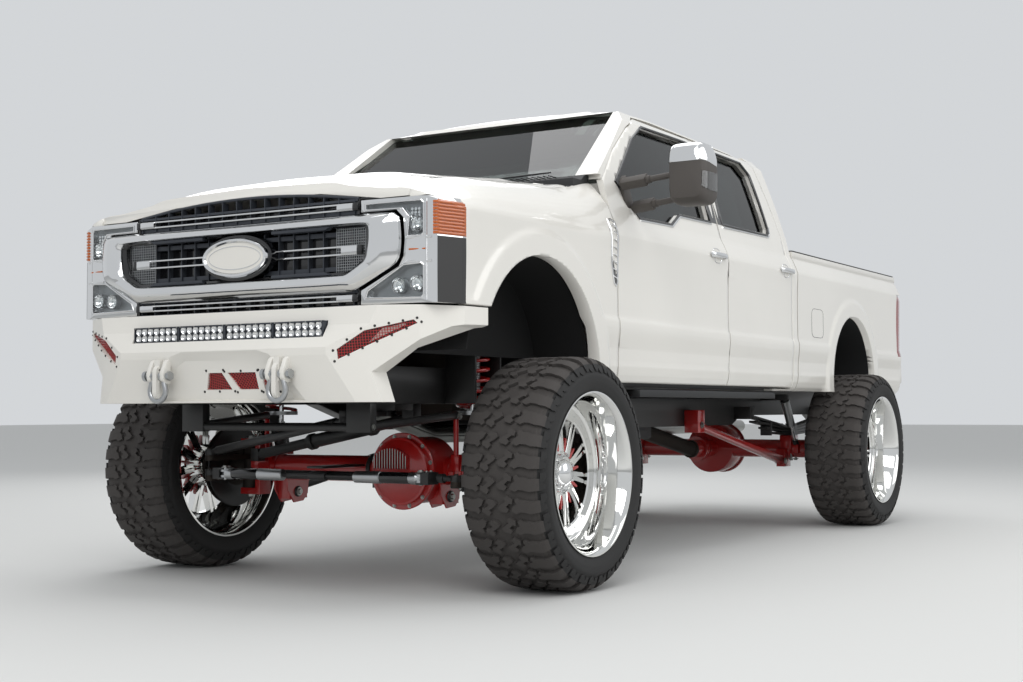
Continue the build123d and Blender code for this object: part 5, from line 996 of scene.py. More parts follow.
def add_light_bar():
    """LED bar: a dark frame with four sections of round lenses."""
    body, cups, lenses, screws = (bmesh.new() for _ in range(4))
    facing = Vector((0, -1, 0))
    low, high = LIGHT_Z
    block(body, (-LIGHT_HALF, LIGHT_HALF), (-952, -906), LIGHT_Z)
    for x in steps(-LIGHT_HALF, LIGHT_HALF, 4):
        block(body, (max(x - 5, -LIGHT_HALF), min(x + 5, LIGHT_HALF)), (-964, -950), (low + 2, high - 2))
    for z in (low, high - 7):
        block(body, (-LIGHT_HALF, LIGHT_HALF), (-964, -950), (z, z + 7))
    for section in range(4):
        start = -LIGHT_HALF + LIGHT_SECTION * section + 9
        for column in range(7):
            for row in (0, 1):
                centre = at(start + 18 + column * LENS_PITCH, -952, low + 18 + row * 30)
                spin(cups, [(0, 0), (1, 5), (5, 11), (10, 14.2), (10, 15.4), (0, 15.4)], centre, facing, 20)
                spin(lenses, [(4, 3), (6.5, 2.6), (8, 0)], centre, facing, 12)
        for x in (start + 2, start + 80, start + 160, start + 240):
            for z in (low + 3.5, high - 3.5):
                bolt(screws, at(x, -964, z), facing, 2.4, 2)
    soft_edges(body, 1.5)
    piece(body, "light_bar_frame", "truck", "dark_plastic", "graphite plastic", ["light_bar"])
    piece(cups, "light_bar_cups", "truck", *CHROME)
    piece(lenses, "light_bar_lenses", "truck", *CLEAR)
    piece(screws, "light_bar_screws", "truck", *ZINC)


# Half outlines of the surround, X and height, from below to above
RING_OUTER = [(580, 1241), (620, 1256), (792, 1342), (812, 1376), (818, 1443), (812, 1524), (784, 1552)]
RING_INNER = [(560, 1313), (590, 1322), (658, 1362), (668, 1380), (678, 1443), (678, 1490), (660, 1507)]
# Share of the way from the inner to the outer outline, and station
RING_ROWS = [(0.0, -852), (0.02, -888), (0.1, -901), (0.16, -904.5), (0.5, -904.5), (0.58, -901),
             (0.95, -876), (1.0, -870), (1.0, -852)]
SHADOW_ROWS = [(-0.12, -872), (0.03, -880), (0.03, -851), (-0.12, -851)]
# Heights of the lips' long and short edges
LIP_HEIGHTS = [(1312, 1326), (1508, 1494)]
# Slot bars of the grille: lower edge, upper edge, half width, and whether the badge divides them
SLOT_BARS = [(1204, 1232, 590, False), (1392, 1430, 612, True), (1570, 1600, 590, False)]
# Rim of the blank oval, the fine line on its face and the shadow round it: growth over its outline, station
BADGE_RIM = [(0, -862), (0, -902), (-6, -913), (-14, -913), (-20, -906), (-20, -862)]
BADGE_LINE = [(-34, -904), (-34, -907), (-37, -907), (-37, -904)]
BADGE_SHADOW = [(0, -856), (0, -894), (12, -890), (14, -856)]
BADGE_SIDES = 72
# Half width, half height and middle height of the blank oval
BADGE = (178, 84, 1409)
# Half width of the arched bar that closes the grille under the hood
ARCH_HALF = 600


def around(half):
    """A half outline's points, carried on over the middle to the other side."""
    return [(-x, z) for x, z in half] + [(x, z) for x, z in reversed(half)]


def smooth_outline(points, share=0.3, rounds=2):
    """An outline with its corners cut again and again."""
    for _ in range(rounds):
        cut = []
        for (x0, z0), (x1, z1) in zip(points, points[1:] + points[:1]):
            cut.append((x0 + (x1 - x0) * share * 0.5, z0 + (z1 - z0) * share * 0.5))
            cut.append((x1 - (x1 - x0) * share * 0.5, z1 - (z1 - z0) * share * 0.5))
        points = cut
    return points


def strips(bm, rows, closed=True):
    """Faces between outlines of points, and from the last to the first where closed. Returns the corners."""
    loops = [[bm.verts.new(point) for point in row] for row in rows]
    ends = loops[1:] + loops[:1] if closed else loops[1:]
    for first, second in zip(loops, ends):
        for index in range(len(first)):
            bm.faces.new((first[index - 1], first[index], second[index], second[index - 1]))
    return loops


def oval(grow, station):
    """Points of the blank oval, grown by an amount, at a station."""
    return [at((BADGE[0] + grow) * math.cos(turn), station, BADGE[2] + (BADGE[1] + grow) * math.sin(turn))
            for turn in steps(0, math.tau, BADGE_SIDES)[:-1]]


def ring_row(share, station):
    """Points of the surround at a share of the way from its inner to its outer outline."""
    flat = [(x0 + (x1 - x0) * share, z0 + (z1 - z0) * share)
            for (x0, z0), (x1, z1) in zip(around(RING_INNER), around(RING_OUTER))]
    return [at(x, station, z) for x, z in smooth_outline(flat)]


def slot_bar(chrome, dark, left, right, low, high):
    """A thin chrome outline in a slot, with a thick chrome end and a dark cap where it ends outside."""
    for z in (low, high - 7):
        block(chrome, (left, right), (-862, -846), (z, z + 7))
    for x in (left, right - 7):
        block(chrome, (x, x + 7), (-862, -846), (low, high))
    for sign, end in ((-1, left), (1, right)):
        if abs(end) > 500:
            inner = end - sign * 84
            block(chrome, sorted((inner, end - sign * 4)), (-866, -846), (low + 2, high - 2))
            block(dark, sorted((end - sign * 4, end + sign * 20)), (-864, -846), (low - 1, high + 1))


def add_grille(sizes):
    """Dark ribbed grille with chrome slot bars, the chrome surround and the blank oval."""
    ribs, chrome, mesh, dark = (bmesh.new() for _ in range(4))
    block(dark, (-612, 612), (-822, -812), (1180, 1618))
    block(dark, (-690, 690), (-824, -815), (1296, 1520))
    for z in (1186, 1244, 1612):
        block(ribs, (-606, 606), (-850, -820), (z - 5, z + 5))
    for z, half in ((1340, 660), (1480, 660), (1560, 606)):
        block(ribs, (-half, half), (-846, -820), (z - 9, z + 9))
    for x in steps(-585, 585, 15):
        block(ribs, (x - 2.5, x + 2.5), (-852, -816), (1186, 1612 + 44 * (1 - (x / ARCH_HALF) ** 2)))
    arch = [at(x, -838, 1618 + 46 * (1 - (x / ARCH_HALF) ** 2)) for x in steps(-ARCH_HALF, ARCH_HALF, 16)]
    for start, end in zip(arch, arch[1:]):
        rod(ribs, start, end, 7, sides=12)
    for sign in (1, -1):
        for z in ((1182, 1290), (1524, 1616)):
            block(dark, sided(sign, 600, 612), (-850, -815), z)
    for low, high, half, divided in SLOT_BARS:
        if divided:
            slot_bar(chrome, dark, 182, half, low, high)
            slot_bar(chrome, dark, -half, -182, low, high)
        else:
            slot_bar(chrome, dark, -half, half, low, high)
    for sign in (1, -1):
        for x in steps(500, 676, 16):
            block(mesh, (sign * x - 1, sign * x + 1), (-856, -852), (1310, 1510))
        for z in steps(1312, 1508, 18):
            block(mesh, sided(sign, 500, 676), (-856, -852), (z - 1, z + 1))
    soft_edges(chrome, 1.6)
    soft_edges(dark, 2)
    piece(ribs, "grille_ribs", "truck", "dark_plastic", "graphite plastic", ["grille"])
    piece(dark, "grille_frame", "truck", *GLOSS_BLACK)
    piece(mesh, "grille_mesh", "truck", "dark_plastic", "anodised aluminium")
    piece(chrome, "grille_bars", "truck", *CHROME)
    add_surround()


def add_surround():
    """The chrome surround with its bevelled faces, inner lips and the blank oval."""
    ring, dark, badge, rim, lips = (bmesh.new() for _ in range(5))
    for bm, rows in ((ring, RING_ROWS), (dark, SHADOW_ROWS)):
        strips(bm, [ring_row(*row) for row in rows])
    for sign in (1, -1):
        for wide, narrow in LIP_HEIGHTS:
            tip = [(sign * 190, wide), (sign * 500, wide), (sign * 470, narrow), (sign * 190, narrow)]
            plate(lips, [at(x, -896, z) for x, z in tip], Vector((0, 34 * MM, 0)))
    for bm, rows in ((rim, BADGE_RIM), (rim, BADGE_LINE), (dark, BADGE_SHADOW)):
        strips(bm, [oval(*row) for row in rows])
    plate(badge, oval(-19, -905), Vector((0, 20 * MM, 0)))
    plate(dark, oval(-2, -870), Vector((0, 18 * MM, 0)))
    soft_edges(lips, 3)
    piece(ring, "grille_ring", "truck", *CHROME, ["grille_surround"], angle=28)
    piece(lips, "grille_lips", "truck", "dark_plastic", "graphite plastic")
    piece(dark, "grille_ring_shadow", "truck", *GLOSS_BLACK, angle=28)
    piece(rim, "badge_rim", "truck", *CHROME, angle=28)
    piece(badge, "badge_face", "truck", *POWDER_WHITE)


# Left lamp, X and height: chambers in the housing, and the edges of the clear cover's bezel
UPPER_CHAMBER = [(838, 1452), (845, 1530), (815, 1564), (640, 1566), (640, 1592), (900, 1592), (912, 1580),
                 (912, 1462), (902, 1452)]
LOWER_CHAMBER = [(640, 1216), (652, 1246), (820, 1342), (900, 1346), (912, 1336), (912, 1222), (902, 1210)]
MARKER_ROWS = steps(1462, 1582, 9)
# The point that the marker's ribs run round, how far out they are looked for, in metres, and their turns
MARKER_CENTRE = (930, -745)
MARKER_REACH = 0.4
MARKER_TURNS = steps(14, 138, 16)


def lamp_outline(points, tree, out):
    """Points of a lamp's front, moved out along its surface."""
    spots = [on_front(tree, x, z) for x, z in points]
    facing = sum((normal for _, normal in spots if normal), Vector()).normalized()
    return [place + facing * out * MM for place, _ in spots if place], facing


def add_headlamps(sizes):
    """Clear lamps with chrome bezels, two chambers, a middle bar and ribbed amber corners."""
    tree = front_tree("headlamps")
    housing = cad("headlamps")
    soft_edges(housing, 3, 2, 20)
    shell = piece(housing, "headlamp_housings", "truck", *CHROME, ["headlamps"], recalculate=False)
    chrome, lens, amber, dark, glow, cutter = (bmesh.new() for _ in range(6))
    for chamber in (UPPER_CHAMBER, LOWER_CHAMBER):
        front, facing = lamp_outline(chamber, tree, 0)
        for _, sign in SIDES:
            way = flipped([facing], sign)[0]
            plate(cutter, [spot + way * 6 * MM for spot in flipped(front, sign)], way * -44 * MM)
        plate(dark, [spot - facing * 36 * MM for spot in grown(front, 2)], facing * MM)
        plate(lens, [spot - facing * 3 * MM for spot in grown(front, 1)], facing * 2.5 * MM)
        for start, end in zip(front, front[1:] + front[:1]):
            rod(chrome, start, end, 4, sides=12)
    for x, z in ((876, 1500), (876, 1268), (790, 1262)):
        centre, facing = on_front(tree, x, z)
        centre = centre - facing * 34 * MM
        spin(chrome, [(26, 31), (24, 31), (16, 26), (6, 14), (0, 4), (0, 0)], centre, facing, 36)
        spin(lens, [(4, 20), (14, 16), (20, 8), (22, 0)], centre, facing, 28)
        spin(dark, [(0, 33), (27, 33), (27, 31), (0, 31)], centre, facing, 36, closed=True)
    for row in range(4):
        for x in (850, 866, 882):
            centre, facing = on_front(tree, x, 1560 - row * 14)
            rod(chrome, centre - facing * 34 * MM, centre - facing * 18 * MM, 5, 6, sides=16)
    start, end = on_front(tree, 846, 1400)[0], on_front(tree, 925, 1400)[0]
    rod(glow, start, end, 4, sides=12)
    for z in (1352, 1446):
        start, end = on_front(tree, 832, z)[0], on_front(tree, 944, z)[0]
        rod(chrome, start, end, 6, sides=16)
    line = [on_front(tree, 922, z)[0] for z in steps(1200, 1596, 12)]
    wires(chrome, [line], 4, 3)
    add_lamp_sides()
    for z in MARKER_ROWS:
        rail = []
        for turn in MARKER_TURNS:
            way = Vector((-math.sin(math.radians(turn)), math.cos(math.radians(turn)), 0))
            place, _, _, _ = tree.ray_cast(at(*MARKER_CENTRE, z) - way * MARKER_REACH, way)
            if place:
                rail.append(place - way * MM)
        if len(rail) > 2:
            wires(amber, [rail], 6.2, 3)
    carve(shell, cutter)
    for bm, name, slot, kind in (
        (chrome, "bezels", *CHROME), (lens, "lenses", *CLEAR),
        (amber, "markers", "red_lens", "amber lens"), (dark, "chambers", "steel", "smoked aluminium"),
        (glow, "lines", "red_lens", "amber lens"),
    ):
        mirrored(bm)
        piece(bm, f"headlamp_{name}", "truck", slot, kind)


def add_lamp_sides():
    """Dark glass on the lamps' outer sides, with amber over it where the markers are."""
    for name, low, high, slot, kind in (("side_glass", 1190, 1449, "dark_plastic", "satin black paint"),
                                        ("side_amber", 1455, 1592, "red_lens", "amber lens")):
        bm = cad("headlamps")
        for place, normal in ((at(0, 0, low), (0, 0, -1)), (at(0, 0, high), (0, 0, 1))):
            bmesh.ops.bisect_plane(bm, geom=whole(bm), dist=1e-6, plane_co=place, plane_no=normal,
                                   clear_outer=True)
        bm.normal_update()
        inside = []
        for face in bm.faces:
            x = face.calc_center_median().x
            if abs(face.normal.x) < 0.5 or abs(x) < 0.955 or face.normal.x * x < 0:
                inside.append(face)
        bmesh.ops.delete(bm, geom=inside, context="FACES")
        for vert in bm.verts:
            vert.co += Vector((math.copysign(1.5 * MM, vert.co.x), 0, 0))
        bmesh.ops.solidify(bm, geom=bm.faces[:], thickness=1.2 * MM)
        piece(bm, f"headlamp_{name}", "truck", slot, kind)


# Axles, suspension, steering and frame

DIFF_X = 330
TUBE_RADIUS = 61
# Coil's X, station, and lower and upper end
COIL = (560, 60, 768, 1112)
COIL_FACETS = 28
COIL_RADIUS = 70
DAMPER_STATION = -345
DAMPER_Z = 480
DAMPER_CLAMP_X = 556
# Plates under and over a damper's outer end: X and stations
DAMPER_PLATE = ((545, 582), (-372, -270))
COVER_BOLTS = 12
# Finned cover of the front axle and plain cover of the rear one: distance from the axle, radius
FRONT_COVER = [(150, 140), (150, 170), (164, 172), (168, 168), (168, 150), (190, 140), (206, 112), (214, 70),
               (216, 0)]
REAR_COVER = [(150, 150), (150, 176), (166, 178), (170, 160), (190, 140), (200, 90), (202, 0)]
# Brackets that hold the radius arms: X of their middle, and outline as station and height
ARM_X = 440
ARM_BRACKET = [(-92, 470), (78, 470), (66, 372), (34, 338), (-34, 332), (-80, 392)]
KINGPIN_X = 700
# A damper along X from the middle: distance and radius of each step, barrel then band
BARREL_STEPS = [(204, 9), (204, 21), (208, 26), (345, 27), (347, 24), (352, 24)]
EYE_STEPS = [(500, 24), (505, 27), (540, 27), (546, 22), (562, 14), (562, 0)]
BAND_STEPS = [(348, 24), (352, 25.5), (500, 25.5), (504, 24)]
# The disc's shield: distance outboard of the wheel's middle, radius
DUST_SHIELD = [(-231, 70), (-231, 196), (-227, 200), (-223, 196), (-223, 70)]


def add_front_axle(sizes):
    """Red front axle with its finned cover, clamps, arm brackets and bushings."""
    softened("front_axle", *RED, 4)
    bm, black, steel = (bmesh.new() for _ in range(3))
    front = Vector((0, -1, 0))
    centre = at(DIFF_X, 0, AXLE_Z)
    spin(bm, FRONT_COVER, centre, front, 56)
    for number in range(COVER_BOLTS):
        turn = math.tau * (number + 0.5) / COVER_BOLTS
        place = at(DIFF_X + 158 * math.cos(turn), -167, AXLE_Z + 158 * math.sin(turn))
        bolt(steel, place, front, 7, 8)
    for x in steps(225, 395, 12):
        height = 92 - 40 * ((x - 310) / 95) ** 2
        block(bm, (x - 3, x + 3), (-232, -190), (AXLE_Z + 12, AXLE_Z + 12 + height))
        block(steel, (x - 2, x + 2), (-233.5, -231), (AXLE_Z + 14, AXLE_Z + 10 + height))
    block(bm, (218, 402), (-218, -186), (AXLE_Z + 4, AXLE_Z + 62))
    for x in (62, 128):
        spin(black, [(-11, TUBE_RADIUS), (-11, 68), (-7, 71), (7, 71), (11, 68), (11, TUBE_RADIUS)],
             at(x, 0, AXLE_Z), ALONG_X, 48, closed=True)
        block(black, (x - 11, x + 11), (-14, 14), (AXLE_Z - 88, AXLE_Z - 66))
    for _, sign in SIDES:
        for reach in (-42, 34):
            outline = [at(sign * ARM_X + reach, station, z) for station, z in ARM_BRACKET]
            plate(bm, outline, Vector((8 * MM, 0, 0)))
        bush = at(sign * ARM_X, -8, 384)
        spin(bm, [(-34, 30), (-34, 36), (34, 36), (34, 30)], bush, ALONG_X, 32, closed=True)
        spin(black, [(-50, 0), (-50, 24), (-34, 30), (34, 30), (50, 24), (50, 0)], bush, ALONG_X, 32)
        for way in (-1, 1):
            bolt(steel, bush + ALONG_X * way * 50 * MM, ALONG_X * way, 14, 12)
        for z in (AXLE_Z - 120, AXLE_Z + 120):
            place = at(sign * KINGPIN_X, 0, z + (15 if z > AXLE_Z else -15))
            bolt(steel, place, Vector((0, 0, z - AXLE_Z)), 18, 14)
        for x in steps(500, 612, 3):
            weld = [(-4, TUBE_RADIUS - 2), (-4, 66), (4, 66), (4, TUBE_RADIUS - 2)]
            spin(bm, weld, at(sign * x, 0, AXLE_Z), ALONG_X, 40, closed=True)
    soft_edges(black, 1.5)
    piece(bm, "front_axle_cover", "truck", *RED)
    piece(black, "front_axle_clamps", "truck", *BLACK_PAINT)
    piece(steel, "front_axle_bolts", "truck", *ZINC)


def add_suspension(sizes):
    """Coilovers, links, anti-roll bar, leaf springs, traction bars and rear shocks."""
    coils, silver, shafts, black = (bmesh.new() for _ in range(4))
    for _, sign in SIDES:
        x, station, low, high = sign * COIL[0], *COIL[1:]
        path = []
        count = round(sizes.coil_turns * COIL_FACETS)
        for step in range(count + 1):
            turn = math.tau * step / COIL_FACETS
            path.append(at(x + COIL_RADIUS * math.cos(turn), station + COIL_RADIUS * math.sin(turn),
                           low + (high - low) * step / count))
        wires(coils, [path], sizes.coil_wire / MM, 4)
        body = [(850, 0), (850, 30)]
        for z in steps(856, 1116, 26):
            body += [(z, 33), (z + 5, 36), (z + 6, 33)]
        base = at(x, station, 0)
        spin(silver, body + [(1128, 30), (1140, 26), (1140, 0)], base, UP, 40)
        spin(shafts, [(610, 0), (610, 12), (858, 12), (858, 0)], base, UP, 24)
        for z, hole in ((1112, 20), (750, 14)):
            spin(silver, [(z, hole), (z, 80), (z + 18, 80), (z + 18, hole)], base, UP, 40, closed=True)
        spin(black, [(571, 0), (571, 28), (640, 28), (652, 20), (652, 0)], base, UP, 32)
        foot, head = at(sign * 640, WHEELBASE - 80, 530), at(sign * 640, WHEELBASE - 299, 850)
        way = (head - foot).normalized()
        rod(shafts, foot, foot + way * 170 * MM, 10)
        rod(black, foot - way * 12 * MM, foot + way * 34 * MM, 20)
        rod(silver, foot + way * 160 * MM, head - way * 40 * MM, 29, sides=36)
        rod(silver, head - way * 42 * MM, head - way * 28 * MM, 31, sides=36)
        rod(black, head - way * 30 * MM, head, 17)
        block(black, sided(sign, 480, 668), (WHEELBASE - 332, WHEELBASE - 266), (828, 868))
    soft_edges(black, 3)
    piece(coils, "coilover_springs", "truck", *RED, ["coil_springs"])
    piece(silver, "shock_bodies", "truck", "steel", "anodised aluminium", ["shocks"])
    piece(shafts, "shock_shafts", "truck", *CHROME)
    piece(black, "shock_mounts", "truck", *BLACK_PAINT)
    softened("front_links", *BLACK_PAINT, 3)
    softened("leaf_springs", *BLACK_PAINT, 2)
    softened("traction_bars", *RED, 4)
    bands, bolts = bmesh.new(), bmesh.new()
    for _, sign in SIDES:
        for station in (WHEELBASE - 420, WHEELBASE + 420):
            block(bands, sided(sign, 524, 596), (station - 14, station + 14), (596, 690))
        for station in (WHEELBASE - 44, WHEELBASE + 44):
            for x in (528, 592):
                rod(bolts, at(sign * x, station, 420), at(sign * x, station, 672), 8, sides=16)
                bolt(bolts, at(sign * x, station, 432), Vector((0, 0, -1)), 13, 12)
        for station, z in ((WHEELBASE - 1491, 676), (WHEELBASE - 110, 420)):
            for way in (-1, 1):
                place = at(sign * 540 + way * 32, station, z)
                bolt(bolts, place, Vector((way, 0, 0)), 14, 12)
        for station, z in ((70, 420), (1150, 600)):
            bolt(bolts, at(sign * 472, station, z), Vector((sign, 0, 0)), 13, 12)
        bolt(bolts, at(sign * 566, -60, 745), Vector((sign, 0, 0)), 11, 10)
        bolt(bolts, at(sign * 524, -640, 702), Vector((sign, 0, 0)), 9, 8)
    sleeve_start, sleeve_end = at(-230, -131, 622), at(170, -143, 699)
    rod(bands, sleeve_start, sleeve_end, 32, sides=32)
    for share in (0.06, 0.94):
        spot = sleeve_start.lerp(sleeve_end, share)
        way = (sleeve_end - sleeve_start).normalized() * 14 * MM
        rod(bands, spot - way, spot + way, 38, sides=32)
    soft_edges(bands, 2)
    piece(bands, "suspension_clamps", "truck", *BLACK_PAINT)
    piece(bolts, "suspension_bolts", "truck", *ZINC)


def add_steering(sizes):
    """Twin dampers with silver barrels and black bands, rods, links, knuckles and calipers."""
    silver, black, steel = (bmesh.new() for _ in range(3))
    for _, sign in SIDES:
        way = Vector((sign, 0, 0))
        for profile in (BARREL_STEPS, EYE_STEPS):
            spin(silver, profile, at(0, DAMPER_STATION, DAMPER_Z), way, 40)
        spin(black, BAND_STEPS, at(0, DAMPER_STATION, DAMPER_Z), way, 40)
        for way_up in (-1, 1):
            rod(silver, at(sign * DAMPER_CLAMP_X, DAMPER_STATION, DAMPER_Z + way_up * 8),
                at(sign * DAMPER_CLAMP_X, DAMPER_STATION, DAMPER_Z + way_up * 26), 22)
        low, high = (at(sign * DAMPER_CLAMP_X, DAMPER_STATION, z) for z in (450, 510))
        rod(steel, low, high, 9, sides=12)
        bolt(steel, at(sign * DAMPER_CLAMP_X, DAMPER_STATION, 508), UP, 12, 8)
        for z in ((453, 462), (498, 507)):
            block(black, sided(sign, *DAMPER_PLATE[0]), DAMPER_PLATE[1], z)
        for reach in (-330, -296):
            bolt(steel, at(sign * 575, reach, 507), UP, 7, 6)
    soft_edges(black, 1.5)
    piece(silver, "damper_barrels", "tie_rod", "steel", "anodised aluminium", ["steering_dampers"])
    piece(black, "damper_bands", "tie_rod", *GLOSS_BLACK)
    piece(steel, "damper_bolts", "tie_rod", *ZINC)
    for name, width in (("tie_rod", 2), ("damper_rods", 1.5), ("drag_link", 2), ("pitman_arm", 2)):
        softened(name, *BLACK_PAINT, width)
    for side, sign in SIDES:
        softened(f"knuckle_{side}", "chassis_paint", "cast iron", 4)
        bm = bmesh.new()
        spin(bm, DUST_SHIELD, at(sign * WHEEL_X, 0, AXLE_Z), Vector((sign, 0, 0)), 56, closed=True)
        piece(bm, f"dust_shield_{side}", f"knuckle_{side}", *BLACK_PAINT)


def add_rear_axle(sizes):
    """Red rear axle with its cover and pinion ribs."""
    softened("rear_axle", *RED, 5)
    bm, steel = bmesh.new(), bmesh.new()
    back = Vector((0, 1, 0))
    centre = at(0, WHEELBASE, AXLE_Z)
    spin(bm, REAR_COVER, centre, back, 56)
    for number in range(COVER_BOLTS):
        turn = math.tau * number / COVER_BOLTS
        bolt(steel, at(166 * math.cos(turn), WHEELBASE + 169, AXLE_Z + 166 * math.sin(turn)), back, 7, 8)
    for far in (-300, -270, -240):
        spin(bm, [(far, 58), (far, 84), (far + 12, 84), (far + 12, 58)], centre, back, 40, closed=True)
    piece(bm, "rear_axle_cover", "truck", *RED)
    piece(steel, "rear_axle_bolts", "truck", *ZINC)


def add_frame(sizes):
    """Frame, brackets, liners, drive, tank and exhaust."""
    for node_name, slot, kind, width in (
        ("frame_rails", *BLACK_PAINT, 3), ("frame_brackets", *BLACK_PAINT, 3),
        ("crossmembers", *BLACK_PAINT, 3), ("front_structure", "dark_plastic", "black liner", 2),
        ("fuel_tank", *GRAINED, 14), ("exhaust", *ZINC, 2), ("powertrain", "cast_iron", "cast iron", 5),
        ("side_steps", *GRAINED, 3), ("firewall", *GRAINED, 2),
        ("cab_floor", "body_paint", "satin black paint", 3), ("hinges", *WHITE, 2),
    ):
        softened(node_name, slot, kind, width)
    bm, tread = bmesh.new(), bmesh.new()
    for _, sign in SIDES:
        for z in (760, 790):
            for station in (0, 120):
                bolt(bm, at(sign * 481, station, z + 90), Vector((sign, 0, 0)), 9, 8)
        for x in steps(944, 986, 7):
            block(tread, sided(sign, x - 1.5, x + 1.5), (910, 2670), (864, 868))
        for station in (1000, 1790, 2580):
            bolt(bm, at(sign * 930, station, 850), Vector((0, 0, -1)), 8, 8)
    piece(bm, "frame_bolts", "truck", *ZINC)
    piece(tread, "step_treads", "truck", "dark_plastic", "grey trim plastic")


# Mirrors, handles, window trim, vents, caps and rear details

FRONT_WINDOW = [(775, 1875), (1113, 2139), (1300, 2240), (1880, 2248), (1880, 1795), (1470, 1788),
                (1340, 1722), (960, 1712)]
REAR_WINDOW = [(2040, 1800), (2040, 2248), (2640, 2244), (2735, 2180), (2765, 1850), (2735, 1808)]
REAR_BELT = [(2778, 1870), (2766, 1826), (2735, 1806), (2040, 1794)]
MIRROR_X = (1231, 1426)
MIRROR_Z = (1730, 2021)
# Share of the mirror head's full outline, and station, from the front to the glass
MIRROR_ROWS = [(0.62, 693), (0.82, 698), (0.94, 716), (1.0, 752), (1.0, 834), (0.97, 848)]
MIRROR_ARMS = [((950, 796, 1862), (1245, 760, 1880)), ((962, 900, 1760), (1245, 780, 1765))]
CAP_PLANE = (1918, 0.12)


def skin_x(z):
    """Half width of the finished sides at a height, over and under the belt."""
    if z < BELT_Z:
        return along(SIDE_SKIN, z)
    return along(CAB_SECTION, z) + window_bulge(z)


def on_side(points, sign, out=0.0):
    """Points of the side's skin from stations and heights."""
    return [at(sign * (skin_x(z) + out), station, z) for station, z in points]


def dense(points, closed=True, length=40):
    """An outline with points added along its longer edges."""
    result = []
    ends = points[1:] + points[:1] if closed else points[1:]
    for (s0, z0), (s1, z1) in zip(points, ends):
        count = max(round(math.hypot(s1 - s0, z1 - z0) / length), 1)
        result += [(s0 + (s1 - s0) * step / count, z0 + (z1 - z0) * step / count) for step in range(count)]
    return result if closed else result + [points[-1]]


def loft(bm, rows):
    """A closed shell through outlines of points, with a face at each end. Returns the last face."""
    loops = strips(bm, rows, False)
    bm.faces.new(loops[0])
    return bm.faces.new(loops[-1])


def mirror_rows(sign, grow):
    """The mirror head's outlines, from its front to its glass, grown by an amount."""
    middle_x, middle_z = sum(MIRROR_X) / 2, sum(MIRROR_Z) / 2
    half_x, half_z = (MIRROR_X[1] - MIRROR_X[0]) / 2, (MIRROR_Z[1] - MIRROR_Z[0]) / 2
    rows = []
    for share, station in MIRROR_ROWS:
        row = []
        for turn in steps(0, math.tau, 56)[:-1]:
            across = math.copysign(abs(math.cos(turn)) ** 0.36, math.cos(turn))
            upward = math.copysign(abs(math.sin(turn)) ** 0.36, math.sin(turn))
            narrow = 1 - 0.16 * blend(0.35, 1, upward) * blend(-0.5, 1, across)
            row.append(at(sign * (middle_x + across * (half_x * share * narrow + grow)),
                          station - grow * (share < 0.9), middle_z + upward * (half_z * share + grow)))
        rows.append(row)
    return rows


def add_mirrors(sizes):
    """Tall mirrors: grained shell, bright upper cap, clear marker, two glasses and two arms with sleeves."""
    for side, sign in SIDES:
        door = f"door_front_{side}"
        shell, cap, glass, marker, arms = (bmesh.new() for _ in range(5))
        rear = loft(shell, mirror_rows(sign, 0))
        bmesh.ops.inset_individual(shell, faces=[rear], thickness=9 * MM)
        bmesh.ops.recalc_face_normals(shell, faces=shell.faces)
        bmesh.ops.inset_individual(shell, faces=[rear], thickness=0.5 * MM, depth=-12 * MM)
        loft(cap, mirror_rows(sign, 1.6))
        for place, normal in ((at(0, 770, CAP_PLANE[0]), Vector((0, CAP_PLANE[1], 1))),
                              (at(0, 838, 0), Vector((0, -1, 0)))):
            made = bmesh.ops.bisect_plane(cap, geom=whole(cap), dist=1e-6, plane_co=place,
                                          plane_no=normal, clear_inner=True)
            rim = [part for part in made["geom_cut"] if isinstance(part, bmesh.types.BMEdge)]
            bmesh.ops.holes_fill(cap, edges=rim)
        for low, high in ((1744, 1858), (1868, 2008)):
            block(glass, sided(sign, MIRROR_X[0] + 14, MIRROR_X[1] - 22), (837, 842), (low, high))
        row = mirror_rows(sign, 1.2)
        for low, high in zip(row[1:4], row[2:5]):
            for index in range(len(low)):
                corners = [low[index - 1], low[index], high[index], high[index - 1]]
                if all(point.x * sign > 1.345 and 1.79 < point.z < 1.9 for point in corners):
                    marker.faces.new([marker.verts.new(point) for point in corners])
        bmesh.ops.remove_doubles(marker, verts=marker.verts, dist=1e-6)
        bmesh.ops.solidify(marker, geom=marker.faces[:], thickness=2 * MM)
        for (x0, s0, z0), (x1, s1, z1) in MIRROR_ARMS:
            start, end = at(sign * x0, s0, z0), at(sign * x1, s1, z1)
            rod(arms, start, end, 15, sides=20)
            rod(arms, start, start.lerp(end, 0.48), 32, sides=4)
            rod(arms, start.lerp(end, 0.44), start.lerp(end, 0.55), 20, sides=16)
        foot = [at(sign * 950, station, z) for station, z in
                ((800, 1880), (836, 1912), (905, 1800), (958, 1716), (880, 1724), (822, 1790))]
        plate(arms, foot, Vector((-26 * MM * sign, 0, 0)))
        for bm, width in ((glass, 1), (arms, 3), (cap, 1)):
            soft_edges(bm, width, 2, 40)
        piece(shell, f"mirror_{side}_shell", door, "dark_plastic", "weathered plastic", [f"mirror_{side}"])
        piece(cap, f"mirror_{side}_cap", door, *CHROME, angle=50)
        piece(glass, f"mirror_{side}_glass", door, "chrome", "polished aluminium")
        piece(marker, f"mirror_{side}_marker", door, *CLEAR)
        piece(arms, f"mirror_{side}_arms", door, "dark_plastic", "weathered plastic")


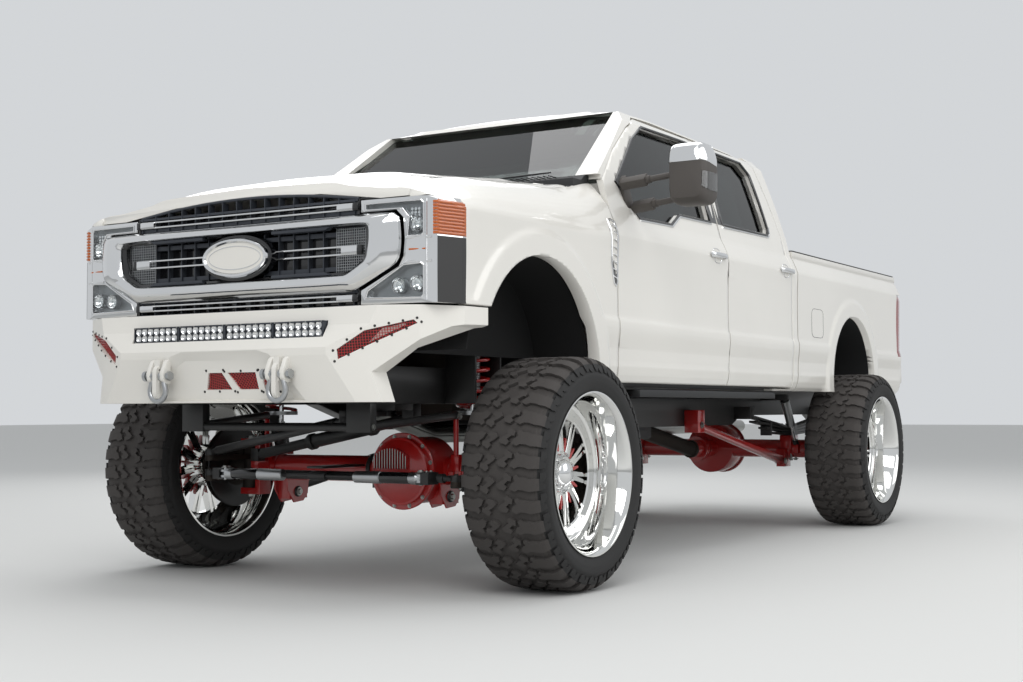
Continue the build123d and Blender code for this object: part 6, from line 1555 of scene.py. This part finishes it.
def add_door_trim(sizes):
    """Handles with recessed cups, window seals and the bright belt strips."""
    for side, sign in SIDES:
        for end, station in HANDLES:
            name = f"door_{end}_{side}"
            chrome, dark, cup = (bmesh.new() for _ in range(3))
            skin = skin_x(1602)
            path = [at(sign * (skin + depth), station + reach, 1602) for reach, depth in
                    ((-92, 0), (-84, 14), (-66, 22), (-30, 25), (30, 25), (66, 22), (84, 14), (92, 0))]
            wires(chrome, [path], 11, 5)
            middle = at(sign * (skin + 18), station, 1602)
            bmesh.ops.scale(chrome, vec=(0.8, 1, 1.35), verts=chrome.verts, space=Matrix.Translation(-middle))
            corners = [(station - 46, 1562), (station + 46, 1562), (station + 46, 1642), (station - 46, 1642)]
            cup_edge = smooth_outline(corners, 0.4, 3)
            wires(chrome, [on_side(cup_edge, sign, 0.4)], 2.6, 2, True)
            plate(cup, on_side(cup_edge, sign, -1.5), Vector((2.4 * MM * sign, 0, 0)))
            window = FRONT_WINDOW if end == "front" else REAR_WINDOW
            wires(dark, [on_side(dense(window), sign, -2.0)], 8, 3, True)
            belt = FRONT_WINDOW[4:] if end == "front" else REAR_BELT
            belt = dense([(place, z - 10) for place, z in belt], False)
            wires(chrome, [on_side(belt, sign, 0.5)], 6, 3)
            front, back = (1892, 1962) if end == "front" else (1979, 2030)
            post = dense([(front, 1795), (back, 1795), (back, 2238), (front, 2238)], True, 30)
            plate(dark, on_side(post, sign, -1.5), Vector((3 * MM * sign, 0, 0)))
            piece(chrome, f"{name}_brightwork", name, *CHROME)
            piece(dark, f"{name}_seal", name, *GLOSS_BLACK)
            piece(cup, f"{name}_handle_cup", name, *WHITE)


# Heights of the bright lines on a tail lamp and of the caps' underside and top
LAMP_LINES = (1300, 1452)
CAP_Z = (1736, 1750)
VENT = [(566, 1662), (600, 1668), (634, 1660), (634, 1372), (618, 1352), (598, 1366), (574, 1450)]
FUEL_DOOR = [(3306, 1222), (3520, 1222), (3520, 1402), (3306, 1402)]


def add_vents(sizes):
    """Fender vents, fuel door, roof fin, wipers and the cowl's louvres."""
    chrome, dark, black = (bmesh.new() for _ in range(3))
    for _, sign in SIDES:
        wires(chrome, [on_side(dense(VENT), sign, 0.5)], 5, 3, True)
        plate(dark, on_side(VENT, sign, -2), Vector((5.5 * MM * sign, 0, 0)))
        for z in steps(1392, 1636, 7):
            x = sign * (skin_x(z) + 4)
            rod(chrome, at(x, 590, z + 6), at(x, 630, z - 6), 3.4, sides=10)
    wires(dark, [on_side(dense(smooth_outline(FUEL_DOOR, 0.25, 2)), 1, -0.4)], 1.6, 2, True)
    fin = [at(600, 1384, 2346), at(600, 1450, 2345), at(600, 1446, 2358), at(600, 1432, 2360)]
    plate(black, fin, Vector((10 * MM, 0, 0)))
    for start, end in (((-660, 548, 1893), (-70, 640, 1925)), ((30, 548, 1893), (640, 640, 1925))):
        rod(black, at(*start), at(*end), 6, 4, sides=10)
    for x in steps(-700, 700, 46):
        block(black, (x - 3, x + 3), (512, 590), (1884, 1889))
    soft_edges(black, 1.5)
    piece(chrome, "fender_vent_frames", "truck", *CHROME)
    piece(dark, "fender_vents", "truck", *GLOSS_BLACK)
    piece(black, "cowl_and_wipers", "truck", *GRAINED)


# Painted shade in the rear arches, black sheets where their insides lie in shade: how far their faces stand
# inside the arch, the band's and the wall's X, and steps round them
ARCH_SHADE_OUTER = 2
ARCH_SHADE_INNER = 6
ARCH_SHADE_X = (668, 972)
ARCH_SHADE_WALL_X = (664, 668)
ARCH_SHADE_STEPS = 40


def add_rear_arch_shade():
    """Black sheets inside the rear wheelhouses, closed towards the frame: painted shade for the arches'
    shaded insides.
    """
    bm = bmesh.new()
    station, z, radius = ARCHES[1]
    for _, sign in SIDES:
        for inner, (near, far) in ((radius - ARCH_SHADE_INNER, ARCH_SHADE_X), (0, ARCH_SHADE_WALL_X)):
            rim = [(radius - ARCH_SHADE_OUTER, turn) for turn in steps(0, math.pi, ARCH_SHADE_STEPS)]
            if inner:
                rim += [(inner, turn) for turn in steps(math.pi, 0, ARCH_SHADE_STEPS)]
            outline = [at(sign * near, station + reach * math.cos(turn), z + reach * math.sin(turn))
                       for reach, turn in rim]
            plate(bm, outline, Vector((sign * (far - near) * MM, 0, 0)))
    # Grained black plastic on sheets that stand in for the shade inside the rear arches: painted shade
    piece(bm, "rear_arch_painted_shade", "truck", *GRAINED)


def add_rear(sizes):
    """Bed rail caps, rear bumper, tailgate handle, tail lamp ribs and painted shade in the rear wheelhouses.
    """
    add_rear_arch_shade()
    caps, chrome, dark, lens, gate = (bmesh.new() for _ in range(5))
    for _, sign in SIDES:
        block(caps, sided(sign, 850, 962), (3080, 5190), CAP_Z)
        for z in LAMP_LINES:
            block(chrome, sided(sign, 886, 1000), (5192, 5200.5), (z - 3, z + 3))
        for z in steps(1180, 1580, 10):
            if all(abs(z - line) > 12 for line in LAMP_LINES):
                block(lens, sided(sign, 892, 990), (5190, 5201), (z - 7, z + 7))
    block(caps, (-838, 838), (3068, 3128), CAP_Z)
    block(gate, (-764, 764), (5124, 5202), (1736, 1746))
    block(gate, (-120, 120), (5194, 5203), (1596, 1668))
    block(chrome, (-170, 170), (5374, 5378), (990, 1084))
    block(dark, (-760, 760), (5240, 5350), (1098, 1104))
    for bm, width in ((caps, 4), (chrome, 1), (dark, 2), (lens, 3), (gate, 3)):
        soft_edges(bm, width, 3)
    handle = bmesh.new()
    block(handle, (-96, 96), (5200, 5212), (1642, 1658))
    soft_edges(handle, 4, 3)
    softened("rear_bumper", *WHITE, 14)
    piece(caps, "bed_rail_caps", "truck", *GRAINED)
    piece(lens, "tail_lamp_ribs", "truck", "red_lens", "red lens")
    piece(chrome, "rear_brightwork", "truck", *CHROME)
    piece(dark, "rear_bumper_tread", "truck", *GRAINED)
    piece(gate, "tailgate_trim", "tailgate", *GRAINED)
    piece(handle, "tailgate_handle", "tailgate", *CHROME)


SEAT_PADS = [
    # name, X, stations and heights of a pad before it swells
    ("seat_left_cushion", (150, 640), (1412, 1880), (1200, 1316)),
    ("seat_left_back", (150, 640), (1854, 1966), (1345, 1800)),
    ("seat_left_head", (270, 520), (1864, 1953), (1815, 1948)),
    ("seat_right_cushion", (-640, -150), (1412, 1880), (1200, 1316)),
    ("seat_right_back", (-640, -150), (1854, 1966), (1345, 1800)),
    ("seat_right_head", (-520, -270), (1864, 1953), (1815, 1948)),
    ("bench_left_cushion", (20, 700), (2440, 2770), (1215, 1336)),
    ("bench_right_cushion", (-700, -20), (2440, 2770), (1215, 1336)),
    ("bench_left_back", (20, 700), (2794, 2886), (1362, 1900)),
    ("bench_right_back", (-700, -20), (2794, 2886), (1362, 1900)),
]
CHANNEL_DEPTH = 6


def pad_shape(bm, x, stations, z, channels, swell):
    """Swells a block into a crowned pad and sinks sewn channels into it."""
    soft_edges(bm, 26, 3)
    cut_lines(bm, steps(x[0], x[1], 24), steps(stations[0], stations[1], 12), steps(z[0], z[1], 14))
    low, high = at(x[0], stations[0], z[0]), at(x[1], stations[1], z[1])
    middle, half = (low + high) / 2, (high - low) / 2
    thin = min(range(3), key=lambda axis: half[axis])
    for vert in bm.verts:
        share = [(vert.co[axis] - middle[axis]) / half[axis] for axis in range(3)]
        crown = 1.0
        for axis in range(3):
            if axis != thin:
                crown *= 1 - abs(share[axis]) ** 2.4
        groove = max((math.exp(-((vert.co.x / MM - cut) / 6) ** 2) for cut in channels), default=0)
        vert.co[thin] += share[thin] * (crown * swell - groove * CHANNEL_DEPTH * blend(0, 0.2, crown)) * MM
        for axis in range(3):
            if axis != thin:
                vert.co[axis] += share[axis] * 4 * MM * (1 - abs(share[thin]))


def add_seats(sizes):
    """Padded seats with crowned cushions and sewn channels, on plain bases."""
    bases = bmesh.new()
    for _, sign in SIDES:
        block(bases, sided(sign, 170, 620), (1424, 1880), (965, 1204))
        block(bases, sided(sign, 150, 640), (1955, 1978), (1340, 1790))
    block(bases, (-700, 700), (2452, 2888), (965, 1220))
    soft_edges(bases, 16, 3)
    piece(bases, "seat_bases", "truck", "trim_plastic", "grey trim plastic", ["seats"])
    for name, x, stations, z in SEAT_PADS:
        bm = bmesh.new()
        block(bm, x, stations, z)
        channels = [] if "head" in name else [x[0] + (x[1] - x[0]) * share for share in (0.2, 0.4, 0.6, 0.8)]
        pad_shape(bm, x, stations, z, channels, sizes.pad_crown / MM)
        pad = piece(bm, name, "truck", "seat_leather", "charcoal leather", recalculate=False, angle=70)
        change = pad.modifiers.new("round", "SUBSURF")
        change.levels = 1
        change.render_levels = 1


def add_dashboard(sizes):
    """Dashboard with its screen and vents, and the steering wheel's hub."""
    softened("dashboard", "trim_plastic", "grey trim plastic", 10)
    dark, bright = bmesh.new(), bmesh.new()
    block(dark, (-110, 110), (994, 1006), (1520, 1660))
    for x in (-650, -260, 180, 690):
        block(dark, (x - 55, x + 55), (996, 1006), (1600, 1650))
        for z in (1612, 1625, 1638):
            block(bright, (x - 50, x + 50), (1004, 1008), (z - 1.5, z + 1.5))
    axis = (at(400, 1180, 1600) - at(400, 980, 1540)).normalized()
    spin(dark, [(-6, 0), (-6, 52), (18, 48), (26, 0)], at(400, 1180, 1600), axis, 36)
    soft_edges(dark, 4, 3)
    piece(dark, "dashboard_panels", "truck", *GLOSS_BLACK)
    piece(bright, "dashboard_vents", "truck", *CHROME)


# Stage, settings and operators

CAMERA = {"place": (4.1207, -7.6350, 0.7742), "lens": 51.10, "yaw": 31.285, "pitch": 2.692, "roll": 0.183}
LAMPS = [
    # name, place, size and power of an area lamp
    ("key", (3.5, -7.5, 6.0), 5.0, 290), ("fill", (7.5, 0.5, 4.5), 6.0, 175),
    ("back", (-5.5, 5.5, 6.0), 6.0, 200), ("over", (0.0, 0.5, 8.0), 7.0, 220),
]
LAMP_AIM = Vector((0, 0, 1))


def add_stage(sizes):
    """Pale floor, soft lamps and the camera."""
    scene = bpy.context.scene
    scene.view_settings.view_transform = "Standard"
    bm = bmesh.new()
    bmesh.ops.create_grid(bm, x_segments=2, y_segments=2, size=60)
    mesh = bpy.data.meshes.new("floor")
    bm.to_mesh(mesh)
    bm.free()
    floor = bpy.data.objects.new("floor", mesh)
    scene.collection.objects.link(floor)
    # Matt pale grey studio floor
    made = bpy.data.materials.new("studio floor")
    made.use_nodes = True
    shader = made.node_tree.nodes["Principled BSDF"]
    shader.inputs["Base Color"].default_value = (*sizes.floor_colour, 1)
    shader.inputs["Roughness"].default_value = 0.9
    mesh.materials.append(made)
    world = bpy.data.worlds.new("studio")
    scene.world = world
    world.use_nodes = True
    world.node_tree.nodes["Background"].inputs["Color"].default_value = linear("E9ECEF")
    world.node_tree.nodes["Background"].inputs["Strength"].default_value = 0.8
    for name, place, size, power in LAMPS:
        data = bpy.data.lights.new(name, "AREA")
        data.size = size
        data.energy = power
        lamp = bpy.data.objects.new(name, data)
        lamp.location = place
        lamp.rotation_euler = (LAMP_AIM - Vector(place)).to_track_quat("-Z", "Y").to_euler()
        scene.collection.objects.link(lamp)
    data = bpy.data.cameras.new("camera")
    data.lens = CAMERA["lens"]
    data.sensor_width = 36
    camera = bpy.data.objects.new("camera", data)
    scene.collection.objects.link(camera)
    yaw, pitch, roll = (math.radians(CAMERA[name]) for name in ("yaw", "pitch", "roll"))
    forward = Vector((-math.sin(yaw) * math.cos(pitch), math.cos(yaw) * math.cos(pitch), math.sin(pitch)))
    right = Vector((math.cos(yaw), math.sin(yaw), 0))
    right = right * math.cos(roll) + forward.cross(right) * math.sin(roll)
    up = right.cross(forward)
    columns = Matrix((right, up, -forward)).transposed().to_4x4()
    camera.matrix_world = Matrix.Translation(CAMERA["place"]) @ columns
    scene.camera = camera


def colour_setting(name, code, description):
    """A colour setting with its default written in hex."""
    return bpy.props.FloatVectorProperty(name=name, description=description, subtype="COLOR", size=3,
                                         min=0, max=1, default=linear(code)[:3])


def length_setting(name, description, default, low, high):
    """A length setting in metres."""
    return bpy.props.FloatProperty(name=name, description=description, default=default, min=low, max=high,
                                   subtype="DISTANCE", unit="LENGTH")


class TruckSettings(bpy.types.PropertyGroup):
    """Sizes and colours that a user would change."""

    paint_colour: colour_setting("Body paint", "E2DFD8", "Colour of the painted body and bumper")
    accent_colour: colour_setting("Red paint", "A81412", "Colour of the axles, springs and bumper inserts")
    seat_colour: colour_setting("Seat leather", "26272A", "Colour of the seats' covers")
    floor_colour: colour_setting("Floor", "C9C9C7", "Colour of the studio floor")
    lug_depth: length_setting("Lug depth", "Height of the tyres' lugs over the carcass", 0.015, 0.009, 0.017)
    coil_wire: length_setting("Coil wire", "Radius of the coil springs' wire", 0.0085, 0.005, 0.011)
    coil_turns: bpy.props.FloatProperty(name="Coil turns", description="Turns of each coil spring",
                                        default=7.5, min=5, max=10)
    pad_crown: length_setting("Pad crown", "How far the seats' pads swell", 0.012, 0.0, 0.014)


class TRUCK_OT_finishes(bpy.types.Operator):
    """Makes the finishes and puts one on each CAD solid"""

    bl_idname = "truck.finishes"
    bl_label = "Finishes"

    def execute(self, context):
        add_finishes(context.scene.truck)
        return {"FINISHED"}


class TRUCK_OT_doors(bpy.types.Operator):
    """Adds the four doors with their glass"""

    bl_idname = "truck.doors"
    bl_label = "Doors"

    def execute(self, context):
        add_doors(context.scene.truck)
        return {"FINISHED"}


class TRUCK_OT_cab(bpy.types.Operator):
    """Adds the pillars, roof, cab back and fixed glass"""

    bl_idname = "truck.cab"
    bl_label = "Cab"

    def execute(self, context):
        add_cab(context.scene.truck)
        return {"FINISHED"}


class TRUCK_OT_nose(bpy.types.Operator):
    """Adds the hood and the front fenders"""

    bl_idname = "truck.nose"
    bl_label = "Hood and fenders"

    def execute(self, context):
        add_nose(context.scene.truck)
        return {"FINISHED"}


class TRUCK_OT_bed(bpy.types.Operator):
    """Adds the load bed, tailgate and tail lamps"""

    bl_idname = "truck.bed"
    bl_label = "Load bed"

    def execute(self, context):
        add_bed(context.scene.truck)
        return {"FINISHED"}


class TRUCK_OT_tyres(bpy.types.Operator):
    """Adds the four treaded tyres"""

    bl_idname = "truck.tyres"
    bl_label = "Tyres"

    def execute(self, context):
        add_tyres(context.scene.truck)
        return {"FINISHED"}


class TRUCK_OT_wheels(bpy.types.Operator):
    """Adds the four wheels with their hubs and discs"""

    bl_idname = "truck.wheels"
    bl_label = "Wheels"

    def execute(self, context):
        add_wheels(context.scene.truck)
        return {"FINISHED"}


class TRUCK_OT_bumper(bpy.types.Operator):
    """Adds the front bumper with its shackles and light bar"""

    bl_idname = "truck.bumper"
    bl_label = "Front bumper"

    def execute(self, context):
        add_bumper(context.scene.truck)
        return {"FINISHED"}


class TRUCK_OT_grille(bpy.types.Operator):
    """Adds the grille, its surround and the blank oval"""

    bl_idname = "truck.grille"
    bl_label = "Grille"

    def execute(self, context):
        add_grille(context.scene.truck)
        return {"FINISHED"}


class TRUCK_OT_headlamps(bpy.types.Operator):
    """Adds the headlamps and their amber markers"""

    bl_idname = "truck.headlamps"
    bl_label = "Headlamps"

    def execute(self, context):
        add_headlamps(context.scene.truck)
        return {"FINISHED"}


class TRUCK_OT_front_axle(bpy.types.Operator):
    """Adds the front axle's cover, clamps and brackets"""

    bl_idname = "truck.front_axle"
    bl_label = "Front axle"

    def execute(self, context):
        add_front_axle(context.scene.truck)
        return {"FINISHED"}


class TRUCK_OT_suspension(bpy.types.Operator):
    """Adds the springs, links, bars and shocks"""

    bl_idname = "truck.suspension"
    bl_label = "Suspension"

    def execute(self, context):
        add_suspension(context.scene.truck)
        return {"FINISHED"}


class TRUCK_OT_steering(bpy.types.Operator):
    """Adds the steering rods, dampers and knuckles"""

    bl_idname = "truck.steering"
    bl_label = "Steering"

    def execute(self, context):
        add_steering(context.scene.truck)
        return {"FINISHED"}


class TRUCK_OT_rear_axle(bpy.types.Operator):
    """Adds the rear axle's cover and ribs"""

    bl_idname = "truck.rear_axle"
    bl_label = "Rear axle"

    def execute(self, context):
        add_rear_axle(context.scene.truck)
        return {"FINISHED"}


class TRUCK_OT_frame(bpy.types.Operator):
    """Adds the frame, liners, drive, tank, exhaust and steps"""

    bl_idname = "truck.frame"
    bl_label = "Frame"

    def execute(self, context):
        add_frame(context.scene.truck)
        return {"FINISHED"}


class TRUCK_OT_mirrors(bpy.types.Operator):
    """Adds the two tall mirrors on their arms"""

    bl_idname = "truck.mirrors"
    bl_label = "Mirrors"

    def execute(self, context):
        add_mirrors(context.scene.truck)
        return {"FINISHED"}


class TRUCK_OT_door_trim(bpy.types.Operator):
    """Adds the door handles, window seals and belt strips"""

    bl_idname = "truck.door_trim"
    bl_label = "Door trim"

    def execute(self, context):
        add_door_trim(context.scene.truck)
        return {"FINISHED"}


class TRUCK_OT_vents(bpy.types.Operator):
    """Adds the fender vents, fuel door line, fin, wipers and cowl louvres"""

    bl_idname = "truck.vents"
    bl_label = "Vents and wipers"

    def execute(self, context):
        add_vents(context.scene.truck)
        return {"FINISHED"}


class TRUCK_OT_rear(bpy.types.Operator):
    """Adds the rear bumper, rail caps, lamp ribs and tailgate trim"""

    bl_idname = "truck.rear"
    bl_label = "Rear trim"

    def execute(self, context):
        add_rear(context.scene.truck)
        return {"FINISHED"}


class TRUCK_OT_seats(bpy.types.Operator):
    """Adds the padded seats"""

    bl_idname = "truck.seats"
    bl_label = "Seats"

    def execute(self, context):
        add_seats(context.scene.truck)
        return {"FINISHED"}


class TRUCK_OT_dashboard(bpy.types.Operator):
    """Adds the dashboard and the steering wheel's hub"""

    bl_idname = "truck.dashboard"
    bl_label = "Dashboard"

    def execute(self, context):
        add_dashboard(context.scene.truck)
        return {"FINISHED"}


class TRUCK_OT_stage(bpy.types.Operator):
    """Adds the floor, lamps and camera"""

    bl_idname = "truck.stage"
    bl_label = "Stage"

    def execute(self, context):
        add_stage(context.scene.truck)
        return {"FINISHED"}


OPERATORS = (
    TRUCK_OT_finishes, TRUCK_OT_doors, TRUCK_OT_cab, TRUCK_OT_nose, TRUCK_OT_bed, TRUCK_OT_tyres,
    TRUCK_OT_wheels, TRUCK_OT_bumper, TRUCK_OT_grille, TRUCK_OT_headlamps, TRUCK_OT_front_axle,
    TRUCK_OT_suspension, TRUCK_OT_steering, TRUCK_OT_rear_axle, TRUCK_OT_frame, TRUCK_OT_mirrors,
    TRUCK_OT_door_trim, TRUCK_OT_vents, TRUCK_OT_rear, TRUCK_OT_seats, TRUCK_OT_dashboard, TRUCK_OT_stage,
)


class TRUCK_PT_panel(bpy.types.Panel):
    """Lists the settings and the operators"""

    bl_idname = "TRUCK_PT_panel"
    bl_label = "Pickup truck"
    bl_space_type = "VIEW_3D"
    bl_region_type = "UI"
    bl_category = "Truck"

    def draw(self, context):
        for name in TruckSettings.__annotations__:
            self.layout.prop(context.scene.truck, name)
        for operator in OPERATORS:
            self.layout.operator(operator.bl_idname)


CLASSES = (TruckSettings, *OPERATORS, TRUCK_PT_panel)


def register():
    """Registers the classes and the scene's settings."""
    for kind in CLASSES:
        bpy.utils.register_class(kind)
    bpy.types.Scene.truck = bpy.props.PointerProperty(type=TruckSettings)


def unregister():
    """Takes the settings and the classes away again."""
    del bpy.types.Scene.truck
    for kind in reversed(CLASSES):
        bpy.utils.unregister_class(kind)


def main():
    """Builds every piece in order."""
    register()
    for operator in OPERATORS:
        getattr(bpy.ops.truck, operator.bl_idname.split(".")[1])()


if __name__ == "__main__":
    main()
